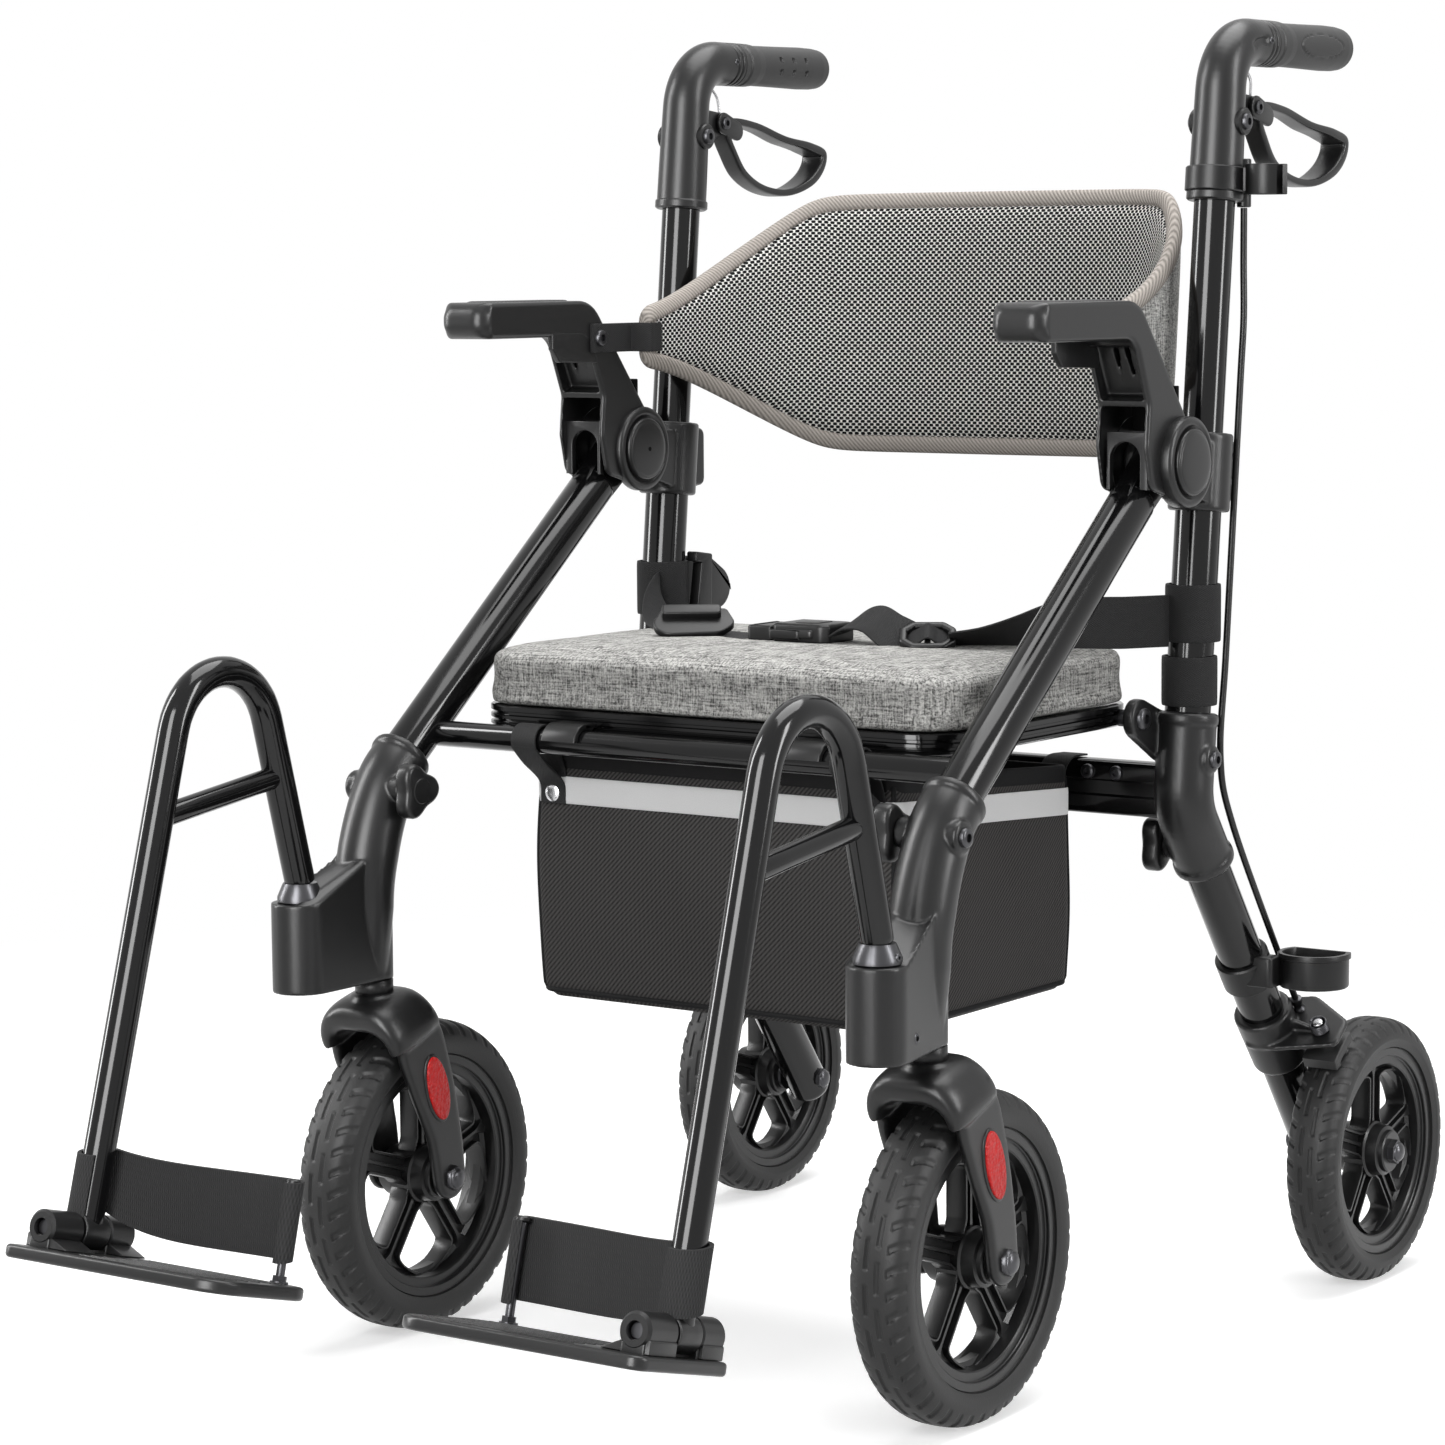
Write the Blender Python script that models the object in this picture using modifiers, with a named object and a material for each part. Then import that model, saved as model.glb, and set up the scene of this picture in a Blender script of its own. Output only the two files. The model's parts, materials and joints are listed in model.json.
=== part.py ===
"""Folding rollator walker with a seat, armrests, backrest, swing-away footrests and a bag.

Lengths are in metres. X runs across the walker, Y from front to back and Z up. The sizes below are
written from a point on the floor under the front axles, and a parent empty moves the whole walker so
that its origin lies on the floor in the middle of its footprint.
"""

import math

import bmesh
import bpy
from mathutils import Matrix, Vector

# Clearances
GAP = 0.0003
RUN = 0.0006

# Length from the foot plates' front edge to the rear tyres, which sets how far back the rear axle stands
LENGTH = 1.022

# Seat width, which sets how far apart the two sides stand
SEAT_HALF = 0.208
SEAT_CLEAR = 0.030
SIDE_X = SEAT_HALF + SEAT_CLEAR

# Seat height, which sets the joints, the beam and the cross tube around it
SEAT_BOTTOM = 0.447
JOINT_RISE = 0.009
JOINT_TOP = SEAT_BOTTOM + JOINT_RISE

# Wheels
FRONT_RADIUS = 0.115
FRONT_TYRE_WIDTH = 0.045
FRONT_TYRE_DEPTH = 0.029
REAR_RADIUS = 0.1016
REAR_TYRE_WIDTH = 0.041
REAR_TYRE_DEPTH = 0.026
REAR_OUT = 0.0443
REAR_WHEEL_X = SIDE_X + REAR_OUT
WHEEL_SIDES = 20
SPOKES = 5
RIM_WALL = 0.010
RIM_STEP = 0.004
SPOKE_HALF = 0.009
SPOKE_FILLET = 0.005
RIB_HALF = 0.0015
WEB_THICKNESS = 0.010
HUB_RADIUS = 0.019
HUB_REACH = 0.002
AXLE_RADIUS = 0.006
NUT_RADIUS = 0.0095
NUT_LENGTH = 0.007

# Rear frame
TUBE_RADIUS = 0.0168
TUBE_WALL = 0.0015
UPRIGHT_Y = 0.3098
UPRIGHT_LEAN = math.radians(5.7)
JOINT_RADIUS = 0.0215
JOINT_LEG = 0.058
SOCKET_DEPTH = 0.048
BEND_DROP = 0.068
REAR_BEND_Z = JOINT_TOP - BEND_DROP
BOLT_DROP = 0.0333
JOINT_BOLT_Z = JOINT_TOP - BOLT_DROP
BEAM_Y = 0.310
BEAM_DROP = 0.059
BEAM_Z = JOINT_TOP - BEAM_DROP
BEAM_HEIGHT = 0.040
BEAM_DEPTH = 0.018

# Armrest pivot
PIVOT_Y = 0.2614
ARM_RISE = 0.193
PIVOT_Z = SEAT_BOTTOM + ARM_RISE
PIN_RADIUS = 0.005
EYE_RADIUS = 0.0185
EYE_HALF = 0.008
EAR_RADIUS = 0.018
EAR_OUT = 0.0172
HUB_OUTER = 0.030
HUB_INNER = 0.0245
CAP_RADIUS = 0.024
CAP_LENGTH = 0.004
ARM_HUB_RADIUS = 0.0325
ARM_HALF = 0.0215
ARM_TIP_Y = 0.066
PAD_RISE = 0.115
PAD_DEPTH = 0.027
ARM_TOP = PIVOT_Z + PAD_RISE
INSET_DEPTH = 0.0015
INSET_SHARE = 0.65
BRACKET_DROP = 0.039
BRACKET_RISE = 0.018
BRACKET_LOW = PIVOT_Z - BRACKET_DROP
BRACKET_TOP = PIVOT_Z + BRACKET_RISE
BRACKET_RADIUS = 0.0225

# Front frame
FRONT_SOCKET_Y = -0.008
CROSS_DROP = 0.0055
CROSS_Z = SEAT_BOTTOM - CROSS_DROP
SOCKET_DROP = 0.0138
FRONT_SOCKET_Z = CROSS_Z - SOCKET_DROP
FRONT_TUBE_START = 0.038
FRONT_SOCKET_DEPTH = 0.046
CROSS_Y = 0.018
CROSS_RADIUS = 0.0095
CASTER_Y = -0.045
CASTING_CLEAR = 0.0318
CASTING_BOTTOM = 2 * FRONT_RADIUS + CASTING_CLEAR
STEM_RADIUS = 0.008
STEM_LENGTH = 0.05

# Caster fork
FORK_GAP = 0.004
FORK_WALL = 0.009
CROWN_DEPTH = 0.024
FORK_EAR = 0.0165
FORK_NECK = 0.021
GLASS_HALF = 0.011
GLASS_LONG = 0.025
GLASS_RISE = 0.070
GLASS_OUT = 0.0025

# Clamp knobs
KNOB_RADIUS = 0.018
KNOB_LOBE = 0.0035
KNOB_DEPTH = 0.014
STUD_RADIUS = 0.004
BOSS_LENGTH = 0.0045
REAR_KNOB_LEG = 0.041
FRONT_KNOB_IN = 0.035

# Handles
GRIP_Z = 0.940
HANDLE_TUBE_RADIUS = 0.0149
HANDLE_TUBE_WALL = 0.0015
HANDLE_TUBE_LOW = 0.510
SLEEVE_LENGTH = 0.1155
SLEEVE_LOW = GRIP_Z - SLEEVE_LENGTH
SLEEVE_RADIUS = 0.0195
BORE_DROP = 0.050
SLEEVE_BORE_TOP = GRIP_Z - BORE_DROP
GRIP_START_Y = 0.4155
GRIP_END_Y = 0.5415
GRIP_RADIUS = 0.0165
STUB_RADIUS = 0.0105
LEVER_Y = 0.396
LEVER_DROP = 0.047
LEVER_Z = GRIP_Z - LEVER_DROP
LEVER_LENGTH = 0.1435
LEVER_HUB = 0.0085
LEVER_HALF = 0.0085
LUG_HALF = 0.0045
LEVER_PIN = 0.003

# Brakes and cables
SHOE_CLEAR = 0.0034
SHOE_DEPTH = 0.008
SHOE_HALF = 0.014
SHOE_STEM = 0.004
FLANGE_ABOVE_TYRE = 0.0225
FLANGE_THICKNESS = 0.004
BRAKE_SLEEVE = 0.0225
CABLE_RADIUS = 0.0025
CABLE_OUT = 0.018
CABLE_BACK = 0.020
CABLE_STEP = 0.040
GUIDE_RADIUS = 0.0052
GUIDE_LENGTH = 0.035
GUIDE_DROP = 0.120
GUIDE_LOW = GRIP_Z - GUIDE_DROP
GUIDE_IN = 0.003
ADJUSTER_RADIUS = 0.0045
ADJUSTER_LENGTH = 0.016

# Seat and bag
SEAT_FRONT = 0.0275
SEAT_BACK = 0.304
SEAT_CORNER = 0.042
SEAT_BOARD = 0.0162
CUSHION_SIDE = 0.0385
CUSHION_CROWN = 0.005
SEAT_PIVOT_Y = 0.270
PIVOT_RISE = 0.0065
SEAT_PIVOT_Z = SEAT_BOTTOM + PIVOT_RISE
TAB_RADIUS = 0.0145
TAB_THICKNESS = 0.009
TAB_CLEAR = 0.0057
LUG_REACH = 0.005
HOOK_X = 0.105
HOOK_WIDTH = 0.030
HOOK_WALL = 0.0045
BAG_HALF = 0.155
BAG_FRONT = 0.045
BAG_BACK = 0.284
BAG_BOTTOM = 0.2495
BAG_CLEAR = 0.022
BAG_DROP = 0.017
BAG_TOP = SEAT_BOTTOM - BAG_CLEAR
BAG_BACK_TOP = BAG_TOP - BAG_DROP
BAG_WALL = 0.003
BAG_LOOP_X = 0.138
BAG_LOOP_WIDTH = 0.022

# Lap belt
BELT_CLEAR = 0.051
BELT_LOW = JOINT_TOP + BELT_CLEAR
BELT_WIDTH = 0.042
BELT_THICKNESS = 0.002
BELT_LIFT = 0.0008
BUCKLE_HALF = 0.036
BUCKLE_WIDTH = 0.040
BUCKLE_HEIGHT = 0.011
BUCKLE_Y = 0.160
STRAP_CLEAR = 0.005
STRAP_LOW = JOINT_TOP + STRAP_CLEAR
STRAP_HEIGHT = 0.036

# Backrest
BACK_CLEAR = 0.033
BACK_HALF = SIDE_X - BACK_CLEAR
BACK_FRONT = 0.248
BACK_DEPTH = 0.198
BACK_DROP = 0.008
BACK_RISE = 0.082
WEB_DROP = 0.0285
BACK_LOW = PIVOT_Z - BACK_DROP
BACK_TOP = ARM_TOP + BACK_RISE
BACK_END_Z = ARM_TOP - WEB_DROP
BACK_END_HALF = 0.024
BACK_EDGE = 0.006
BACK_PILLOW = 0.006
BACK_LEAN = math.radians(8.0)
WEB_END_HEIGHT = 0.020
WEB_END_Y = 0.196
TIE_REACH = 0.015

# Footrests
FOOT_OUT = 0.0075
FOOT_X = SIDE_X + FOOT_OUT
FOOT_SOCKET_Y = -0.116
FOOT_CUP_TOP = 0.0702
FOOT_CUP_FLOOR = 0.0122
FOOT_SOCKET_TOP = CASTING_BOTTOM + FOOT_CUP_TOP
FOOT_SOCKET_FLOOR = CASTING_BOTTOM + FOOT_CUP_FLOOR
FOOT_SOCKET_RADIUS = 0.022
FOOT_BAR_RADIUS = 0.011
FOOT_PIN_RADIUS = 0.0085
FOOT_COLLAR_RADIUS = 0.0165
FOOT_COLLAR = 0.014
FOOT_REAR_LEAN = math.radians(15.0)
FOOT_FRONT_LEAN = math.radians(16.4)
FOOT_BEND = 0.050
FOOT_CROSS_RISE = 0.085
FOOT_CROSS_Z = FOOT_SOCKET_TOP + FOOT_CROSS_RISE
FOOT_CROSS_TILT = 0.008
FOOT_CROSS_RADIUS = 0.008
PLATE_HINGE_Y = -0.342
PLATE_HINGE_Z = 0.137
PLATE_TILT = math.radians(15.0)
PLATE_INNER_X = 0.070
PLATE_OUT = 0.0185
PLATE_OUTER_X = FOOT_X + PLATE_OUT
PLATE_FRONT = 0.060
PLATE_REAR = 0.038
PLATE_THICKNESS = 0.009
PLATE_DROP = 0.0138
KNUCKLE_RADIUS = 0.012
KNUCKLE_HALF = 0.012
KNUCKLE_REACH = 0.044
HINGE_PIN = 0.0055
HEEL_ROD_X = 0.096
HEEL_ROD_BACK = 0.030
HEEL_ROD_RADIUS = 0.003
HEEL_ROD_HEIGHT = 0.083
HEEL_LOW = 0.156
HEEL_HEIGHT = 0.032
HEEL_THICKNESS = 0.003

# Cane holder
CLIP_DROP = 0.100
CLIP_Z = GRIP_Z - CLIP_DROP
CLIP_HEIGHT = 0.022
CLIP_RADIUS = 0.0165
CLIP_WALL = 0.004
CLIP_OUT = 0.037
CLIP_BACK = 0.010
CUP_OUT = 0.0475
CUP_BACK = 0.0188
CUP_RADIUS = 0.026
CUP_RIM = 0.268
CUP_DEPTH = 0.026
CUP_WALL = 0.0025
CLAMP_RADIUS = 0.0205
CLAMP_LENGTH = 0.026

# Side views as shares: the brake lever's of its length, the armrest's of its reach, rise and depth
LEVER_OUTER_SHARES = (
    (0.0697, 0.0383), (0.3345, 0.0105), (0.6132, -0.0592), (0.8641, -0.0871), (1.0, -0.1359), (0.9791, -0.2439),
    (0.8571, -0.3415), (0.6272, -0.4007), (0.3902, -0.3798), (0.1951, -0.2997), (0.0836, -0.1742), (0.0174, -0.0627))
LEVER_INNER_SHARES = (
    (0.1707, -0.0627), (0.3484, -0.0523), (0.5993, -0.1150), (0.8084, -0.1429), (0.9129, -0.1812), (0.8850, -0.2578),
    (0.7805, -0.3206), (0.6272, -0.3519), (0.4181, -0.3345), (0.2439, -0.2613), (0.1568, -0.1603))
ARM_SIDE_SHARES = (
    (-1.0, 1.0, 0.37), (-1.0, 0.765, 0.30), (-0.340, 0.765, 0.70), (-0.243, 0.365, 0.37), (-0.258, 0.104, 0.37),
    (-0.222, -0.157, 0.37), (0.0, -0.254, 0.37), (0.166, 0.0, 0.44), (-0.309, 1.0, 1.10))
ARM_SLOT_SHARES = (
    (-0.468, -0.52), (0.351, -0.52), (0.351, 0.452), (0.003, 0.452), (-0.150, 0.383), (-0.314, 0.278),
    (-0.468, 0.174))

# Facets
TUBE_SIDES = 12
PIN_SIDES = 8
CABLE_SIDES = 6
ARC_STEPS = 3
BEND_STEPS = 3
FACET_TURN = math.radians(7.0)
WELD = 1e-6

X_AXIS = Vector((1.0, 0.0, 0.0))
Z_AXIS = Vector((0.0, 0.0, 1.0))
SIDES = (("right", 1), ("left", -1))

PLATE_ALONG = Vector((0.0, -math.cos(PLATE_TILT), math.sin(PLATE_TILT)))
PLATE_UP = Vector((0.0, math.sin(PLATE_TILT), math.cos(PLATE_TILT)))
PLATE_HINGE = Vector((FOOT_X, PLATE_HINGE_Y, PLATE_HINGE_Z))
PLATE_TIP = PLATE_HINGE + PLATE_ALONG * PLATE_FRONT - PLATE_UP * (PLATE_DROP + PLATE_THICKNESS)
REAR_AXLE_Y = PLATE_TIP.y + LENGTH - REAR_RADIUS
MIDDLE_Y = PLATE_TIP.y + LENGTH / 2


# Places worked out from the driving sizes

def upright(z, back=0.0, out=0.0):
    """A point on the upright's axis at height z, moved backwards and outwards."""
    return Vector((SIDE_X + out, UPRIGHT_Y + (z - JOINT_TOP) * math.tan(UPRIGHT_LEAN) + back, z))


REAR_BEND = upright(REAR_BEND_Z)
REAR_AXLE = Vector((SIDE_X, REAR_AXLE_Y, REAR_RADIUS))
LEG_LENGTH = (REAR_AXLE - REAR_BEND).length
LEG_ALONG = (REAR_AXLE - REAR_BEND) / LEG_LENGTH
LEG_BACK = Vector((0.0, -LEG_ALONG.z, LEG_ALONG.y))
PIVOT = Vector((SIDE_X, PIVOT_Y, PIVOT_Z))
FRONT_SOCKET = Vector((SIDE_X, FRONT_SOCKET_Y, FRONT_SOCKET_Z))
FRONT_LENGTH = (FRONT_SOCKET - PIVOT).length
FRONT_ALONG = (FRONT_SOCKET - PIVOT) / FRONT_LENGTH
FRONT_KNOB_TUBE = FRONT_LENGTH + FRONT_KNOB_IN
SEAT_TOP = SEAT_BOTTOM + SEAT_BOARD + GAP
CUSHION_EDGE = SEAT_TOP + CUSHION_SIDE
FRONT_HUB_HALF = FRONT_TYRE_WIDTH / 2 + HUB_REACH
REAR_HUB_HALF = REAR_TYRE_WIDTH / 2 + HUB_REACH
FORK_INNER = FRONT_TYRE_WIDTH / 2 + FORK_GAP
FORK_OUTER = FORK_INNER + FORK_WALL


def leg(distance, lift=0.0, out=0.0):
    """A point on the rear leg's axis, measured down from the bend, moved backwards and outwards."""
    return REAR_BEND + LEG_ALONG * distance + LEG_BACK * lift + X_AXIS * out


CUP_HOLD = (REAR_BEND.z - CUP_RIM + CUP_DEPTH / 2) / -LEG_ALONG.z
CUP_Y = leg(CUP_HOLD).y + CUP_BACK


def front(distance):
    """A point on the front tube's axis, measured down from the armrest pivot."""
    return PIVOT + FRONT_ALONG * distance


def cushion_top(x, y):
    """Height of the crowned cushion over a point of the seat."""
    middle = (SEAT_FRONT + SEAT_BACK) / 2
    across = min(1.0, abs(x) / SEAT_HALF)
    deep = min(1.0, abs(y - middle) / (SEAT_BACK - middle))
    return CUSHION_EDGE + CUSHION_CROWN * (1 - across ** 4) * (1 - deep ** 4)


# Modelling tools

def workshop():
    """Empties the scene and returns the collections for finished parts and for tools."""
    for old in list(bpy.data.objects):
        bpy.data.objects.remove(old)
    made = []
    for name in ("rollator_walker", "tools"):
        group = bpy.data.collections.new(name)
        bpy.context.scene.collection.children.link(group)
        made.append(group)
    return made


PARTS, TOOLS = workshop()


def add(data):
    """A new object for a mesh or curve, kept with the tools until it is finished."""
    shape = bpy.data.objects.new(data.name, data)
    TOOLS.objects.link(shape)
    return shape


def frame(origin, along, up):
    """A placing matrix whose local X is along, whose local Y is up and whose local Z is square to both."""
    across = along.cross(up)
    columns = (along, up, across, origin)
    return Matrix([[column[row] for column in columns] for row in range(3)] + [[0, 0, 0, 1]])


SIDE_VIEW = frame(Vector((SIDE_X, 0, 0)), Vector((0, 1, 0)), Z_AXIS)


def solid(shape):
    """The evaluated shape as one plain mesh object, welded and with its faces pointing out."""
    bpy.context.view_layer.update()
    evaluated = shape.evaluated_get(bpy.context.evaluated_depsgraph_get())
    mesh = bpy.data.meshes.new_from_object(evaluated)
    mesh.transform(shape.matrix_world)
    bpy.data.objects.remove(shape)
    form = bmesh.new()
    form.from_mesh(mesh)
    bmesh.ops.remove_doubles(form, verts=form.verts, dist=WELD)
    bmesh.ops.recalc_face_normals(form, faces=form.faces)
    form.to_mesh(mesh)
    form.free()
    return add(mesh)


def combine(shape, operation, tools):
    """Joins tools to a shape or cuts them out of it, and uses them up."""
    for tool in tools:
        tool.hide_render = True
        tool.display_type = "WIRE"
        step = shape.modifiers.new("combine", "BOOLEAN")
        step.operation = operation
        step.object = tool
    result = solid(shape)
    for tool in tools:
        bpy.data.objects.remove(tool)
    return result


def fuse(shape, *tools):
    return combine(shape, "UNION", tools)


def carve(shape, *tools):
    return combine(shape, "DIFFERENCE", tools)


def rod(start, end, radius, sides=TUBE_SIDES, end_radius=None):
    """A straight round bar, or a cone where the end has its own radius."""
    form = bmesh.new()
    span = end - start
    far = radius if end_radius is None else end_radius
    turn = span.to_track_quat("Z", "Y").to_matrix().to_4x4() @ Matrix.Rotation(FACET_TURN, 4, "Z")
    place = Matrix.Translation((start + end) / 2) @ turn
    bmesh.ops.create_cone(form, cap_ends=True, segments=sides, radius1=radius, radius2=far,
                          depth=span.length, matrix=place)
    mesh = bpy.data.meshes.new("rod")
    form.to_mesh(mesh)
    form.free()
    return add(mesh)


def round_clear(radius):
    """The radius of a faceted cut whose flats clear a round piece."""
    return (radius + GAP) / math.cos(math.pi / TUBE_SIDES)


def tube(start, end, radius, bore):
    """A straight round tube that is open at both ends."""
    span = (end - start).normalized()
    return carve(rod(start, end, radius), rod(start - span * radius, end + span * radius, bore))


def cross_rod(centre, low, high, radius, sides=PIN_SIDES):
    """A round bar along X through a centre, between two offsets from it."""
    return rod(centre + X_AXIS * low, centre + X_AXIS * high, radius, sides)


def block(low, high, bevel=0.0):
    """A box between two corners with rounded edges."""
    form = bmesh.new()
    size = Vector(high) - Vector(low)
    place = Matrix.Translation((Vector(high) + Vector(low)) / 2) @ Matrix.Diagonal((*size, 1.0))
    bmesh.ops.create_cube(form, size=1.0, matrix=place)
    mesh = bpy.data.meshes.new("block")
    form.to_mesh(mesh)
    form.free()
    shape = add(mesh)
    if bevel:
        edge = shape.modifiers.new("edges", "BEVEL")
        edge.width = bevel
        edge.segments = 2
    return solid(shape)


def bend(points, radius, steps=BEND_STEPS):
    """A path through points whose inner corners are arcs of one radius."""
    path = [points[0]]
    for before, corner, after in zip(points, points[1:], points[2:]):
        into = (before - corner).normalized()
        away = (after - corner).normalized()
        half = into.angle(away) / 2
        reach = radius / math.tan(half)
        centre = corner + (into + away).normalized() * radius / math.sin(half)
        start = corner + into * reach - centre
        turn = math.pi - 2 * half
        axis = start.cross(corner + away * reach - centre)
        for step in range(steps + 1):
            path.append(centre + Matrix.Rotation(turn * step / steps, 3, axis) @ start)
    path.append(points[-1])
    return path


def bar(path, radius, sides=TUBE_SIDES, scale=None):
    """A round bar along a path; scale gives each point's share of the radius."""
    curve = bpy.data.curves.new("bar", "CURVE")
    curve.dimensions = "3D"
    curve.bevel_depth = radius
    curve.bevel_resolution = (sides - 4) // 2
    curve.use_fill_caps = True
    spline = curve.splines.new("POLY")
    spline.points.add(len(path) - 1)
    for number, (point, place) in enumerate(zip(spline.points, path)):
        point.co = (*place, 1.0)
        point.radius = scale[number] if scale else 1.0
    return solid(add(curve))


def prism(outline, low, high, place=SIDE_VIEW, holes=()):
    """A flat outline with holes, drawn in a placing frame and thick from low to high across it."""
    curve = bpy.data.curves.new("prism", "CURVE")
    curve.dimensions = "2D"
    curve.fill_mode = "BOTH"
    curve.extrude = (high - low) / 2
    for loop in (outline, *holes):
        spline = curve.splines.new("POLY")
        spline.points.add(len(loop) - 1)
        for point, spot in zip(spline.points, loop):
            point.co = (spot[0], spot[1], 0.0, 1.0)
        spline.use_cyclic_u = True
    shape = add(curve)
    shape.matrix_world = place @ Matrix.Translation((0, 0, (high + low) / 2))
    return solid(shape)


def turned(profile, place, sides, closed=False):
    """A profile of radius and height turned about a frame's third axis, with a flat facing its first."""
    mesh = bpy.data.meshes.new("turned")
    corners = [(radius, 0.0, height) for radius, height in profile]
    edges = [(number, number + 1) for number in range(len(profile) - 1)]
    if closed:
        edges.append((len(profile) - 1, 0))
    mesh.from_pydata(corners, edges, [])
    shape = add(mesh)
    shape.matrix_world = place @ Matrix.Rotation(math.pi / sides, 4, "Z")
    spin = shape.modifiers.new("spin", "SCREW")
    spin.steps = sides
    spin.render_steps = sides
    spin.use_merge_vertices = True
    spin.merge_threshold = 1e-5
    return solid(shape)


def loft(sections):
    """A closed skin through loops of equally many points, capped at both ends."""
    form = bmesh.new()
    rings = [[form.verts.new(spot) for spot in section] for section in sections]
    for ring, after in zip(rings, rings[1:]):
        for number in range(len(ring)):
            beside = (number + 1) % len(ring)
            form.faces.new((ring[number], ring[beside], after[beside], after[number]))
    form.faces.new(rings[0])
    form.faces.new(rings[-1])
    mesh = bpy.data.meshes.new("loft")
    form.to_mesh(mesh)
    form.free()
    return solid(add(mesh))


def mirrored(shape):
    """A left-hand copy of a right-hand shape."""
    mesh = shape.data.copy()
    mesh.transform(Matrix.Scale(-1.0, 4, X_AXIS))
    mesh.flip_normals()
    return add(mesh)


def arc(centre, radius, start, end, steps=ARC_STEPS):
    """Points of an arc in a flat outline, between two angles in degrees."""
    angles = [math.radians(start + (end - start) * step / steps) for step in range(steps + 1)]
    return [(centre[0] + radius * math.cos(a), centre[1] + radius * math.sin(a)) for a in angles]


def link(first, first_radius, second, second_radius):
    """The outline of two circles and the straight sides that touch both."""
    run = (second[0] - first[0], second[1] - first[1])
    heading = math.degrees(math.atan2(run[1], run[0]))
    open_angle = math.degrees(math.acos((first_radius - second_radius) / math.hypot(*run)))
    far = arc(second, second_radius, heading - open_angle, heading + open_angle)
    near = arc(first, first_radius, heading + open_angle, heading + 360 - open_angle)
    return far + near


def rounded(corners, steps=3):
    """An outline whose corners, given as two places and a radius, are rounded."""
    outline = []
    count = len(corners)
    for number, (across, up, radius) in enumerate(corners):
        corner = Vector((across, up))
        if not radius:
            outline.append(tuple(corner))
            continue
        into = (Vector(corners[number - 1][:2]) - corner).normalized()
        away = (Vector(corners[(number + 1) % count][:2]) - corner).normalized()
        half = into.angle(away) / 2
        centre = corner + (into + away).normalized() * radius / math.sin(half)
        start = corner + into * radius / math.tan(half) - centre
        end = corner + away * radius / math.tan(half) - centre
        turn = start.angle_signed(end)
        for step in range(steps + 1):
            spot = Matrix.Rotation(-turn * step / steps, 2) @ start + centre
            outline.append(tuple(spot))
    return outline


def smooth_loop(points, steps=3):
    """A closed outline that runs smoothly through its points."""
    outline = []
    count = len(points)
    spots = [Vector(point) for point in points]
    for number in range(count):
        a, b, c, d = (spots[(number + offset) % count] for offset in (-1, 0, 1, 2))
        for step in range(steps):
            t = step / steps
            outline.append(tuple(0.5 * ((2 * b) + (c - a) * t + (2 * a - 5 * b + 4 * c - d) * t ** 2
                                        + (3 * b - a - 3 * c + d) * t ** 3)))
    return outline


def smooth_path(points, count):
    """Points spread evenly in number along a smooth curve through a route's points."""
    ends = [points[0] * 2 - points[1], *points, points[-1] * 2 - points[-2]]
    path = []
    for number in range(count):
        place = number / (count - 1) * (len(points) - 1)
        part = min(int(place), len(points) - 2)
        t = place - part
        a, b, c, d = ends[part:part + 4]
        path.append(0.5 * ((2 * b) + (c - a) * t + (2 * a - 5 * b + 4 * c - d) * t ** 2
                           + (3 * b - a - 3 * c + d) * t ** 3))
    return path


# Bodies and finishes

FINISHES = {
    "gloss_black": ((0.012, 0.012, 0.014), 0.18, 0.0),
    "charcoal_plastic": ((0.032, 0.033, 0.036), 0.55, 0.0),
    "rubber": ((0.018, 0.018, 0.019), 0.75, 0.0),
    "webbing": ((0.010, 0.010, 0.011), 0.85, 0.0),
    "linen": ((0.34, 0.34, 0.33), 0.95, 0.0),
    "mesh": ((0.50, 0.47, 0.44), 0.95, 0.0),
    "bag_cloth": ((0.022, 0.022, 0.024), 0.9, 0.0),
}

HOME = bpy.data.objects.new("walker", None)
PARTS.objects.link(HOME)
HOME.location = (0.0, -MIDDLE_Y, 0.0)

PLACES = {
    "rear_frame": Vector((0, 0, 0)),
    "front_frame": Vector((0, PIVOT_Y, PIVOT_Z)),
    "arms": Vector((0, PIVOT_Y, PIVOT_Z)),
    "seat": Vector((0, SEAT_PIVOT_Y, SEAT_PIVOT_Z)),
}
SIDE_PLACES = {
    "caster": Vector((SIDE_X, CASTER_Y, CASTING_BOTTOM)),
    "front_wheel": Vector((SIDE_X, 0, FRONT_RADIUS)),
    "rear_wheel": Vector((REAR_WHEEL_X, REAR_AXLE_Y, REAR_RADIUS)),
    "handle": upright(SLEEVE_LOW),
    "brake_lever": Vector((SIDE_X, LEVER_Y, LEVER_Z)),
    "brake_shoe": leg(LEG_LENGTH - REAR_RADIUS, 0, REAR_OUT),
    "footrest": Vector((FOOT_X, FOOT_SOCKET_Y, FOOT_SOCKET_TOP)),
    "foot_plate": PLATE_HINGE,
    "front_knob": front(FRONT_KNOB_TUBE),
    "rear_knob": leg(REAR_KNOB_LEG),
}
for body, spot in SIDE_PLACES.items():
    PLACES[body + "_right"] = spot
    PLACES[body + "_left"] = Vector((-spot.x, spot.y, spot.z))


def pivots():
    """One empty on each body's joint axis, under the walker's own empty."""
    made = {}
    for body, spot in PLACES.items():
        empty = bpy.data.objects.new("pivot_" + body, None)
        empty.parent = HOME
        empty.location = spot
        PARTS.objects.link(empty)
        made[body] = empty
    return made


PIVOTS = pivots()


def painted(shape, finish):
    """Gives a part its own material in one of the walker's finishes."""
    colour, roughness, metallic = FINISHES[finish]
    material = bpy.data.materials.new(shape.name + "_" + finish)
    material.use_nodes = True
    surface = material.node_tree.nodes["Principled BSDF"]
    surface.inputs["Base Color"].default_value = (*colour, 1.0)
    surface.inputs["Roughness"].default_value = roughness
    surface.inputs["Metallic"].default_value = metallic
    shape.data.materials.clear()
    shape.data.materials.append(material)


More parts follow.
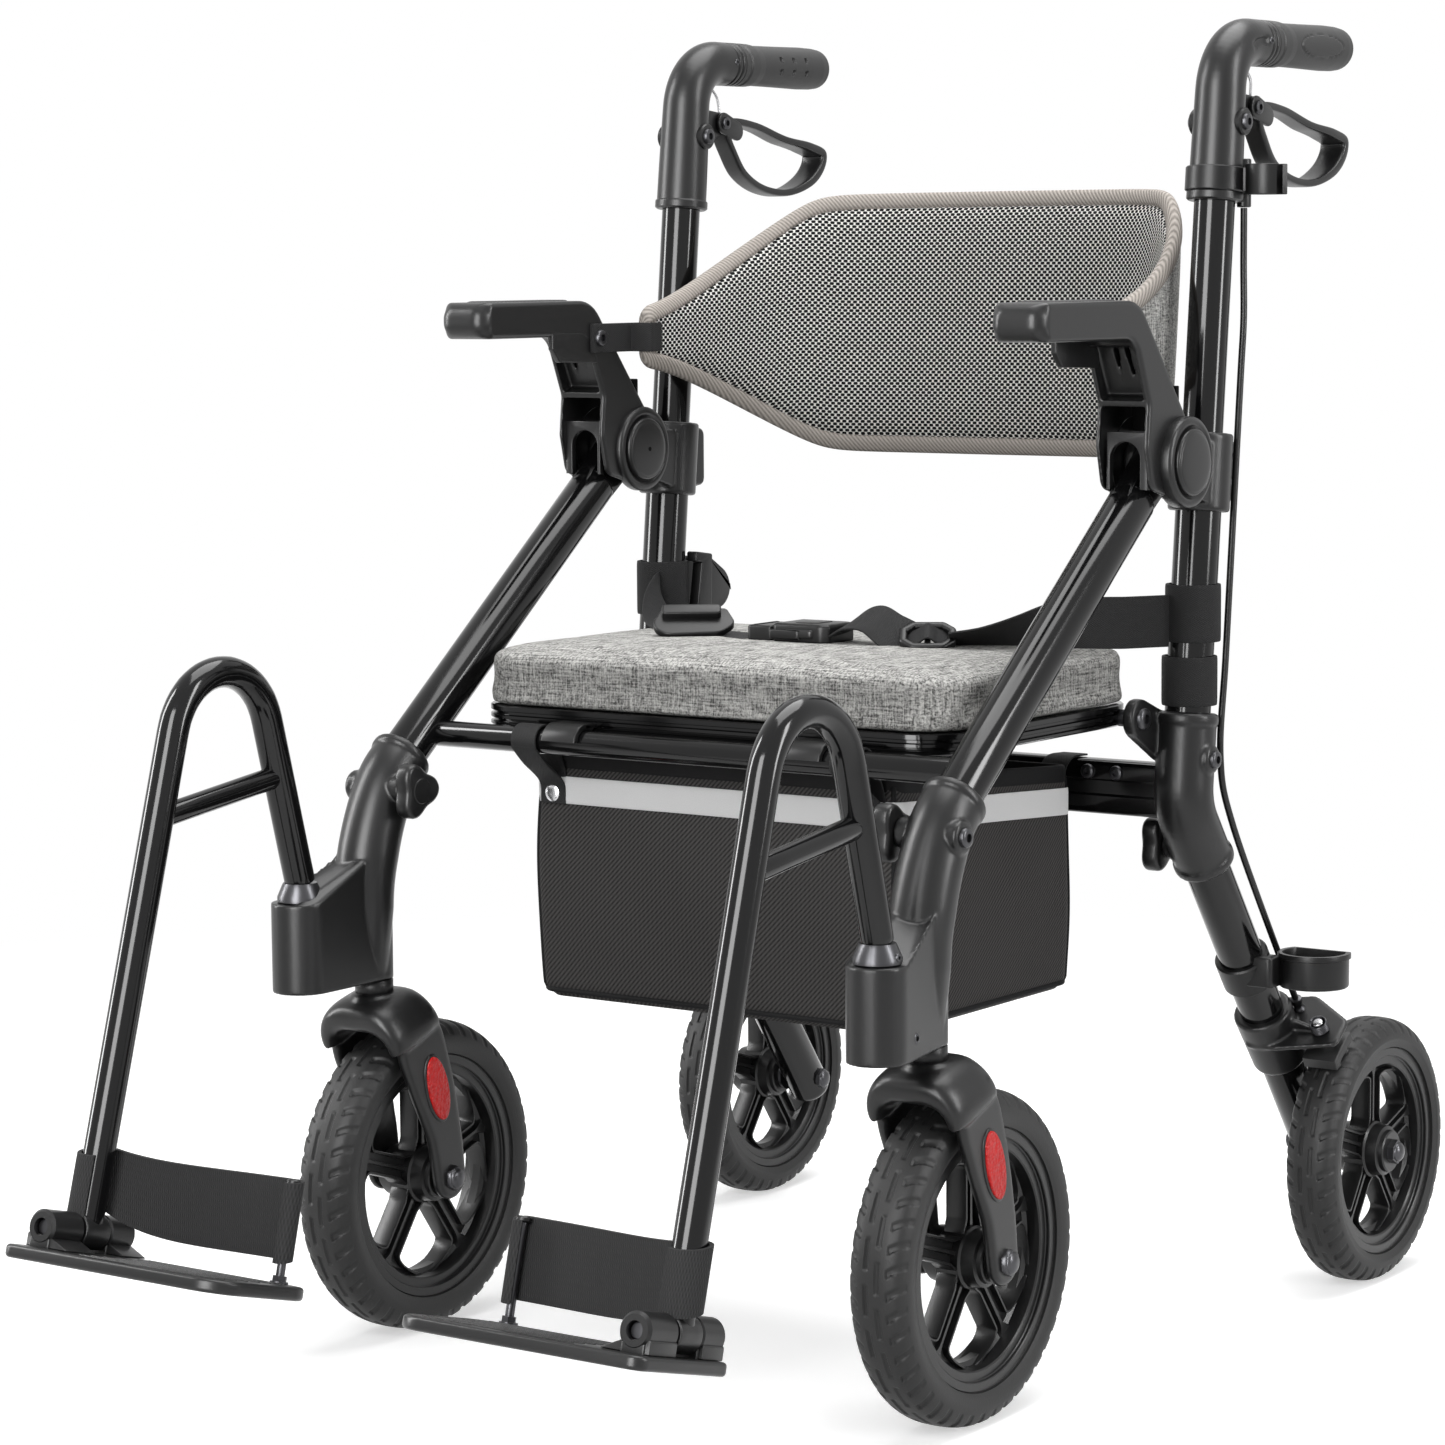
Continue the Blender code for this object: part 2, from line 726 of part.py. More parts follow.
def finish_part(shape, name, body, finish):
    """Names a finished solid, hangs it on its body's empty and paints it."""
    TOOLS.objects.unlink(shape)
    PARTS.objects.link(shape)
    shape.name = name
    shape.data.name = name
    shape.data.transform(Matrix.Translation(-PLACES[body]))
    shape.parent = PIVOTS[body]
    shape.data.shade_smooth()
    shape.data.set_sharp_from_angle(angle=math.radians(40))
    painted(shape, finish)


def finish_pair(shape, name, body, finish):
    """Finishes a right-hand solid and its left-hand copy."""
    for (side, sign), copy in zip(SIDES, (shape, mirrored(shape))):
        own_body = body if body in PLACES else body + "_" + side
        finish_part(copy, name + "_" + side, own_body, finish)


# Rear frame

def make_upright():
    low = upright(JOINT_TOP - SOCKET_DEPTH + GAP)
    return tube(low, upright(BRACKET_TOP - GAP), TUBE_RADIUS, TUBE_RADIUS - TUBE_WALL)


def rear_joint_sweep(radius):
    """The rear joint's bent sleeve, at its own or a larger radius."""
    path = bend([upright(JOINT_TOP), REAR_BEND, leg(JOINT_LEG)], 2 * JOINT_RADIUS)
    return bar(path, radius)


def studs(centre, joint_radius):
    """The outer bolt head, inner boss and threaded stud of a clamp knob."""
    boss = -joint_radius - BOSS_LENGTH
    tip = boss - KNOB_DEPTH + BOSS_LENGTH
    return [
        cross_rod(centre, -joint_radius * 0.8, boss, KNOB_RADIUS * 0.6),
        cross_rod(centre, boss * 0.9, tip, STUD_RADIUS),
    ]


def make_rear_joint():
    bolt = upright(JOINT_BOLT_Z)
    tab_in = -SIDE_X + SEAT_HALF + TAB_CLEAR
    middle = upright(JOINT_TOP - TAB_RADIUS * 1.4)
    tab = prism(link((SEAT_PIVOT_Y, SEAT_PIVOT_Z), TAB_RADIUS, (middle.y, middle.z), TAB_RADIUS * 1.2),
                tab_in, tab_in + TAB_THICKNESS)
    seat_pin = Vector((SIDE_X, SEAT_PIVOT_Y, SEAT_PIVOT_Z))
    joint = fuse(rear_joint_sweep(JOINT_RADIUS), tab,
                 cross_rod(bolt, JOINT_RADIUS * 0.8, JOINT_RADIUS + BOSS_LENGTH, KNOB_RADIUS * 0.45),
                 *studs(leg(REAR_KNOB_LEG), JOINT_RADIUS))
    floor = leg(JOINT_LEG - SOCKET_DEPTH + 0.008)
    return carve(joint,
                 rod(upright(JOINT_TOP - SOCKET_DEPTH), upright(JOINT_TOP + 0.02), TUBE_RADIUS + GAP),
                 rod(floor, leg(JOINT_LEG + 0.02), TUBE_RADIUS + GAP),
                 cross_rod(seat_pin, tab_in - 0.004, tab_in + TAB_THICKNESS - 0.001, PIN_RADIUS + RUN))


def axle_stub(centre, shoulder, hub_low, hub_high):
    """A wheel axle along X with a shoulder inside the hub and a nut outside it."""
    return [
        cross_rod(centre, shoulder, hub_low - RUN, AXLE_RADIUS * 1.6),
        cross_rod(centre, shoulder, hub_high + RUN + NUT_LENGTH / 2, AXLE_RADIUS),
        cross_rod(centre, hub_high + RUN, hub_high + RUN + NUT_LENGTH, NUT_RADIUS, 6),
    ]


def make_rear_leg():
    top = leg(JOINT_LEG - SOCKET_DEPTH + 0.008 + GAP)
    end = leg(LEG_LENGTH + TUBE_RADIUS)
    blind = leg(LEG_LENGTH - 2 * TUBE_RADIUS)
    post = carve(rod(top, end, TUBE_RADIUS),
                 rod(top - LEG_ALONG * 0.01, blind, TUBE_RADIUS - TUBE_WALL))
    return fuse(post, *axle_stub(REAR_AXLE, 0.0, REAR_OUT - REAR_HUB_HALF, REAR_OUT + REAR_HUB_HALF))


def make_rear_beam():
    half = SIDE_X - JOINT_RADIUS / 2
    section = rounded([(-BEAM_DEPTH / 2, -BEAM_HEIGHT / 2, 0.004), (BEAM_DEPTH / 2, -BEAM_HEIGHT / 2, 0.004),
                       (BEAM_DEPTH / 2, BEAM_HEIGHT / 2, 0.004), (-BEAM_DEPTH / 2, BEAM_HEIGHT / 2, 0.004)])
    groove = BEAM_HEIGHT / 8
    place = frame(Vector((0, BEAM_Y, BEAM_Z)), Vector((0, 1, 0)), Z_AXIS)
    beam = prism(section, -half, half, place)
    slot = block((-half - 0.01, BEAM_Y - BEAM_DEPTH, BEAM_Z - groove),
                 (half + 0.01, BEAM_Y - BEAM_DEPTH / 2 + 0.002, BEAM_Z + groove))
    right = rear_joint_sweep(JOINT_RADIUS + GAP)
    return carve(beam, slot, mirrored(right), right)


def make_bracket():
    sleeve = rod(upright(BRACKET_LOW), upright(BRACKET_TOP), BRACKET_RADIUS)
    root = upright((BRACKET_LOW + BRACKET_TOP) / 2)
    outline = link((PIVOT_Y, PIVOT_Z), EAR_RADIUS, (root.y - EAR_RADIUS * 0.7, root.z), BRACKET_RADIUS)
    ears = [prism(outline, side * EYE_HALF + side * 2 * GAP, side * EAR_OUT) if side > 0
            else prism(outline, -EAR_OUT, -EYE_HALF - 2 * GAP) for side in (1, -1)]
    unit = BRACKET_RADIUS
    clamp = block(root + Vector((-0.4, 0.7, -0.98)) * unit, root + Vector((0.4, 1.58, 0.98)) * unit,
                  unit * 0.13)
    pin = cross_rod(PIVOT, -HUB_INNER + RUN, HUB_OUTER - 2 * RUN, PIN_RADIUS)
    bracket = fuse(sleeve, *ears, clamp)
    bore = rod(upright(BRACKET_LOW - 0.02), upright(BRACKET_TOP + 0.02), TUBE_RADIUS + GAP)
    return fuse(carve(bracket, bore), pin)


# Front frame

def make_front_tube():
    start = front(FRONT_TUBE_START)
    end = front(FRONT_LENGTH + FRONT_SOCKET_DEPTH - GAP)
    post = carve(rod(start, end, TUBE_RADIUS),
                 rod(front(2 * FRONT_TUBE_START), end + FRONT_ALONG * 0.01, TUBE_RADIUS - TUBE_WALL))
    neck = front(1.5 * FRONT_TUBE_START)
    outline = link((PIVOT_Y, PIVOT_Z), EYE_RADIUS, (neck.y, neck.z), TUBE_RADIUS * 0.9)
    eye = fuse(post, prism(outline, -EYE_HALF, EYE_HALF))
    return carve(eye, cross_rod(PIVOT, -EYE_HALF - 0.01, EYE_HALF + 0.01, PIN_RADIUS + RUN))


def make_cross_tube():
    middle = Vector((0, CROSS_Y, CROSS_Z))
    half = SIDE_X - CROSS_RADIUS
    right = rod(front(FRONT_LENGTH / 2), front(FRONT_LENGTH + 0.02), TUBE_RADIUS + GAP)
    return carve(cross_rod(middle, -half, half, CROSS_RADIUS, TUBE_SIDES), mirrored(right), right)


def make_front_joint():
    turn = front((PIVOT_Y - CASTER_Y) / -FRONT_ALONG.y)
    foot = Vector((SIDE_X, CASTER_Y, CASTING_BOTTOM))
    path = bend([FRONT_SOCKET, turn, foot], JOINT_RADIUS * 1.5)
    swell = [1.0] * (len(path) - 1) + [1.08]
    arm = bar(path, JOINT_RADIUS, TUBE_SIDES, swell)
    low = Vector((FOOT_X, FOOT_SOCKET_Y, CASTING_BOTTOM + 0.001))
    cup = rod(low, Vector((FOOT_X, FOOT_SOCKET_Y, FOOT_SOCKET_TOP)), FOOT_SOCKET_RADIUS)
    step = JOINT_RADIUS / 5
    base = CASTING_BOTTOM + step
    shelf = FOOT_SOCKET_TOP - 2 * step
    web = prism(rounded([(FOOT_SOCKET_Y, base, 0), (CASTER_Y, base, 0), (CASTER_Y, turn.z - 3 * step, 0),
                         (CASTER_Y - JOINT_RADIUS, FOOT_SOCKET_TOP + 1.5 * step, 3.5 * step),
                         (FOOT_SOCKET_Y + FOOT_SOCKET_RADIUS, shelf, 2.3 * step),
                         (FOOT_SOCKET_Y, shelf, 0)]),
                -0.7 * JOINT_RADIUS, 0.7 * JOINT_RADIUS)
    knob = front(FRONT_KNOB_TUBE)
    joint = fuse(arm, cup, web, *studs(knob, JOINT_RADIUS),
                 cross_rod(knob, JOINT_RADIUS * 0.8, JOINT_RADIUS + BOSS_LENGTH, KNOB_RADIUS * 0.45))
    socket = (front(FRONT_LENGTH - JOINT_RADIUS), front(FRONT_LENGTH + FRONT_SOCKET_DEPTH))
    return carve(joint, rod(*socket, TUBE_RADIUS + GAP),
                 rod(foot - Z_AXIS * 0.02, foot + Z_AXIS * (STEM_LENGTH + RUN), STEM_RADIUS + RUN),
                 rod(Vector((FOOT_X, FOOT_SOCKET_Y, FOOT_SOCKET_FLOOR)),
                     Vector((FOOT_X, FOOT_SOCKET_Y, FOOT_SOCKET_TOP + 0.02)), FOOT_PIN_RADIUS + RUN))


def make_fork():
    axle = Vector((SIDE_X, 0, FRONT_RADIUS))
    top = CASTING_BOTTOM - 2 * RUN
    head = Vector((SIDE_X, CASTER_Y, top))
    crown_z = top - CROWN_DEPTH
    outline = link((0.0, FRONT_RADIUS), FORK_EAR, (CASTER_Y * 0.8, crown_z), FORK_NECK)
    legs = [prism(outline, FORK_INNER, FORK_OUTER), prism(outline, -FORK_OUTER, -FORK_INNER)]
    shoulder = (top - FORK_NECK * 0.48, FORK_NECK * 0.57)
    neck = FORK_NECK * 1.05
    bridge = prism(rounded([(-FORK_OUTER, crown_z, 0), (FORK_OUTER, crown_z, 0), (FORK_OUTER, *shoulder),
                            (neck, top, 0), (-neck, top, 0), (-FORK_OUTER, *shoulder)]),
                   -FORK_NECK, FORK_NECK, frame(Vector((SIDE_X, CASTER_Y, 0)), X_AXIS, Z_AXIS))
    stem = rod(head - Z_AXIS * CROWN_DEPTH / 2, head + Z_AXIS * STEM_LENGTH, STEM_RADIUS)
    sink = FORK_WALL / 4
    pin = cross_rod(axle, -FORK_OUTER + sink, FORK_OUTER - sink, AXLE_RADIUS)
    nuts = [cross_rod(axle, FORK_OUTER - sink / 2, FORK_OUTER + NUT_LENGTH, NUT_RADIUS, 6),
            cross_rod(axle, -FORK_OUTER - NUT_LENGTH, -FORK_OUTER + sink / 2, NUT_RADIUS, 6)]
    along = Vector((CASTER_Y * 0.8, crown_z - FRONT_RADIUS)).normalized() * GLASS_LONG
    across = Vector((along.y, -along.x)).normalized() * GLASS_HALF
    centre = Vector((CASTER_Y * 0.4, FRONT_RADIUS + GLASS_RISE))
    glass = [tuple(centre + across * x + along * y) for x, y in arc((0, 0), 1.0, 0, 330, 11)]
    reflectors = [prism(glass, FORK_OUTER - sink / 2, FORK_OUTER + GLASS_OUT),
                  prism(glass, -FORK_OUTER - GLASS_OUT, -FORK_OUTER + sink / 2)]
    return fuse(bridge, *legs, stem, pin, *nuts, *reflectors)


# Wheels

def rim_sizes(radius, width, depth):
    """Where a tyre seats: the rim's seat and lip radii, and the half widths of its lip and seat."""
    half = width / 2 - RIM_STEP
    return radius - depth, radius - depth + RIM_STEP, half, half - RIM_STEP


def make_wheel(radius, width, depth, hub_half, centre):
    """A moulded wheel: a channelled rim, a web cut into spokes, a rib on each spoke and a bored hub."""
    place = frame(centre, Vector((0, 1, 0)), Z_AXIS)
    seat, lip, half, bead = rim_sizes(radius, width, depth)
    outer = seat - RIM_WALL
    bore = AXLE_RADIUS + RUN
    web = WEB_THICKNESS / 2
    near = [(bore, hub_half), (HUB_RADIUS, hub_half), (HUB_RADIUS, web), (outer, web), (outer, half),
            (lip, half), (seat, bead)]
    far = [(spot, -along) for spot, along in reversed(near)]
    wheel = turned(near + far, place, WHEEL_SIDES, True)
    spread = 360 / SPOKES
    hub_edge = HUB_RADIUS + SPOKE_FILLET
    rim_edge = outer - SPOKE_FILLET / 2
    windows = []
    ribs = []
    for number in range(SPOKES):
        middle = number * spread + 90 + spread / 2
        wide = spread / 2 - math.degrees(math.asin(SPOKE_HALF / rim_edge))
        narrow = spread / 2 - math.degrees(math.asin(SPOKE_HALF / hub_edge))
        outline = (arc((0, 0), rim_edge, middle - wide, middle + wide, 3)
                   + arc((0, 0), hub_edge, middle + narrow, middle - narrow, 2))
        windows.append(prism(outline, -hub_half, hub_half, place))
        angle = math.radians(number * spread + 90)
        along = Vector((0, math.cos(angle), math.sin(angle)))
        side = Vector((0, -math.sin(angle), math.cos(angle)))
        rib = [(HUB_RADIUS * 0.9, -RIB_HALF), (outer + RIM_STEP, -RIB_HALF), (outer + RIM_STEP, RIB_HALF),
               (HUB_RADIUS * 0.9, RIB_HALF)]
        ribs.append(prism(rib, -half * 0.7, half * 0.7, frame(centre, along, side)))
    return fuse(carve(wheel, *windows), *ribs)


def make_tyre(radius, width, depth, centre):
    """A ring tyre with a rounded tread, seated on the rim with a small clearance."""
    place = frame(centre, Vector((0, 1, 0)), Z_AXIS)
    flat = radius / math.cos(math.pi / WHEEL_SIDES)
    seat, lip, half, bead = rim_sizes(radius, width, depth)
    side = width / 2
    near = [(flat, side * 0.55), (flat - depth * 0.14, side * 0.86), (flat - depth * 0.4, side),
            (lip + GAP, side * 0.88), (lip + GAP, half - GAP), (seat + GAP, bead - GAP)]
    far = [(spot, -along) for spot, along in reversed(near)]
    return turned(near + far, place, WHEEL_SIDES, True)


# Handles and brakes

def make_handle():
    turn = upright(GRIP_Z)
    end = Vector((SIDE_X, GRIP_START_Y, GRIP_Z))
    path = bend([upright(SLEEVE_LOW), turn, end], 2 * SLEEVE_RADIUS, 6)
    scale = [1.0] + [1.0 - 0.12 * step / (len(path) - 2) for step in range(len(path) - 1)]
    body = bar(path, SLEEVE_RADIUS, TUBE_SIDES, scale)
    stub = rod(end - Vector((0, 0.01, 0)), Vector((SIDE_X, GRIP_END_Y - 0.012, GRIP_Z)), STUB_RADIUS)
    root = upright(LEVER_Z - 0.006, SLEEVE_RADIUS * 0.4)
    lug = prism(link((LEVER_Y, LEVER_Z), LEVER_HUB, (root.y, root.z), 0.018), -LUG_HALF, LUG_HALF)
    pin = cross_rod(Vector((SIDE_X, LEVER_Y, LEVER_Z)), -LEVER_HALF - 0.002, LEVER_HALF + 0.002, LEVER_PIN)
    guide_foot = upright(GUIDE_LOW, CABLE_BACK - GUIDE_IN, CABLE_OUT - GUIDE_IN)
    guide = rod(guide_foot, guide_foot + Z_AXIS * GUIDE_LENGTH, GUIDE_RADIUS)
    handle = fuse(body, stub, lug, pin, guide)
    bore = rod(upright(SLEEVE_LOW - 0.02), upright(SLEEVE_BORE_TOP), HANDLE_TUBE_RADIUS + GAP)
    return carve(handle, bore)


def make_grip():
    place = frame(Vector((SIDE_X, GRIP_START_Y + GAP, GRIP_Z)), Z_AXIS, X_AXIS)
    length = GRIP_END_Y - GRIP_START_Y
    bore = STUB_RADIUS + GAP
    deep = length - 0.012 + GAP
    shape = [(0.0, 1.0), (0.62, 0.995), (0.88, 0.965), (1.0, 0.90), (1.03, 0.75), (0.99, 0.45),
             (0.97, 0.22), (1.04, 0.17), (1.04, 0.0)]
    outer = [(GRIP_RADIUS * share, length * along) for share, along in shape]
    return turned(outer + [(bore, 0.0), (bore, deep), (0.0, deep)], place, 12)


def lever_spot(back, rise):
    """A point of the brake lever's side view, as shares of its length from its pivot."""
    return LEVER_Y + LEVER_LENGTH * back, LEVER_Z + LEVER_LENGTH * rise


def make_lever():
    outer = smooth_loop([lever_spot(*share) for share in LEVER_OUTER_SHARES])
    inner = smooth_loop([lever_spot(*share) for share in LEVER_INNER_SHARES], 2)
    pivot = Vector((SIDE_X, LEVER_Y, LEVER_Z))
    loop = prism(outer, -LEVER_HALF, LEVER_HALF, SIDE_VIEW, [inner])
    boss = LEVER_HALF + 2 * GAP
    hub = prism(link((LEVER_Y, LEVER_Z), LEVER_HUB, lever_spot(0.111, -0.042), LEVER_HUB), -boss, boss)
    lug_half = LUG_HALF + 2 * GAP
    return carve(fuse(loop, hub), cross_rod(pivot, -lug_half, lug_half, LEVER_HUB * 1.3, 10),
                 cross_rod(pivot, -2 * LEVER_HALF, 2 * LEVER_HALF, LEVER_PIN + RUN))


def flange_frame():
    """A frame on the brake flange: across the walker, backwards from the leg, and up the leg."""
    return frame(leg(LEG_LENGTH - REAR_RADIUS - FLANGE_ABOVE_TYRE), X_AXIS, LEG_BACK)


def make_brake_housing():
    middle = LEG_LENGTH - REAR_RADIUS - FLANGE_ABOVE_TYRE
    unit = BRAKE_SLEEVE
    sleeve = rod(leg(middle - unit), leg(middle + 1.42 * unit), unit, TUBE_SIDES, unit * 0.92)
    tip = (REAR_OUT + SHOE_HALF * 1.2) / unit
    wing = rounded([(across * unit, back * unit, edge * unit) for across, back, edge in (
        (-0.53, -1.0, 0.0), (0.62, -1.0, 0.0), (tip, -0.53, 0.27), (tip, 0.62, 0.27), (1.16, 1.6, 0.44),
        (-0.36, 1.33, 0.36))])
    wing = prism(wing, 0.0, FLANGE_THICKNESS, flange_frame())
    foot = leg(middle, CABLE_BACK, CABLE_OUT)
    adjuster = rod(foot + LEG_ALONG * FLANGE_THICKNESS / 2, foot - LEG_ALONG * ADJUSTER_LENGTH,
                   ADJUSTER_RADIUS, PIN_SIDES)
    housing = fuse(sleeve, wing, adjuster)
    stem = leg(middle, 0, REAR_OUT)
    return carve(housing, rod(leg(middle - 2 * unit), leg(middle + 3 * unit), TUBE_RADIUS + GAP),
                 rod(stem - LEG_ALONG * unit, stem + LEG_ALONG * unit, SHOE_STEM + RUN, PIN_SIDES))


def make_brake_shoe():
    heading = math.degrees(math.atan2(-LEG_ALONG.z, -LEG_ALONG.y))
    centre = (REAR_AXLE_Y, REAR_RADIUS)
    low = REAR_RADIUS / math.cos(math.pi / WHEEL_SIDES) + SHOE_CLEAR
    block_outline = (arc(centre, low, heading - 9, heading + 9, 4)
                     + arc(centre, low + SHOE_DEPTH, heading + 8, heading - 8, 4))
    pad = prism(block_outline, REAR_OUT - SHOE_HALF, REAR_OUT + SHOE_HALF)
    base = leg(LEG_LENGTH - low - SHOE_DEPTH / 2, 0, REAR_OUT)
    top = leg(LEG_LENGTH - REAR_RADIUS - FLANGE_ABOVE_TYRE - SHOE_HALF, 0, REAR_OUT)
    return fuse(pad, rod(base, top, SHOE_STEM, PIN_SIDES))


def make_cable():
    middle = LEG_LENGTH - REAR_RADIUS - FLANGE_ABOVE_TYRE
    top = upright(GUIDE_LOW - GAP, CABLE_BACK - GUIDE_IN, CABLE_OUT - GUIDE_IN)
    end = leg(middle - ADJUSTER_LENGTH - GAP, CABLE_BACK, CABLE_OUT)
    rise = top.z - JOINT_TOP
    heights = [JOINT_TOP + rise * share for share in (0.78, 0.665, 0.399, 0.11)]
    route = [top, top - Z_AXIS * rise * 0.11]
    route += [upright(z, CABLE_BACK, CABLE_OUT) for z in (*heights, JOINT_BOLT_Z)]
    route += [leg(CABLE_STEP, CABLE_BACK * 1.2, CABLE_OUT), end - LEG_ALONG * CABLE_STEP, end]
    return bar(smooth_path(route, 21), CABLE_RADIUS, CABLE_SIDES)


# Seat, belt and bag

def seat_ring(inset, z):
    """A rounded seat outline drawn in by an inset, at a height that may depend on the place."""
    side = SEAT_HALF - inset
    low = SEAT_FRONT + inset
    high = SEAT_BACK - inset
    corner = max(SEAT_CORNER - inset, 0.004)
    corners = ((-side, low), (side, low), (side, high), (-side, high))
    outline = rounded([(x, y, corner) for x, y in corners], 3)
    return [Vector((x, y, z(x, y) if callable(z) else z)) for x, y in outline]


def make_seat_frame():
    bottom = SEAT_BOTTOM
    step = SEAT_BOARD / 9
    levels = [(0.004, 0), (0.002, 1), (0.002, 2), (0.0045, 2.4), (0.0045, 3.4), (0.002, 3.8), (0.002, 5),
              (0.0045, 5.4), (0.0045, 6.4), (0.002, 6.8), (0.002, 9)]
    board = loft([seat_ring(inset, bottom + share * step) for inset, share in levels])
    ring = (CROSS_Y, CROSS_Z)
    inner = CROSS_RADIUS + GAP
    saddle = arc(ring, inner, 45, 172, 6) + arc(ring, inner + HOOK_WALL, 172, 45, 5)
    hooks = []
    crest = CROSS_Z + inner
    for x in (-HOOK_X, HOOK_X):
        hooks.append(prism(saddle, x - SIDE_X - HOOK_WIDTH / 2, x - SIDE_X + HOOK_WIDTH / 2))
        hooks.append(block((x - HOOK_WIDTH / 2, CROSS_Y, crest + GAP),
                           (x + HOOK_WIDTH / 2, SEAT_FRONT + HOOK_WALL * 2, crest + HOOK_WALL * 0.9)))
    lugs = []
    for side in (1, -1):
        centre = Vector((side * SEAT_HALF, SEAT_PIVOT_Y, SEAT_PIVOT_Z))
        out = X_AXIS * side
        lugs.append(rod(centre - out * 4 * LUG_REACH, centre + out * LUG_REACH, PIN_RADIUS * 1.24, 12))
        lugs.append(rod(centre, centre + out * (LUG_REACH + TAB_THICKNESS * 0.78), PIN_RADIUS, PIN_SIDES))
    return fuse(board, *hooks, *lugs)


def make_cushion():
    low = SEAT_TOP
    edge = CUSHION_EDGE
    soft = CUSHION_SIDE / 10
    levels = [(soft, low), (0.0, low + soft), (soft * 0.3, low + CUSHION_SIDE / 2), (0.0, edge - soft * 1.5),
              (soft / 2, edge - soft / 2)]
    sections = [seat_ring(inset, z) for inset, z in levels]
    half = (SEAT_BACK - SEAT_FRONT) / 2
    sections += [seat_ring(half * share, cushion_top) for share in (0.043, 0.16, 0.36, 0.65, 0.925)]
    return loft(sections)


def make_bag():
    walls = []
    for inset, floor in ((0.0, BAG_BOTTOM), (BAG_WALL, BAG_BOTTOM + BAG_WALL)):
        sections = []
        middle = (BAG_BOTTOM + BAG_TOP) / 2
        for z, bulge in ((floor, -0.004), (floor + 0.012, 0.0), (middle, 0.003), (BAG_TOP, 0.0)):
            half = BAG_HALF - inset + bulge
            front_y = BAG_FRONT + inset - bulge
            back_y = BAG_BACK - inset + min(bulge, 0.0)
            ring = rounded([(-half, front_y, 0.012), (half, front_y, 0.012), (half, back_y, 0.012),
                            (-half, back_y, 0.012)], 2)
            drop = BAG_DROP if z == BAG_TOP else 0.0
            reach = BAG_BACK - BAG_FRONT
            extra = 0.02 if inset and z == BAG_TOP else 0.0
            slope = drop / reach
            sections.append([Vector((x, y, z + extra - slope * max(0.0, y - BAG_FRONT))) for x, y in ring])
        walls.append(loft(sections))
    shell = carve(walls[0], walls[1])
    loops = []
    for x in (-BAG_LOOP_X, BAG_LOOP_X):
        inner = CROSS_RADIUS + GAP
        outer = inner + BAG_WALL
        tail = (BAG_FRONT + BAG_WALL / 2, BAG_TOP - 0.012)
        band = prism(link((CROSS_Y, CROSS_Z), outer, tail, BAG_WALL / 2), x - SIDE_X - BAG_LOOP_WIDTH / 2,
                     x - SIDE_X + BAG_LOOP_WIDTH / 2)
        eye = cross_rod(Vector((x, CROSS_Y, CROSS_Z)), -BAG_LOOP_WIDTH, BAG_LOOP_WIDTH, inner, TUBE_SIDES)
        loops.append(carve(band, eye))
    rests = []
    for x in (-BAG_LOOP_X, BAG_LOOP_X):
        low = BEAM_Z + BEAM_HEIGHT / 2 + GAP
        high = low + BAG_WALL * 0.7
        foot = low - BAG_WALL * 4.7
        fore, rear = BEAM_Y - BEAM_DEPTH / 2, BEAM_Y + BEAM_DEPTH / 2
        tab = [(BAG_BACK - BAG_WALL * 0.8, foot), (BAG_BACK - BAG_WALL * 0.2, foot), (fore, low),
               (rear, low), (rear, high), (fore - BAG_WALL * 1.3, high)]
        rests.append(prism(tab, x - SIDE_X - BAG_LOOP_WIDTH / 2, x - SIDE_X + BAG_LOOP_WIDTH / 2))
    return fuse(shell, *loops, *rests)


def make_belt(route):
    """A webbing strap from a band round the upright to the buckle.

    Each stop is a share of the seat's half width, a share of the way back from the buckle, and a tilt.
    """
    middle = BELT_LOW + BELT_WIDTH / 2
    band = tube(upright(BELT_LOW), upright(BELT_LOW + BELT_WIDTH), TUBE_RADIUS + GAP + 1.5 * BELT_THICKNESS,
                TUBE_RADIUS + GAP)
    root = upright(middle, -1.1 * TUBE_RADIUS, -0.6 * TUBE_RADIUS)
    places = [Vector((root.x, root.y, 90))]
    deep = SEAT_BACK - BUCKLE_Y
    places += [Vector((SEAT_HALF * out, BUCKLE_Y + deep * back, tilt)) for out, back, tilt in route]
    places.append(Vector((BUCKLE_HALF + GAP, BUCKLE_Y, 0)))
    stops = smooth_path(places, 12)
    sections = []
    for number, stop in enumerate(stops):
        before = stops[max(number - 1, 0)]
        after = stops[min(number + 1, len(stops) - 1)]
        run = Vector((after.x - before.x, after.y - before.y, 0)).normalized() if stop != after else -X_AXIS
        level = Z_AXIS.cross(run)
        tilt = math.radians(min(max(stop.z, 0.0), 90.0))
        across = (level * math.cos(tilt) + Z_AXIS * math.sin(tilt)) * BELT_WIDTH * 0.45
        thick = run.cross(across).normalized() * BELT_THICKNESS / 2
        rise = cushion_top(stop.x, stop.y) + BELT_LIFT + BELT_THICKNESS / 2
        rise += BELT_WIDTH * 0.45 * math.sin(tilt)
        height = min(rise, middle) if tilt > 1.5 else rise
        centre = Vector((stop.x, stop.y, height))
        sections.append([centre - across - thick, centre + across - thick, centre + across + thick,
                         centre - across + thick])
    return fuse(band, loft(sections))


def make_buckle():
    low = max(cushion_top(x, BUCKLE_Y) for x in (-BUCKLE_HALF, 0.0, BUCKLE_HALF)) + BELT_LIFT
    return block((-BUCKLE_HALF, BUCKLE_Y - BUCKLE_WIDTH / 2, low),
                 (BUCKLE_HALF, BUCKLE_Y + BUCKLE_WIDTH / 2, low + BUCKLE_HEIGHT), 0.003)


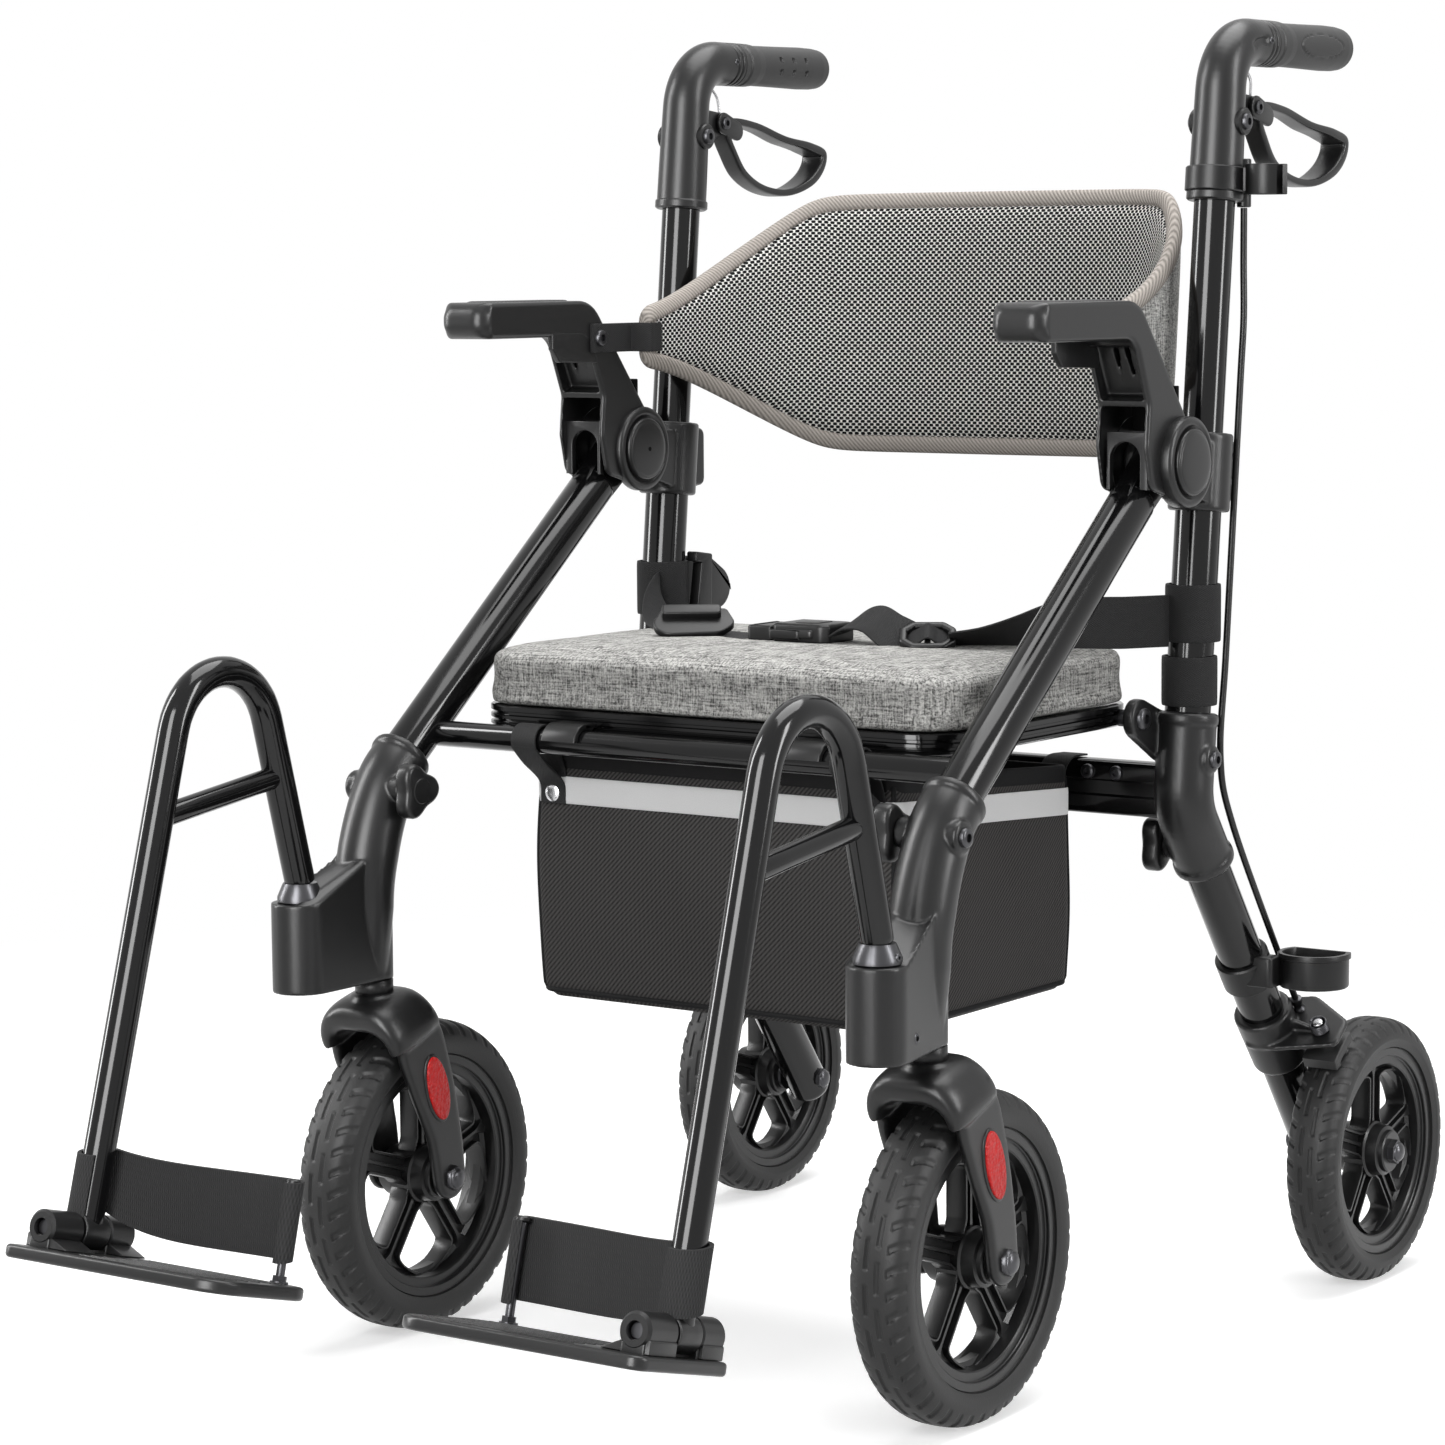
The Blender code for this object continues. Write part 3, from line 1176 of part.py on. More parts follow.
def make_cable_strap():
    low = upright(STRAP_LOW)
    high = upright(STRAP_LOW + STRAP_HEIGHT)
    return tube(low, high, TUBE_RADIUS + GAP + BELT_THICKNESS, TUBE_RADIUS + GAP)


# Arms and back

def arm_spot(back, rise):
    """A point of the armrest's side view, as shares of its reach and rise from the pivot."""
    return PIVOT_Y + (PIVOT_Y - ARM_TIP_Y) * back, PIVOT_Z + PAD_RISE * rise


def make_armrest():
    thick = PAD_DEPTH
    outline = rounded([(*arm_spot(back, rise), thick * edge) for back, rise, edge in ARM_SIDE_SHARES], 2)
    body = prism(outline, -ARM_HALF, ARM_HALF)
    sink = EAR_OUT - 2 * GAP
    hubs = [cross_rod(PIVOT, sink, HUB_OUTER, ARM_HUB_RADIUS, 16),
            cross_rod(PIVOT, -HUB_INNER, -sink, ARM_HUB_RADIUS, 16),
            cross_rod(PIVOT, HUB_OUTER - CAP_LENGTH / 4, HUB_OUTER + CAP_LENGTH, CAP_RADIUS, 16)]
    slot = prism([arm_spot(*share) for share in ARM_SLOT_SHARES], -EAR_OUT - 2 * GAP, EAR_OUT + 2 * GAP)
    half = ARM_HALF * INSET_SHARE
    inset = block((SIDE_X - half, ARM_TIP_Y + thick * 0.9, ARM_TOP - INSET_DEPTH),
                  (SIDE_X + half, arm_spot(-0.416, 1.0)[0], ARM_TOP + thick))
    bore = cross_rod(PIVOT, -2 * HUB_INNER, HUB_OUTER - RUN, PIN_RADIUS + RUN)
    return carve(fuse(body, *hubs), slot, inset, bore)


def back_point(share, height):
    """A point of the backrest's middle surface; share runs from -1 to 1 along it and height up it."""
    angle = math.pi / 2 * (1 + share)
    power = 2 / 3
    swing = math.copysign(abs(math.cos(angle)) ** power, -math.cos(angle))
    depth = max(math.sin(angle), 0.0) ** power
    grow = min(1.0, (1.0 - abs(share)) / 0.52)
    grow_low = min(1.0, (1.0 - abs(share)) / 0.60)
    top = BACK_END_Z + BACK_END_HALF + (BACK_TOP - BACK_END_Z - BACK_END_HALF) * grow
    low = BACK_END_Z - BACK_END_HALF - (BACK_END_Z - BACK_END_HALF - BACK_LOW) * grow_low
    z = (top + low) / 2 + (top - low) / 2 * height
    lean = math.tan(BACK_LEAN) * (z - BACK_END_Z) * depth
    return Vector((BACK_HALF * swing, BACK_FRONT + BACK_DEPTH * depth + lean, z))


def make_backrest():
    columns, rows = 22, 6
    small = 1e-3
    skins = ([], [])
    for column in range(columns + 1):
        share = -1 + 2 * column / columns
        lines = ([], [])
        for row in range(rows + 1):
            height = -1 + 2 * row / rows
            spot = back_point(share, height)
            along = back_point(min(share + small, 1), height) - back_point(max(share - small, -1), height)
            rise = back_point(share, height + small) - back_point(share, height - small)
            out = along.cross(rise).normalized()
            half = BACK_EDGE + BACK_PILLOW * (1 - height ** 4) * (1 - share ** 4)
            for line, sign in zip(lines, (1, -1)):
                line.append(spot + out * half * sign)
        for skin, line in zip(skins, lines):
            skin.append(line)
    pad = loft([front_line + back_line[::-1] for front_line, back_line in zip(*skins)])
    ends = []
    for side in (1, -1):
        face = side * (SIDE_X - ARM_HALF - GAP)
        inner = face - side * BELT_THICKNESS
        low = (min(face, inner), WEB_END_Y, BACK_END_Z - WEB_END_HEIGHT / 2)
        high = (max(face, inner), BACK_FRONT + 2 * BACK_EDGE, BACK_END_Z + WEB_END_HEIGHT / 2)
        screw = Vector((face, WEB_END_Y + WEB_END_HEIGHT / 2, BACK_END_Z))
        out = X_AXIS * side * BELT_THICKNESS
        ends += [block(low, high), rod(screw - out / 2, screw - out * 2.5, WEB_END_HEIGHT * 0.3, 12)]
        root = face - side * BELT_THICKNESS * 0.6
        tip = root - side * TIE_REACH
        half = WEB_END_HEIGHT * 0.45
        ends.append(block((min(root, tip), BACK_FRONT, BACK_END_Z - half),
                          (max(root, tip), BACK_FRONT + WEB_END_HEIGHT / 2, BACK_END_Z + half)))
    return fuse(pad, *ends)


# Footrests

def foot_front_y(z):
    """Where the footrest bar's long front leg stands at a height."""
    return PLATE_HINGE_Y + (z - PLATE_HINGE_Z) * math.tan(FOOT_FRONT_LEAN)


def foot_apex():
    """Where the lines of the footrest bar's two legs would meet above its round top."""
    base_y, base_z = FOOT_SOCKET_Y, FOOT_SOCKET_TOP + FOOT_COLLAR
    rear, fore = math.tan(FOOT_REAR_LEAN), math.tan(FOOT_FRONT_LEAN)
    z = (base_y + rear * base_z - PLATE_HINGE_Y + fore * PLATE_HINGE_Z) / (rear + fore)
    return Vector((FOOT_X, foot_front_y(z), z))


def make_foot_bar():
    base = Vector((FOOT_X, FOOT_SOCKET_Y, FOOT_SOCKET_TOP + FOOT_COLLAR))
    root = base - Z_AXIS * (FOOT_COLLAR - GAP)
    loop = bar([root, *bend([base, foot_apex(), PLATE_HINGE], FOOT_BEND, 6)], FOOT_BAR_RADIUS, 10)
    spigot = rod(Vector((FOOT_X, FOOT_SOCKET_Y, FOOT_SOCKET_FLOOR + GAP)), base, FOOT_PIN_RADIUS)
    collar = rod(root, base, FOOT_COLLAR_RADIUS, TUBE_SIDES, FOOT_BAR_RADIUS * 1.1)
    rear_y = FOOT_SOCKET_Y - (FOOT_CROSS_Z - base.z) * math.tan(FOOT_REAR_LEAN)
    low = FOOT_CROSS_Z - FOOT_CROSS_TILT
    cross = rod(Vector((FOOT_X, rear_y, FOOT_CROSS_Z + FOOT_CROSS_TILT)),
                Vector((FOOT_X, foot_front_y(low), low)), FOOT_CROSS_RADIUS, 10)
    half = PLATE_ALONG * KNUCKLE_HALF
    knuckle = rod(PLATE_HINGE - half, PLATE_HINGE + half, KNUCKLE_RADIUS * 1.04)
    reach = PLATE_ALONG * (KNUCKLE_REACH - KNUCKLE_HALF / 4)
    pin = rod(PLATE_HINGE - reach, PLATE_HINGE + reach, HINGE_PIN, PIN_SIDES)
    return fuse(loop, spigot, collar, cross, knuckle, pin)


def make_foot_plate():
    place = frame(PLATE_HINGE, -X_AXIS, PLATE_ALONG)
    inward = FOOT_X - PLATE_INNER_X
    outward = FOOT_X - PLATE_OUTER_X
    slab = prism(rounded([(outward, -PLATE_REAR, 0.008), (inward, -PLATE_REAR, 0.020),
                          (inward, PLATE_FRONT, 0.024), (outward, PLATE_FRONT, 0.010)], 5),
                 -PLATE_DROP - PLATE_THICKNESS, -PLATE_DROP, place)
    extras = []
    start = KNUCKLE_HALF + RUN
    for side in (1, -1):
        end = KNUCKLE_REACH if side > 0 else PLATE_REAR
        low = PLATE_HINGE + PLATE_ALONG * side * start
        high = PLATE_HINGE + PLATE_ALONG * side * end
        extras.append(rod(low, high, KNUCKLE_RADIUS))
        near, far = side * (start + GAP), side * (end - GAP)
        half = KNUCKLE_RADIUS * 0.75
        extras.append(prism([(-half, min(near, far)), (half, min(near, far)), (half, max(near, far)),
                             (-half, max(near, far))], -PLATE_DROP - PLATE_THICKNESS / 4, -half / 3, place))
    post = (FOOT_X - HEEL_ROD_X, -HEEL_ROD_BACK)
    base = PLATE_HINGE - X_AXIS * post[0] + PLATE_ALONG * post[1]
    base -= PLATE_UP * (PLATE_DROP + PLATE_THICKNESS / 2)
    extras.append(rod(base, base + PLATE_UP * HEEL_ROD_HEIGHT, HEEL_ROD_RADIUS, 10))
    plate = fuse(slab, *extras)
    reach = PLATE_ALONG * 1.5 * KNUCKLE_REACH
    bore = rod(PLATE_HINGE - reach, PLATE_HINGE + reach, HINGE_PIN + RUN, PIN_SIDES)
    return carve(plate, bore)


def make_heel_strap():
    """A strap from the footrest bar to the rod on the foot plate, hooked round both."""
    low, high = HEEL_LOW, HEEL_LOW + HEEL_HEIGHT
    rod_foot = PLATE_HINGE - X_AXIS * (FOOT_X - HEEL_ROD_X) - PLATE_ALONG * HEEL_ROD_BACK
    rod_lean = math.tan(PLATE_TILT)
    sections = []
    bar_reach = FOOT_BAR_RADIUS + 0.0012
    rod_reach = HEEL_ROD_RADIUS + 0.0012
    stops = [(True, angle) for angle in range(-120, 91, 30)]
    stops += [(False, angle) for angle in range(90, 301, 35)]
    for at_bar, angle in stops:
        out = Vector((math.cos(math.radians(angle)), math.sin(math.radians(angle)), 0))
        reach = bar_reach if at_bar else rod_reach
        corners = []
        for z, extra in ((low, 0.0), (high, 0.0), (high, HEEL_THICKNESS), (low, HEEL_THICKNESS)):
            if at_bar:
                spot = Vector((FOOT_X, foot_front_y(z), z))
            else:
                spot = Vector((HEEL_ROD_X, rod_foot.y + (z - rod_foot.z) * rod_lean, z))
            corners.append(spot + out * (reach + extra))
        sections.append(corners)
    return loft(sections)


# Cane holder and knobs

def make_cane_clip():
    centre = upright(CLIP_Z, CLIP_BACK, CLIP_OUT)
    inner = CLIP_RADIUS - CLIP_WALL
    ring = arc((0, 0), CLIP_RADIUS, -40, 220, 14) + arc((0, 0), inner, 220, -40, 12)
    turn = Matrix.Rotation(math.radians(100), 4, "Z")
    place = frame(Vector((centre.x, centre.y, CLIP_Z)), X_AXIS, Vector((0, 1, 0))) @ turn
    clip = prism(ring, -CLIP_HEIGHT / 2, CLIP_HEIGHT / 2, place)
    start = upright(CLIP_Z, 0.004, 0.004)
    towards = (Vector((centre.x, centre.y, 0)) - Vector((start.x, start.y, 0))).normalized()
    side = Z_AXIS.cross(towards)
    run = (Vector((centre.x, centre.y, CLIP_Z)) - Vector((start.x, start.y, CLIP_Z))).length - inner - 0.001
    half = CLIP_HEIGHT / 3
    arm = prism([(0.0, -half), (run, -half), (run, half), (0.0, half)], -CLIP_HEIGHT * 0.4, CLIP_HEIGHT * 0.4,
                frame(Vector((start.x, start.y, CLIP_Z)), towards, side))
    guide = upright(GUIDE_LOW, CABLE_BACK - GUIDE_IN, CABLE_OUT - GUIDE_IN)
    sleeve = rod(upright(CLIP_Z - CLIP_HEIGHT), upright(CLIP_Z + CLIP_HEIGHT), round_clear(SLEEVE_RADIUS))
    reach = Z_AXIS * CLIP_HEIGHT
    stem = rod(guide - reach, guide + Z_AXIS * GUIDE_LENGTH + reach, round_clear(GUIDE_RADIUS))
    return carve(fuse(clip, arm), sleeve, stem)


def make_cane_cup():
    centre = Vector((SIDE_X + CUP_OUT, CUP_Y, CUP_RIM))
    outline = arc((0, 0), CUP_RADIUS, 150, 390, 14)
    inner = arc((0, 0), CUP_RADIUS - CUP_WALL, 152, 388, 14)
    place = frame(centre, X_AXIS, Vector((0, 1, 0)))
    cup = carve(prism(outline, -CUP_DEPTH, 0.0, place), prism(inner, -CUP_DEPTH + CUP_WALL, 0.02, place))
    clamp = rod(leg(CUP_HOLD - CLAMP_LENGTH / 2), leg(CUP_HOLD + CLAMP_LENGTH / 2), CLAMP_RADIUS)
    low = CUP_RIM - CUP_DEPTH
    arm = block((SIDE_X + CUP_RADIUS * 0.3, CUP_Y - CUP_RADIUS * 1.3, low + CUP_WALL * 0.4),
                (centre.x - CUP_RADIUS * 0.70, CUP_Y - CUP_RADIUS * 0.54, CUP_RIM - CUP_WALL * 0.8))
    joined = fuse(clamp, arm)
    hollow = rod(leg(CUP_HOLD - 2 * CLAMP_LENGTH), leg(CUP_HOLD + 2 * CLAMP_LENGTH), TUBE_RADIUS + GAP)
    return fuse(carve(joined, hollow), cup)


def make_knob(centre, joint_radius):
    count = 18
    outline = []
    for step in range(count):
        angle = 2 * math.pi * step / count
        reach = KNOB_RADIUS + KNOB_LOBE * math.cos(3 * angle)
        outline.append((centre.y + reach * math.cos(angle), centre.z + reach * math.sin(angle)))
    face = -joint_radius - BOSS_LENGTH - GAP
    knob = prism(outline, face - KNOB_DEPTH, face)
    bore = cross_rod(centre, face - KNOB_DEPTH + BOSS_LENGTH - GAP, face + 0.01, STUD_RADIUS + RUN)
    return carve(knob, bore)


# Assembly

def build_rear_frame():
    finish_pair(make_upright(), "upright", "rear_frame", "gloss_black")
    finish_pair(make_rear_joint(), "rear_joint", "rear_frame", "charcoal_plastic")
    finish_pair(make_rear_leg(), "rear_leg", "rear_frame", "gloss_black")
    finish_part(make_rear_beam(), "rear_cross_beam", "rear_frame", "charcoal_plastic")
    finish_pair(make_bracket(), "arm_bracket", "rear_frame", "charcoal_plastic")
    finish_pair(make_brake_housing(), "brake_housing", "rear_frame", "charcoal_plastic")
    finish_pair(make_cable(), "brake_cable", "rear_frame", "rubber")
    finish_part(make_cable_strap(), "cable_strap", "rear_frame", "webbing")
    finish_part(make_cane_cup(), "cane_cup", "rear_frame", "charcoal_plastic")
    finish_part(make_bag(), "bag", "rear_frame", "bag_cloth")


def build_belts():
    right = ((0.937, 0.927, 90), (0.769, 0.806, 70), (0.625, 0.521, 25), (0.505, 0.208, 0),
             (0.361, 0.028, 0))
    left = ((0.942, 0.927, 90), (0.817, 0.778, 60), (0.745, 0.521, 15), (0.601, 0.208, 0),
            (0.385, 0.028, 0))
    finish_part(make_belt(right), "belt_right", "rear_frame", "webbing")
    base = make_belt(left)
    finish_part(mirrored(base), "belt_left", "rear_frame", "webbing")
    bpy.data.objects.remove(base)
    finish_part(make_buckle(), "belt_buckle", "rear_frame", "charcoal_plastic")


def build_front_frame():
    finish_pair(make_front_tube(), "front_tube", "front_frame", "gloss_black")
    finish_pair(make_front_joint(), "front_joint", "front_frame", "charcoal_plastic")
    finish_part(make_cross_tube(), "front_cross_tube", "front_frame", "gloss_black")
    finish_pair(make_fork(), "caster_fork", "caster", "charcoal_plastic")
    for name, place in (("front_knob", front(FRONT_KNOB_TUBE)), ("rear_knob", leg(REAR_KNOB_LEG))):
        finish_pair(make_knob(place, JOINT_RADIUS), name, name, "charcoal_plastic")


def build_wheels():
    fore = Vector((SIDE_X, 0, FRONT_RADIUS))
    rear = Vector((REAR_WHEEL_X, REAR_AXLE_Y, REAR_RADIUS))
    front_sizes = (FRONT_RADIUS, FRONT_TYRE_WIDTH, FRONT_TYRE_DEPTH)
    rear_sizes = (REAR_RADIUS, REAR_TYRE_WIDTH, REAR_TYRE_DEPTH)
    for end, sizes, hub_half, axle in (("front", front_sizes, FRONT_HUB_HALF, fore),
                                       ("rear", rear_sizes, REAR_HUB_HALF, rear)):
        body = end + "_wheel"
        finish_pair(make_wheel(*sizes, hub_half, axle), body, body, "charcoal_plastic")
        finish_pair(make_tyre(*sizes, axle), end + "_tyre", body, "rubber")


def build_handles():
    post = tube(upright(HANDLE_TUBE_LOW), upright(SLEEVE_BORE_TOP - GAP), HANDLE_TUBE_RADIUS,
                HANDLE_TUBE_RADIUS - HANDLE_TUBE_WALL)
    finish_pair(post, "handle_tube", "handle", "gloss_black")
    finish_pair(make_handle(), "handle", "handle", "charcoal_plastic")
    finish_pair(make_grip(), "grip", "handle", "rubber")
    finish_part(make_cane_clip(), "cane_clip", "handle_right", "charcoal_plastic")
    finish_pair(make_lever(), "brake_lever", "brake_lever", "charcoal_plastic")
    finish_pair(make_brake_shoe(), "brake_shoe", "brake_shoe", "rubber")


def build_seat():
    finish_part(make_seat_frame(), "seat_frame", "seat", "charcoal_plastic")
    finish_part(make_cushion(), "seat_cushion", "seat", "linen")


def build_arms():
    finish_pair(make_armrest(), "armrest", "arms", "charcoal_plastic")
    finish_part(make_backrest(), "backrest_pad", "arms", "mesh")


def build_footrests():
    finish_pair(make_foot_bar(), "footrest_bar", "footrest", "gloss_black")
    finish_pair(make_heel_strap(), "heel_strap", "footrest", "webbing")
    finish_pair(make_foot_plate(), "foot_plate", "foot_plate", "charcoal_plastic")


build_rear_frame()
build_belts()
build_front_frame()
build_wheels()
build_handles()
build_seat()
build_arms()
build_footrests()
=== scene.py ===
"""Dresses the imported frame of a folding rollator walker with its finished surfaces.

Lengths are in metres. X runs across the walker, Y from front to back and Z up. Shapes are written from
the floor under the front axles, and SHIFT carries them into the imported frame.
"""

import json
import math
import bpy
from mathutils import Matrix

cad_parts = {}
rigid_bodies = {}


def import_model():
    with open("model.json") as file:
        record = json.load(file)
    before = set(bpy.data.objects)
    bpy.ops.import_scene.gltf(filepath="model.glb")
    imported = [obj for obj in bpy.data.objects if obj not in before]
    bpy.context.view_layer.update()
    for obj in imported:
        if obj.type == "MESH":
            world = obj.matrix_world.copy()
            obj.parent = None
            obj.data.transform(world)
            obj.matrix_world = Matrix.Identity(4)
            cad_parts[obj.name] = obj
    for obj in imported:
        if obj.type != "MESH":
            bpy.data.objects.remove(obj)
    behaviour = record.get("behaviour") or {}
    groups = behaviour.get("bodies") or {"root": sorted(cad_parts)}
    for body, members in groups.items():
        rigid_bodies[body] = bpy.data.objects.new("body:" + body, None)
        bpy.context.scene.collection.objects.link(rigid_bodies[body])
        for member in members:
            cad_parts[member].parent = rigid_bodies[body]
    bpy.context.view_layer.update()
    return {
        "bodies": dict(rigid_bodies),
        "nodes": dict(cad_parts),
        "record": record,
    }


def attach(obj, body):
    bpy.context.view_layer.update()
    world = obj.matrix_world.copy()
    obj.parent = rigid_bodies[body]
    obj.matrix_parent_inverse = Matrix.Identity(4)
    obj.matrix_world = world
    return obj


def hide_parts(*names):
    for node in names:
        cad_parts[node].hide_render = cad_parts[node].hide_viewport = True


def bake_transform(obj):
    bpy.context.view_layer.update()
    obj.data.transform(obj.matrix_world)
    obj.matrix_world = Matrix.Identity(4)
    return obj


bl_info = {
    "name": "Rollator walker dresser",
    "version": (1, 0, 0),
    "blender": (4, 5, 0),
    "location": "3D View > Sidebar > Walker",
    "description": "Dresses the packed frame of a folding rollator walker",
    "category": "Object",
}

import bmesh
import bpy
import numpy as np
from bpy.props import FloatProperty, FloatVectorProperty, PointerProperty
from mathutils import Matrix

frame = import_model()
JOINTS = {joint["name"]: joint for joint in frame["record"]["behaviour"]["joints"]}
SHIFT = np.array([0.0, JOINTS["front_wheel_roll_right"]["pos_m"][1], 0.0])


def spot(joint):
    """A joint's place, measured from the floor under the front axles."""
    return np.array(JOINTS[joint]["pos_m"]) - SHIFT


# Places read from the frame
FRONT_AXLE = spot("front_wheel_roll_right")
REAR_HUB = spot("rear_wheel_roll_right")
PIVOT = spot("front_fold") + np.array([FRONT_AXLE[0], 0, 0])
CASTER = spot("caster_swivel_right")
LEVER = spot("brake_squeeze_right")
FOOT_SOCKET = spot("footrest_swing_right")
PLATE_HINGE = spot("foot_plate_flip_right")
FRONT_KNOB = spot("front_knob_turn_right")
REAR_KNOB = spot("rear_knob_turn_right")
SEAT_PIVOT = spot("seat_flip")
SIDE_X = FRONT_AXLE[0]
FRONT_RADIUS = FRONT_AXLE[2]
REAR_RADIUS = REAR_HUB[2]
LEAN = math.atan2(*JOINTS["handle_height_right"]["axis"][1:])
LEG_ALONG = np.array(JOINTS["brake_press_right"]["axis"])
LEG_BACK = np.array([0.0, -LEG_ALONG[2], LEG_ALONG[1]])
PLATE_ALONG = -np.array(JOINTS["foot_plate_flip_right"]["axis"])
PLATE_UP = np.array([0.0, PLATE_ALONG[2], -PLATE_ALONG[1]])

# Sizes that the solids share
TUBE = 0.0168
HANDLE_TUBE = 0.0149
JOINT = 0.0215
JOINT_TOP = 0.456
UPRIGHT_Y = 0.3098
BEND_Z = 0.388
BRACKET_LOW = 0.601
BRACKET_TOP = 0.658
FRONT_SOCKET = np.array([SIDE_X, -0.008, 0.4277])
SLEEVE_LOW = 0.8245
GRIP_Z = 0.940
GRIP_START = 0.4155
GRIP_END = 0.5415
SEAT_HALF = 0.208
SEAT_FRONT = 0.0275
SEAT_BACK = 0.304
SEAT_BOTTOM = 0.447
SEAT_TOP = 0.4635
CUSHION_EDGE = 0.502
CROSS = np.array([0.0, 0.018, 0.4415])
BEAM = np.array([0.0, 0.310, 0.397])
BELT_LOW = 0.507
BELT_WIDTH = 0.042
TAU = 2 * math.pi
X = np.array([1.0, 0.0, 0.0])
Y = np.array([0.0, 1.0, 0.0])
Z = np.array([0.0, 0.0, 1.0])


def upright(z, back=0.0, out=0.0):
    """A point of the leaning upright's axis at height z, moved backwards and outwards."""
    return np.array([SIDE_X + out, UPRIGHT_Y + (z - JOINT_TOP) * math.tan(LEAN) + back, z])


REAR_BEND = upright(BEND_Z)
REAR_AXLE = np.array([SIDE_X, REAR_HUB[1], REAR_HUB[2]])
LEG_LENGTH = float(np.linalg.norm(REAR_AXLE - REAR_BEND))
FRONT_LENGTH = float(np.linalg.norm(FRONT_SOCKET - PIVOT))
FRONT_ALONG = (FRONT_SOCKET - PIVOT) / FRONT_LENGTH


def leg(distance, lift=0.0, out=0.0):
    """A point of the rear leg's axis, measured down from its bend, lifted backwards and moved outwards."""
    return REAR_BEND + LEG_ALONG * distance + LEG_BACK * lift + X * out


def front(distance):
    """A point of the front tube's axis, measured down from the armrest pivot."""
    return PIVOT + FRONT_ALONG * distance


# Curves and outlines

def unit(vectors):
    return vectors / np.linalg.norm(vectors, axis=-1, keepdims=True)


def ease(value):
    """A smooth step from 0 to 1: three squares less two cubes."""
    value = np.clip(value, 0.0, 1.0)
    return value * value * (3 - 2 * value)


def circle(sides=48, radius=1.0):
    """Points of a circle at equal angles."""
    angle = np.arange(sides) * TAU / sides
    return radius * np.stack([np.cos(angle), np.sin(angle)], -1)


def oval(sides, wide, high, power=2.0):
    """A superellipse: each axis is the signed cosine or sine raised to two over the power."""
    angle = np.arange(sides) * TAU / sides
    across, up = np.cos(angle), np.sin(angle)
    bend = 2.0 / power
    return np.stack([wide * np.sign(across) * np.abs(across) ** bend,
                     high * np.sign(up) * np.abs(up) ** bend], -1)


def rounded(corners, steps=6):
    """An outline whose corners, each two places and a radius, become arcs that touch both sides."""
    corners = np.asarray(corners, float)
    here, radius = corners[:, :2], corners[:, 2]
    into = unit(np.roll(here, 1, 0) - here)
    away = unit(np.roll(here, -1, 0) - here)
    half = np.arccos(np.clip((into * away).sum(1), -1, 1)) / 2
    centre = here + unit(into + away) * (radius / np.sin(half))[:, None]
    start = here + into * (radius / np.tan(half))[:, None] - centre
    turn = -np.sign(into[:, 0] * away[:, 1] - into[:, 1] * away[:, 0]) * (math.pi - 2 * half)
    angle = turn[:, None] * np.linspace(0, 1, steps + 1)
    x = start[:, :1] * np.cos(angle) - start[:, 1:] * np.sin(angle)
    y = start[:, :1] * np.sin(angle) + start[:, 1:] * np.cos(angle)
    return (np.stack([x, y], -1) + centre[:, None]).reshape(-1, 2)


def box_outline(wide, high, radius, steps=5):
    """A rounded rectangle about the middle, from its full width and height."""
    a, b = wide / 2, high / 2
    return rounded([(-a, -b, radius), (a, -b, radius), (a, b, radius), (-a, b, radius)], steps)


def link(first, first_radius, second, second_radius, steps=10):
    """Two circles and the straight sides that touch both."""
    first, second = np.asarray(first, float), np.asarray(second, float)
    run = second - first
    heading = math.atan2(run[1], run[0])
    opening = math.acos((first_radius - second_radius) / math.hypot(*run))
    far = heading + np.linspace(-opening, opening, steps)
    near = heading + np.linspace(opening, TAU - opening, steps)
    return np.concatenate([second + second_radius * np.stack([np.cos(far), np.sin(far)], -1),
                           first + first_radius * np.stack([np.cos(near), np.sin(near)], -1)])


def spline(points, count, closed=False):
    """A Catmull-Rom curve through points, sampled evenly by its parameter."""
    points = np.asarray(points, float)
    number = len(points)
    place = np.linspace(0, number if closed else number - 1, count, endpoint=not closed)
    part = np.minimum(place.astype(int), number - 1 if closed else number - 2)
    t = (place - part)[:, None]
    if closed:
        a, b, c, d = (points[(part + k) % number] for k in (-1, 0, 1, 2))
    else:
        ends = np.vstack([2 * points[0] - points[1], points, 2 * points[-1] - points[-2]])
        a, b, c, d = (ends[part + k] for k in (0, 1, 2, 3))
    return 0.5 * (2 * b + (c - a) * t + (2 * a - 5 * b + 4 * c - d) * t ** 2
                  + (3 * b - a - 3 * c + d) * t ** 3)


def even(path, count):
    """The same path with points spaced evenly along its length."""
    length = np.concatenate([[0], np.cumsum(np.linalg.norm(np.diff(path, axis=0), axis=1))])
    place = np.linspace(0, length[-1], count)
    return np.stack([np.interp(place, length, path[:, axis]) for axis in range(path.shape[1])], -1)


def bent(points, radius, count=60):
    """A path of straight runs whose corners are arcs of one radius, spaced evenly."""
    points = np.asarray(points, float)
    here = points[1:-1]
    into, away = unit(points[:-2] - here), unit(points[2:] - here)
    half = np.arccos(np.clip((into * away).sum(1), -1, 1)) / 2
    centre = here + unit(into + away) * (radius / np.sin(half))[:, None]
    start = here + into * (radius / np.tan(half))[:, None] - centre
    turn = (math.pi - 2 * half)[:, None] * np.linspace(0, 1, 17)
    arcs = centre[:, None] + start[:, None] * np.cos(turn)[..., None] - radius * into[:, None] * np.sin(turn)[..., None]
    return even(np.vstack([points[:1], arcs.reshape(-1, 3), points[-1:]]), count)


# Forms: points, faces and cloth coordinates of one closed surface

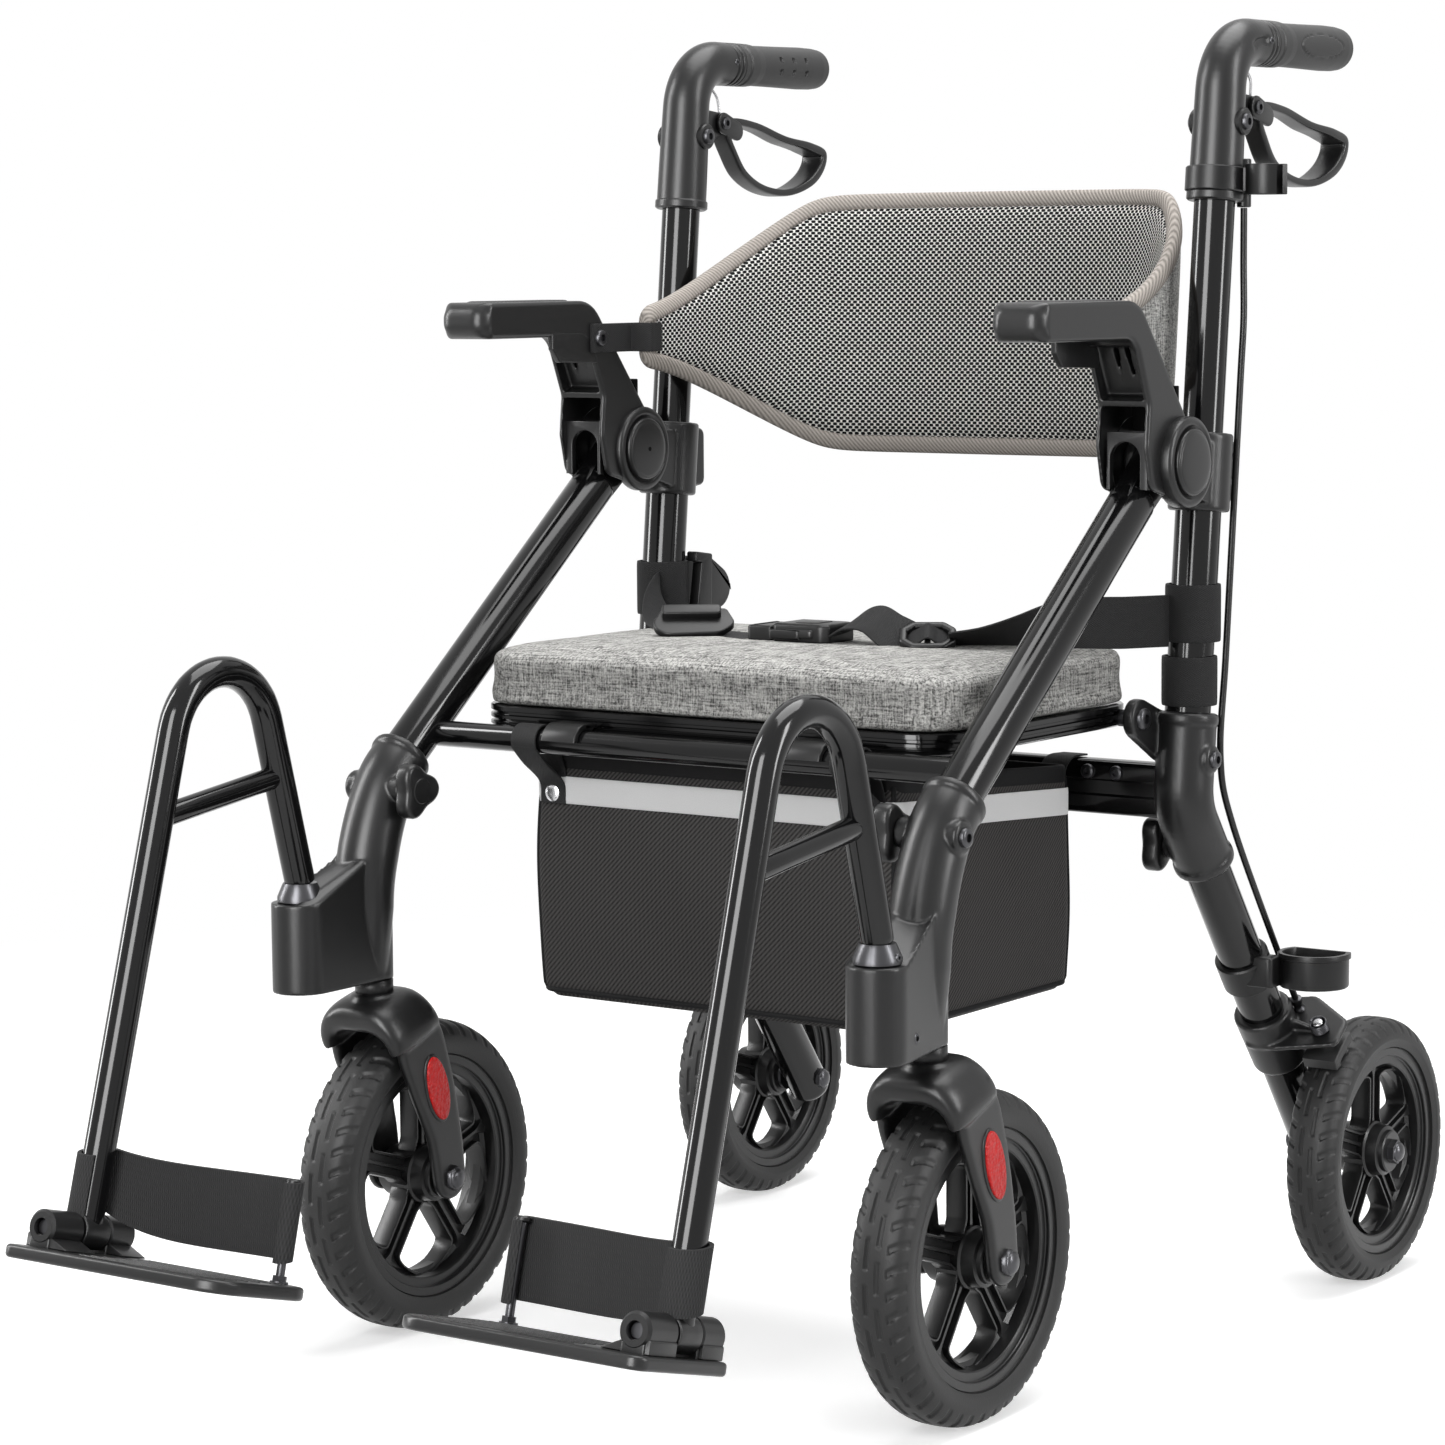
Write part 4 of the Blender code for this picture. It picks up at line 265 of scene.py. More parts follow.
def grid_form(grid, wrap_rows=False, wrap_columns=True, ends=True, cloth=None):
    """A grid of points as quads, closed round where it wraps, with a face over each open end."""
    rows, columns = grid.shape[:2]
    i = np.arange(rows if wrap_rows else rows - 1)[:, None]
    j = np.arange(columns if wrap_columns else columns - 1)[None, :]
    k, m = (i + 1) % rows, (j + 1) % columns
    quads = np.stack([i * columns + j, k * columns + j, k * columns + m, i * columns + m], -1)
    faces = quads.reshape(-1, 4).tolist()
    if ends and not wrap_rows:
        faces += [list(range(columns)), list(range((rows - 1) * columns, rows * columns))]
    return grid.reshape(-1, 3), faces, None if cloth is None else cloth.reshape(-1, 2)


def sweep(path, section, side=X, scale=1.0, closed=False, cloth=False):
    """Carries a flat section along a path.

    A row is the path's point plus the section's two coordinates times the side direction, squared to
    the path, and the direction square to both. Scale holds one or two numbers for each row. With cloth,
    the section's first point is repeated, so that cloth lengths run round it without a jump.
    """
    path = np.asarray(path, float)
    ahead = np.roll(path, -1, 0) - np.roll(path, 1, 0) if closed else np.gradient(path, axis=0)
    ahead = unit(ahead)
    side = np.broadcast_to(np.asarray(side, float), path.shape)
    side = unit(side - ahead * (side * ahead).sum(1, keepdims=True))
    rise = np.cross(side, ahead)
    section = np.asarray(section, float)
    if section.ndim == 2:
        section = np.broadcast_to(section, (len(path), *section.shape))
    scale = np.asarray(scale, float)
    if scale.ndim == 1:
        scale = scale[:, None]
    if scale.ndim == 2:
        section = section * np.broadcast_to(scale, (len(path), 2))[:, None]
    else:
        section = section * scale
    lengths = None
    if cloth:
        section = np.concatenate([section, section[:, :1]], 1)
        if closed:
            path, side, rise, section = (np.concatenate([part, part[:1]]) for part in (path, side, rise, section))
        run = np.concatenate([[0], np.cumsum(np.linalg.norm(np.diff(path, axis=0), axis=1))])
        loop = np.concatenate([[0], np.cumsum(np.linalg.norm(np.diff(section[len(path) // 2], axis=0), axis=1))])
        lengths = np.stack(np.meshgrid(run, loop, indexing="ij"), -1)
    grid = path[:, None] + section[..., :1] * side[:, None] + section[..., 1:] * rise[:, None]
    if cloth:
        return grid_form(grid, False, False, not closed, lengths)
    return grid_form(grid, closed)


def round_ends(path, radius, edge, steps=5):
    """A path and row scales for a bar with rounded rims: the rim's radius falls as a quarter circle."""
    first, last = unit(path[0] - path[1]), unit(path[-1] - path[-2])
    angle = np.linspace(0, math.pi / 2, steps)
    back = edge * (1 - np.sin(angle))
    drop = 1 - edge / radius * (1 - np.cos(angle))
    inner = path[1:-1]
    head = path[0] - first * back[::-1, None]
    tail = path[-1] - last * back[:, None]
    rows = np.vstack([head, inner, tail])
    return rows, np.concatenate([drop[::-1], np.ones(len(inner)), drop])


def rod(start, end, radius, edge=0.0008, sides=40):
    """A straight round bar with rounded rims."""
    start, end = np.asarray(start, float), np.asarray(end, float)
    path = start + (end - start) * np.array([0.0, 0.3, 0.7, 1.0])[:, None]
    rows, scale = round_ends(path, radius, edge)
    side = X if abs(unit(end - start)[0]) < 0.9 else Y
    return sweep(rows, circle(sides, radius), side, scale)


def revolve(profile, centre, axis, sides=64, closed=False):
    """Turns a profile of radius and height about an axis through a centre."""
    profile = np.asarray(profile, float)
    axis = unit(np.asarray(axis, float))
    first = unit(np.cross(axis, Y if abs(axis[1]) < 0.9 else Z))
    ring = circle(sides)
    spokes = ring[:, :1] * first + ring[:, 1:] * np.cross(axis, first)
    grid = centre + profile[:, None, :1] * spokes[None] + profile[:, None, 1:] * axis
    return grid_form(grid, closed)


def tube(start, end, radius, wall=0.0015, sides=48):
    """A hollow tube: a closed profile of its two walls and its rounded rims, turned about its axis."""
    start, end = np.asarray(start, float), np.asarray(end, float)
    length = np.linalg.norm(end - start)
    rim = wall / 3
    profile = [(radius - wall, 0), (radius - rim, 0), (radius, rim), (radius, length - rim),
               (radius - rim, length), (radius - wall, length)]
    return revolve(profile, start, end - start, sides, True)


SIDE_VIEW = (np.array([SIDE_X, 0.0, 0.0]), Y, Z)


def slab(outline, low, high, edge=0.001, place=SIDE_VIEW, steps=4):
    """A flat outline made thick, with rounded rims.

    The outline steps inwards along its own normals as a quarter circle at each rim, of one radius or of
    one for each point. Place holds an origin and the directions of the outline's two axes; its thickness
    runs along their cross product.
    """
    outline = np.asarray(outline, float)
    area = (outline[:, 0] * np.roll(outline[:, 1], -1) - np.roll(outline[:, 0], -1) * outline[:, 1]).sum()
    run = unit(np.roll(outline, -1, 0) - np.roll(outline, 1, 0) + 1e-12)
    inward = np.sign(area) * np.stack([-run[:, 1], run[:, 0]], -1)
    angle = np.linspace(0, math.pi / 2, steps)[:, None]
    edge = np.broadcast_to(edge, len(outline))
    inset = edge * np.concatenate([1 - np.sin(angle), (1 - np.sin(angle))[::-1]])
    height = np.concatenate([low + edge * (1 - np.cos(angle)), high - edge * (1 - np.cos(angle))[::-1]])
    flat = outline + inward * inset[..., None]
    origin, first, second = place
    return grid_form(origin + flat[..., :1] * first + flat[..., 1:] * second
                     + height[..., None] * np.cross(first, second))


def bolt(centre, axis, radius, height, recess=0.45):
    """A socket screw: a domed head with a sunk hexagon, turned about its axis."""
    profile = [(0, -0.001), (radius, -0.001), (radius, height * 0.55), (radius * 0.92, height * 0.85),
               (radius * 0.75, height), (radius * recess, height), (radius * recess, height * 0.3), (0, height * 0.3)]
    return revolve(profile, centre, axis, 24)


def mirror(form):
    """The left-hand copy of a form: X changes sign."""
    points, faces, cloth = form
    return points * np.array([-1.0, 1.0, 1.0]), faces, cloth


def merged(*forms):
    """Several forms as one."""
    points, faces, start = [], [], 0
    for shape, polygons, _ in forms:
        points.append(shape)
        faces += [[number + start for number in polygon] for polygon in polygons]
        start += len(shape)
    return np.vstack(points), faces, None


def raw_mesh(name, form):
    """A mesh with its doubles merged and its faces turned outwards."""
    mesh = bpy.data.meshes.new(name)
    mesh.from_pydata(form[0].tolist(), [], form[1])
    shape = bmesh.new()
    shape.from_mesh(mesh)
    bmesh.ops.remove_doubles(shape, verts=shape.verts, dist=1e-6)
    bmesh.ops.recalc_face_normals(shape, faces=shape.faces)
    shape.to_mesh(mesh)
    shape.free()
    return mesh


def moulded(forms, voxel, rounds, cuts=()):
    """Overlapping forms run together as one moulding, less the cuts: a voxel skin of the rest, smoothed by rounds."""
    holder, *tools = [bpy.data.objects.new("moulding", raw_mesh("moulding", form)) for form in (merged(*forms), *cuts)]
    bpy.context.scene.collection.objects.link(holder)
    for tool in tools:
        bpy.context.scene.collection.objects.link(tool)
        taken = holder.modifiers.new("taken", "BOOLEAN")
        taken.operation, taken.solver, taken.object = "DIFFERENCE", "EXACT", tool
    skin = holder.modifiers.new("skin", "REMESH")
    skin.mode = "VOXEL"
    skin.voxel_size = voxel
    ease_out = holder.modifiers.new("ease", "SMOOTH")
    ease_out.factor = 0.5
    ease_out.iterations = rounds
    bpy.context.view_layer.update()
    mesh = bpy.data.meshes.new_from_object(holder.evaluated_get(bpy.context.evaluated_depsgraph_get()))
    points = np.empty(len(mesh.vertices) * 3)
    mesh.vertices.foreach_get("co", points)
    faces = [list(polygon.vertices) for polygon in mesh.polygons]
    for used in (holder, *tools):
        bpy.data.objects.remove(used)
    bpy.data.meshes.remove(mesh)
    return points.reshape(-1, 3), faces, None


def piece(name, body, parts, nodes=(), angle=35.0):
    """One finished object: forms with their finishes, riding on a body and standing for CAD nodes.
    """
    name += "_skin"
    mesh = bpy.data.meshes.new(name)
    points = np.vstack([form[0] for form, _ in parts]) + SHIFT
    faces, slots, lengths, start = [], [], [], 0
    finishes = []
    for form, look in parts:
        if look not in finishes:
            finishes.append(look)
        faces += [[number + start for number in polygon] for polygon in form[1]]
        slots += [finishes.index(look)] * len(form[1])
        lengths.append(np.zeros((len(form[0]), 2)) if form[2] is None else form[2])
        start += len(form[0])
    mesh.from_pydata(points.tolist(), [], faces)
    mesh.polygons.foreach_set("material_index", slots)
    if any(form[2] is not None for form, _ in parts):
        corners = np.empty(len(mesh.loops), int)
        mesh.loops.foreach_get("vertex_index", corners)
        layer = mesh.uv_layers.new(name="cloth")
        layer.uv.foreach_set("vector", np.vstack(lengths)[corners].ravel())
    shape = bmesh.new()
    shape.from_mesh(mesh)
    bmesh.ops.remove_doubles(shape, verts=shape.verts, dist=1e-6)
    bmesh.ops.dissolve_degenerate(shape, edges=shape.edges, dist=1e-7)
    bmesh.ops.recalc_face_normals(shape, faces=shape.faces)
    shape.to_mesh(mesh)
    shape.free()
    for look in finishes:
        mesh.materials.append(finish(look))
    mesh.shade_smooth()
    mesh.set_sharp_from_angle(angle=math.radians(angle))
    made = bpy.data.objects.new(name, mesh)
    bpy.context.scene.collection.objects.link(made)
    if body:
        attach(made, body)
    if nodes:
        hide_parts(*nodes)
    return made


def pair(name, body, parts, nodes=(), angle=35.0):
    """A right-hand piece and its left-hand copy; a body or node takes its side's ending where it has one."""
    made = []
    for side in ("right", "left"):
        forms = [(form if side == "right" else mirror(form), look) for form, look in parts]
        own = body if body is None or body in frame["bodies"] else body + "_" + side
        made.append(piece(name + "_" + side, own, forms, [node + "_" + side for node in nodes], angle))
    return made


# Finishes

def node(tree, kind, values=None, **settings):
    """A shader node with its settings, and each input set to a number or linked to a socket."""
    made = tree.nodes.new(kind)
    for key, value in settings.items():
        setattr(made, key, value)
    for key, value in (values or {}).items():
        if isinstance(value, bpy.types.NodeSocket):
            tree.links.new(value, made.inputs[key])
        else:
            made.inputs[key].default_value = value
    return made


def sums(tree, operation, *values):
    """One step of arithmetic on sockets and numbers."""
    return node(tree, "ShaderNodeMath", dict(enumerate(values)), operation=operation).outputs[0]


def new_group(name, inputs, outputs):
    """A shader node group with its named sockets: the tree, its input node and its output node."""
    tree = bpy.data.node_groups.new(name, "ShaderNodeTree")
    for label, kind, default in inputs:
        socket = tree.interface.new_socket(label, in_out="INPUT", socket_type="NodeSocket" + kind)
        if default is not None:
            socket.default_value = default
    for label, kind in outputs:
        tree.interface.new_socket(label, in_out="OUTPUT", socket_type="NodeSocket" + kind)
    return tree, tree.nodes.new("NodeGroupInput"), tree.nodes.new("NodeGroupOutput")


def grain_group():
    """Moulded grain: a fine noise for the bump, and a broad one that drifts the colour and the shine."""
    tree, source, result = new_group(
        "Moulded grain",
        [("Place", "Vector", None), ("Grain", "Float", 900.0), ("Drift", "Float", 9.0), ("Spread", "Float", 0.1),
         ("Colour", "Color", (0.5, 0.5, 0.5, 1))],
        [("Colour", "Color"), ("Height", "Float"), ("Shine", "Float")])
    fine = node(tree, "ShaderNodeTexNoise", {"Vector": source.outputs["Place"], "Scale": source.outputs["Grain"],
                                              "Detail": 2.0})
    broad = node(tree, "ShaderNodeTexNoise", {"Vector": source.outputs["Place"], "Scale": source.outputs["Drift"],
                                               "Detail": 5.0, "Roughness": 0.65})
    swing = sums(tree, "SUBTRACT", broad.outputs["Fac"], 0.5)
    level = sums(tree, "MULTIPLY_ADD", swing, sums(tree, "MULTIPLY", source.outputs["Spread"], 2.0), 1.0)
    shade = node(tree, "ShaderNodeVectorMath", {0: source.outputs["Colour"], "Scale": level}, operation="SCALE")
    tree.links.new(shade.outputs[0], result.inputs["Colour"])
    tree.links.new(fine.outputs["Fac"], result.inputs["Height"])
    tree.links.new(sums(tree, "MULTIPLY_ADD", swing, 0.5, 0.5), result.inputs["Shine"])
    return tree


def weave_group():
    """Woven threads: two crossed waves along the cloth's own lengths, with a noise that breaks them up.

    Twill fades the second wave out, so that the first one's slanting ribs are left. The colour is darkened towards the
    gaps between the threads: painted shade, by an amount set on the group."""
    tree, source, result = new_group(
        "Woven threads",
        [("Cloth", "Vector", None), ("Along", "Float", 0.0012), ("Across", "Float", 0.0012),
         ("Slant", "Float", 0.0), ("Twill", "Float", 0.0), ("Colour", "Color", (0.1, 0.1, 0.1, 1)),
         ("Depth", "Float", 0.5)],
        [("Colour", "Color"), ("Height", "Float")])
    parts = node(tree, "ShaderNodeSeparateXYZ", {0: source.outputs["Cloth"]})
    slanted = sums(tree, "MULTIPLY_ADD", parts.outputs[1], source.outputs["Slant"], parts.outputs[0])
    first = sums(tree, "SINE", sums(tree, "MULTIPLY", sums(tree, "DIVIDE", slanted, source.outputs["Along"]), TAU))
    second = sums(tree, "SINE", sums(tree, "MULTIPLY", sums(tree, "DIVIDE", parts.outputs[1],
                                                            source.outputs["Across"]), TAU))
    ribbed = sums(tree, "MULTIPLY_ADD", sums(tree, "SUBTRACT", second, 1.0),
                  sums(tree, "SUBTRACT", 1.0, source.outputs["Twill"]), 1.0)
    cross = sums(tree, "MULTIPLY_ADD", sums(tree, "MULTIPLY", first, ribbed), 0.5, 0.5)
    hairs = node(tree, "ShaderNodeTexNoise", {"Vector": source.outputs["Cloth"], "Scale": 1500.0, "Detail": 2.0})
    height = sums(tree, "MULTIPLY_ADD", hairs.outputs["Fac"], 0.5, cross)
    # Painted shade: the colour darkens where the weave sinks, between the threads.
    level = sums(tree, "MULTIPLY_ADD", sums(tree, "SUBTRACT", height, 0.75), source.outputs["Depth"], 1.0)
    shade = node(tree, "ShaderNodeVectorMath", {0: source.outputs["Colour"], "Scale": level}, operation="SCALE")
    tree.links.new(shade.outputs[0], result.inputs["Colour"])
    tree.links.new(height, result.inputs["Height"])
    return tree


def heather_group():
    """Heather linen: three noises drawn out along X, Y and Z stand for threads of several greys."""
    tree, source, result = new_group(
        "Heather threads",
        [("Place", "Vector", None), ("Dark", "Color", (0.1, 0.1, 0.1, 1)), ("Light", "Color", (0.3, 0.3, 0.3, 1))],
        [("Colour", "Color"), ("Height", "Float")])
    total = None
    for stretch in ((50, 700, 700), (700, 50, 700), (700, 700, 50)):
        drawn = node(tree, "ShaderNodeVectorMath", {0: source.outputs["Place"], 1: stretch}, operation="MULTIPLY")
        thread = node(tree, "ShaderNodeTexNoise", {"Vector": drawn.outputs[0], "Scale": 1.0, "Detail": 2.0,
                                                   "Roughness": 0.6})
        total = thread.outputs["Fac"] if total is None else sums(tree, "ADD", total, thread.outputs["Fac"])
    spread = node(tree, "ShaderNodeMapRange", {"Value": total, "From Min": 1.2, "From Max": 1.8})
    blend = node(tree, "ShaderNodeMix", {"Factor": spread.outputs["Result"], "A": source.outputs["Dark"],
                                         "B": source.outputs["Light"]}, data_type="RGBA")
    for key in ("A", "B"):
        tree.links.new(source.outputs["Dark" if key == "A" else "Light"],
                       [s for s in blend.inputs if s.name == key and s.type == "RGBA"][0])
    tree.links.new([s for s in blend.outputs if s.type == "RGBA"][0], result.inputs["Colour"])
    tree.links.new(total, result.inputs["Height"])
    return tree


def holes_group():
    """Spacer mesh: rows of nearly diamond holes on the cloth's own lengths, every second row set over by half.

    A hole's edge is where the one and a half powers of the distances across and up sum to its size's. The holes take a
    near-black colour: painted shade for the shade inside them.
    """
    tree, source, result = new_group(
        "Spacer mesh",
        [("Cloth", "Vector", None), ("Pitch", "Float", 0.0053), ("Rows", "Float", 0.43), ("Hole", "Float", 0.355),
         ("Colour", "Color", (0.4, 0.4, 0.4, 1)), ("Hole shade", "Color", (0.006, 0.006, 0.006, 1))],
        [("Colour", "Color"), ("Height", "Float")])
    parts = node(tree, "ShaderNodeSeparateXYZ", {0: source.outputs["Cloth"]})
    across = sums(tree, "DIVIDE", parts.outputs[0], source.outputs["Pitch"])
    up = sums(tree, "DIVIDE", parts.outputs[1], sums(tree, "MULTIPLY", source.outputs["Pitch"],
                                                          source.outputs["Rows"]))
    odd = sums(tree, "MULTIPLY", sums(tree, "FLOORED_MODULO", sums(tree, "FLOOR", up), 2.0), 0.5)
    x = sums(tree, "SUBTRACT", sums(tree, "FRACT", sums(tree, "ADD", across, odd)), 0.5)
    y = sums(tree, "MULTIPLY", sums(tree, "SUBTRACT", sums(tree, "FRACT", up), 0.5), source.outputs["Rows"])
    powers = [sums(tree, "POWER", sums(tree, "ABSOLUTE", part), 1.5) for part in (x, y)]
    far = sums(tree, "POWER", sums(tree, "ADD", *powers), 1 / 1.5)
    edge = sums(tree, "SUBTRACT", far, source.outputs["Hole"])
    thread = node(tree, "ShaderNodeMapRange", {"Value": edge, "From Min": -0.03, "From Max": 0.03})
    hairs = node(tree, "ShaderNodeTexNoise", {"Vector": source.outputs["Cloth"], "Scale": 2200.0, "Detail": 1.0})
    level = sums(tree, "MULTIPLY_ADD", hairs.outputs["Fac"], 0.5, 0.75)
    shade = node(tree, "ShaderNodeVectorMath", {0: source.outputs["Colour"], "Scale": level}, operation="SCALE")
    blend = node(tree, "ShaderNodeMix", {"Factor": thread.outputs["Result"]}, data_type="RGBA")
    colours = [s for s in blend.inputs if s.type == "RGBA"]
    # Painted shade: the holes are drawn in the near-black colour that stands for the shade inside them.
    tree.links.new(source.outputs["Hole shade"], colours[0])
    tree.links.new(shade.outputs[0], colours[1])
    tree.links.new([s for s in blend.outputs if s.type == "RGBA"][0], result.inputs["Colour"])
    tree.links.new(thread.outputs["Result"], result.inputs["Height"])
    return tree


GROUPS = {"grain": grain_group, "weave": weave_group, "heather": heather_group, "holes": holes_group}

# Each finish: the group that draws it, its inputs, roughness, metal, coat, bump distance
FINISHES = {
    "gloss_black": ("grain", {"Grain": 300.0, "Spread": 0.10}, 0.12, 0.0, 0.0, 0.0),
    "gunmetal": ("grain", {"Grain": 700.0, "Spread": 0.06}, 0.12, 0.0, 0.0, 0.0),
    "charcoal": ("grain", {"Grain": 1500.0, "Spread": 0.08}, 0.33, 0.0, 0.0, 0.00004),
    "black_plastic": ("grain", {"Grain": 1500.0, "Spread": 0.10}, 0.36, 0.0, 0.0, 0.00004),
    "rubber": ("grain", {"Grain": 1100.0, "Spread": 0.10}, 0.50, 0.0, 0.0, 0.00008),
    "tyre": ("grain", {"Grain": 700.0, "Spread": 0.12}, 0.52, 0.0, 0.0, 0.00010),
    "cable": ("grain", {"Grain": 600.0, "Spread": 0.10}, 0.35, 0.0, 0.0, 0.0),
    "steel": ("grain", {"Grain": 900.0, "Spread": 0.10}, 0.24, 1.0, 0.0, 0.0),
    "dark_steel": ("grain", {"Grain": 900.0, "Spread": 0.10}, 0.32, 0.9, 0.0, 0.0),
    # Painted shade: the next finish is a near-black, dull colour put on slots, holes and closed boxes to stand for the
    # shade inside them.
    "hollow": ("grain", {"Grain": 300.0, "Spread": 0.0}, 0.8, 0.0, 0.0, 0.0),
    "red": ("grain", {"Grain": 400.0, "Spread": 0.15}, 0.40, 0.0, 0.0, 0.0),
    "light_tape": ("weave", {"Along": 0.0010, "Across": 0.0010, "Depth": 0.25}, 0.5, 0.0, 0.0, 0.00006),
    "webbing": ("weave", {"Along": 0.0024, "Across": 0.0014, "Depth": 0.7}, 0.62, 0.0, 0.0, 0.00030),
    "strap": ("weave", {"Along": 0.0016, "Across": 0.0070, "Depth": 0.8}, 0.7, 0.0, 0.0, 0.00030),
    "binding": ("weave", {"Along": 0.0016, "Across": 0.0016, "Depth": 0.6}, 0.7, 0.0, 0.0, 0.00020),
    "border": ("weave", {"Along": 0.0036, "Across": 0.0036, "Slant": 1.0, "Twill": 0.8, "Depth": 0.8}, 0.85, 0.0, 0.0, 0.00025),
    "bag_cloth": ("weave", {"Along": 0.0038, "Across": 0.0038, "Slant": -1.0, "Twill": 0.8, "Depth": 1.6}, 0.7, 0.0, 0.0, 0.00018),
    "linen": ("heather", {}, 0.9, 0.0, 0.0, 0.00030),
    "back_linen": ("heather", {}, 0.9, 0.0, 0.0, 0.00030),
    "spacer_mesh": ("holes", {}, 0.85, 0.0, 0.0, 0.0012),
}


# How strongly a finish mirrors its surroundings, where that is less than usual for its kind
SHEEN = {"gloss_black": 0.30, "gunmetal": 0.30, "charcoal": 0.32, "black_plastic": 0.26, "rubber": 0.40, "tyre": 0.34,
         "cable": 0.30, "hollow": 0.05, "red": 0.30}


def group_of(kind):
    """The shader node group of a kind, made once."""
    label = {"grain": "Moulded grain", "weave": "Woven threads", "heather": "Heather threads",
             "holes": "Spacer mesh"}[kind]
    return bpy.data.node_groups.get(label) or GROUPS[kind]()


def finish(look):
    """The material of a finish, made once from its colours in the scene's settings."""
    label = "walker " + look.replace("_", " ")
    made = bpy.data.materials.get(label)
    if made:
        return made
    made = bpy.data.materials.new(label)
    made.use_nodes = True
    tree = made.node_tree
    tree.nodes.clear()
    kind, inputs, roughness, metal, coat, bump = FINISHES[look]
    looks = bpy.context.scene.walker_looks
    shader = node(tree, "ShaderNodeBsdfPrincipled", {"Roughness": roughness, "Metallic": metal, "Coat Weight": coat,
                                                     "Coat Roughness": 0.12,
                                                     "Specular IOR Level": SHEEN.get(look, 0.5 if kind == "grain" else 0.1)})
    result = node(tree, "ShaderNodeOutputMaterial", {"Surface": shader.outputs[0]})
    place = node(tree, "ShaderNodeTexCoord")
    drawn = node(tree, "ShaderNodeGroup", node_tree=group_of(kind))
    for key, value in inputs.items():
        drawn.inputs[key].default_value = value
    if kind in ("grain", "heather"):
        tree.links.new(place.outputs["Object"], drawn.inputs["Place"])
    else:
        tree.links.new(place.outputs["UV"], drawn.inputs["Cloth"])
    colour = (*getattr(looks, look), 1.0)
    if kind == "heather":
        drawn.inputs["Dark"].default_value = tuple(0.22 * part for part in colour[:3]) + (1.0,)
        drawn.inputs["Light"].default_value = tuple(1.85 * part for part in colour[:3]) + (1.0,)
    else:
        drawn.inputs["Colour"].default_value = colour
    tree.links.new(drawn.outputs["Colour"], shader.inputs["Base Color"])
    if kind == "grain" and roughness < 0.5 and metal == 0:
        spread = node(tree, "ShaderNodeMapRange", {"Value": drawn.outputs["Shine"], "To Min": roughness * 0.85,
                                                   "To Max": roughness * 1.15})
        tree.links.new(spread.outputs["Result"], shader.inputs["Roughness"])
    if look == "red":
        cells = node(tree, "ShaderNodeTexVoronoi", {"Vector": place.outputs["Object"], "Scale": 320.0},
                     feature="F1", distance="MANHATTAN")
        facets = node(tree, "ShaderNodeBump", {"Height": cells.outputs["Distance"], "Distance": 0.0006})
        tree.links.new(facets.outputs[0], shader.inputs["Normal"])
    if bump:
        raised = node(tree, "ShaderNodeBump", {"Height": drawn.outputs["Height"], "Distance": bump})
        tree.links.new(raised.outputs[0], shader.inputs["Normal"])
    result.location = (400, 0)
    return made


# The frame's forms

def nut(centre, axis, radius, height):
    """A domed cap nut: a hexagon and a turned dome on one axis."""
    hexagon = [(0, -0.001), (radius, -0.001), (radius, height * 0.5), (radius * 0.92, height * 0.58), (0, height * 0.58)]
    turn = np.linspace(0, math.pi / 2, 8)
    dome = [(0, height * 0.4), (radius * 0.8, height * 0.4)]
    dome += [(radius * 0.8 * math.cos(a), height * (0.55 + 0.45 * math.sin(a))) for a in turn]
    return merged(revolve(hexagon, centre, axis, 6), revolve(dome, centre, axis, 24))


def stack(profile, start, axis, sides=48):
    """A turned solid whose profile holds radius and distance along an axis, closed on the axis at both ends."""
    profile = [(0.0, profile[0][1]), *profile, (0.0, profile[-1][1])]
    return revolve(profile, start, axis, sides)


def ribbon(path, across, width, thickness, cloth=True):
    """A flat strap along a path: a thin rounded bar whose wide side lies along the across direction."""
    return sweep(path, oval(28, width / 2, thickness / 2, 8.0), across, 1.0, cloth=cloth)


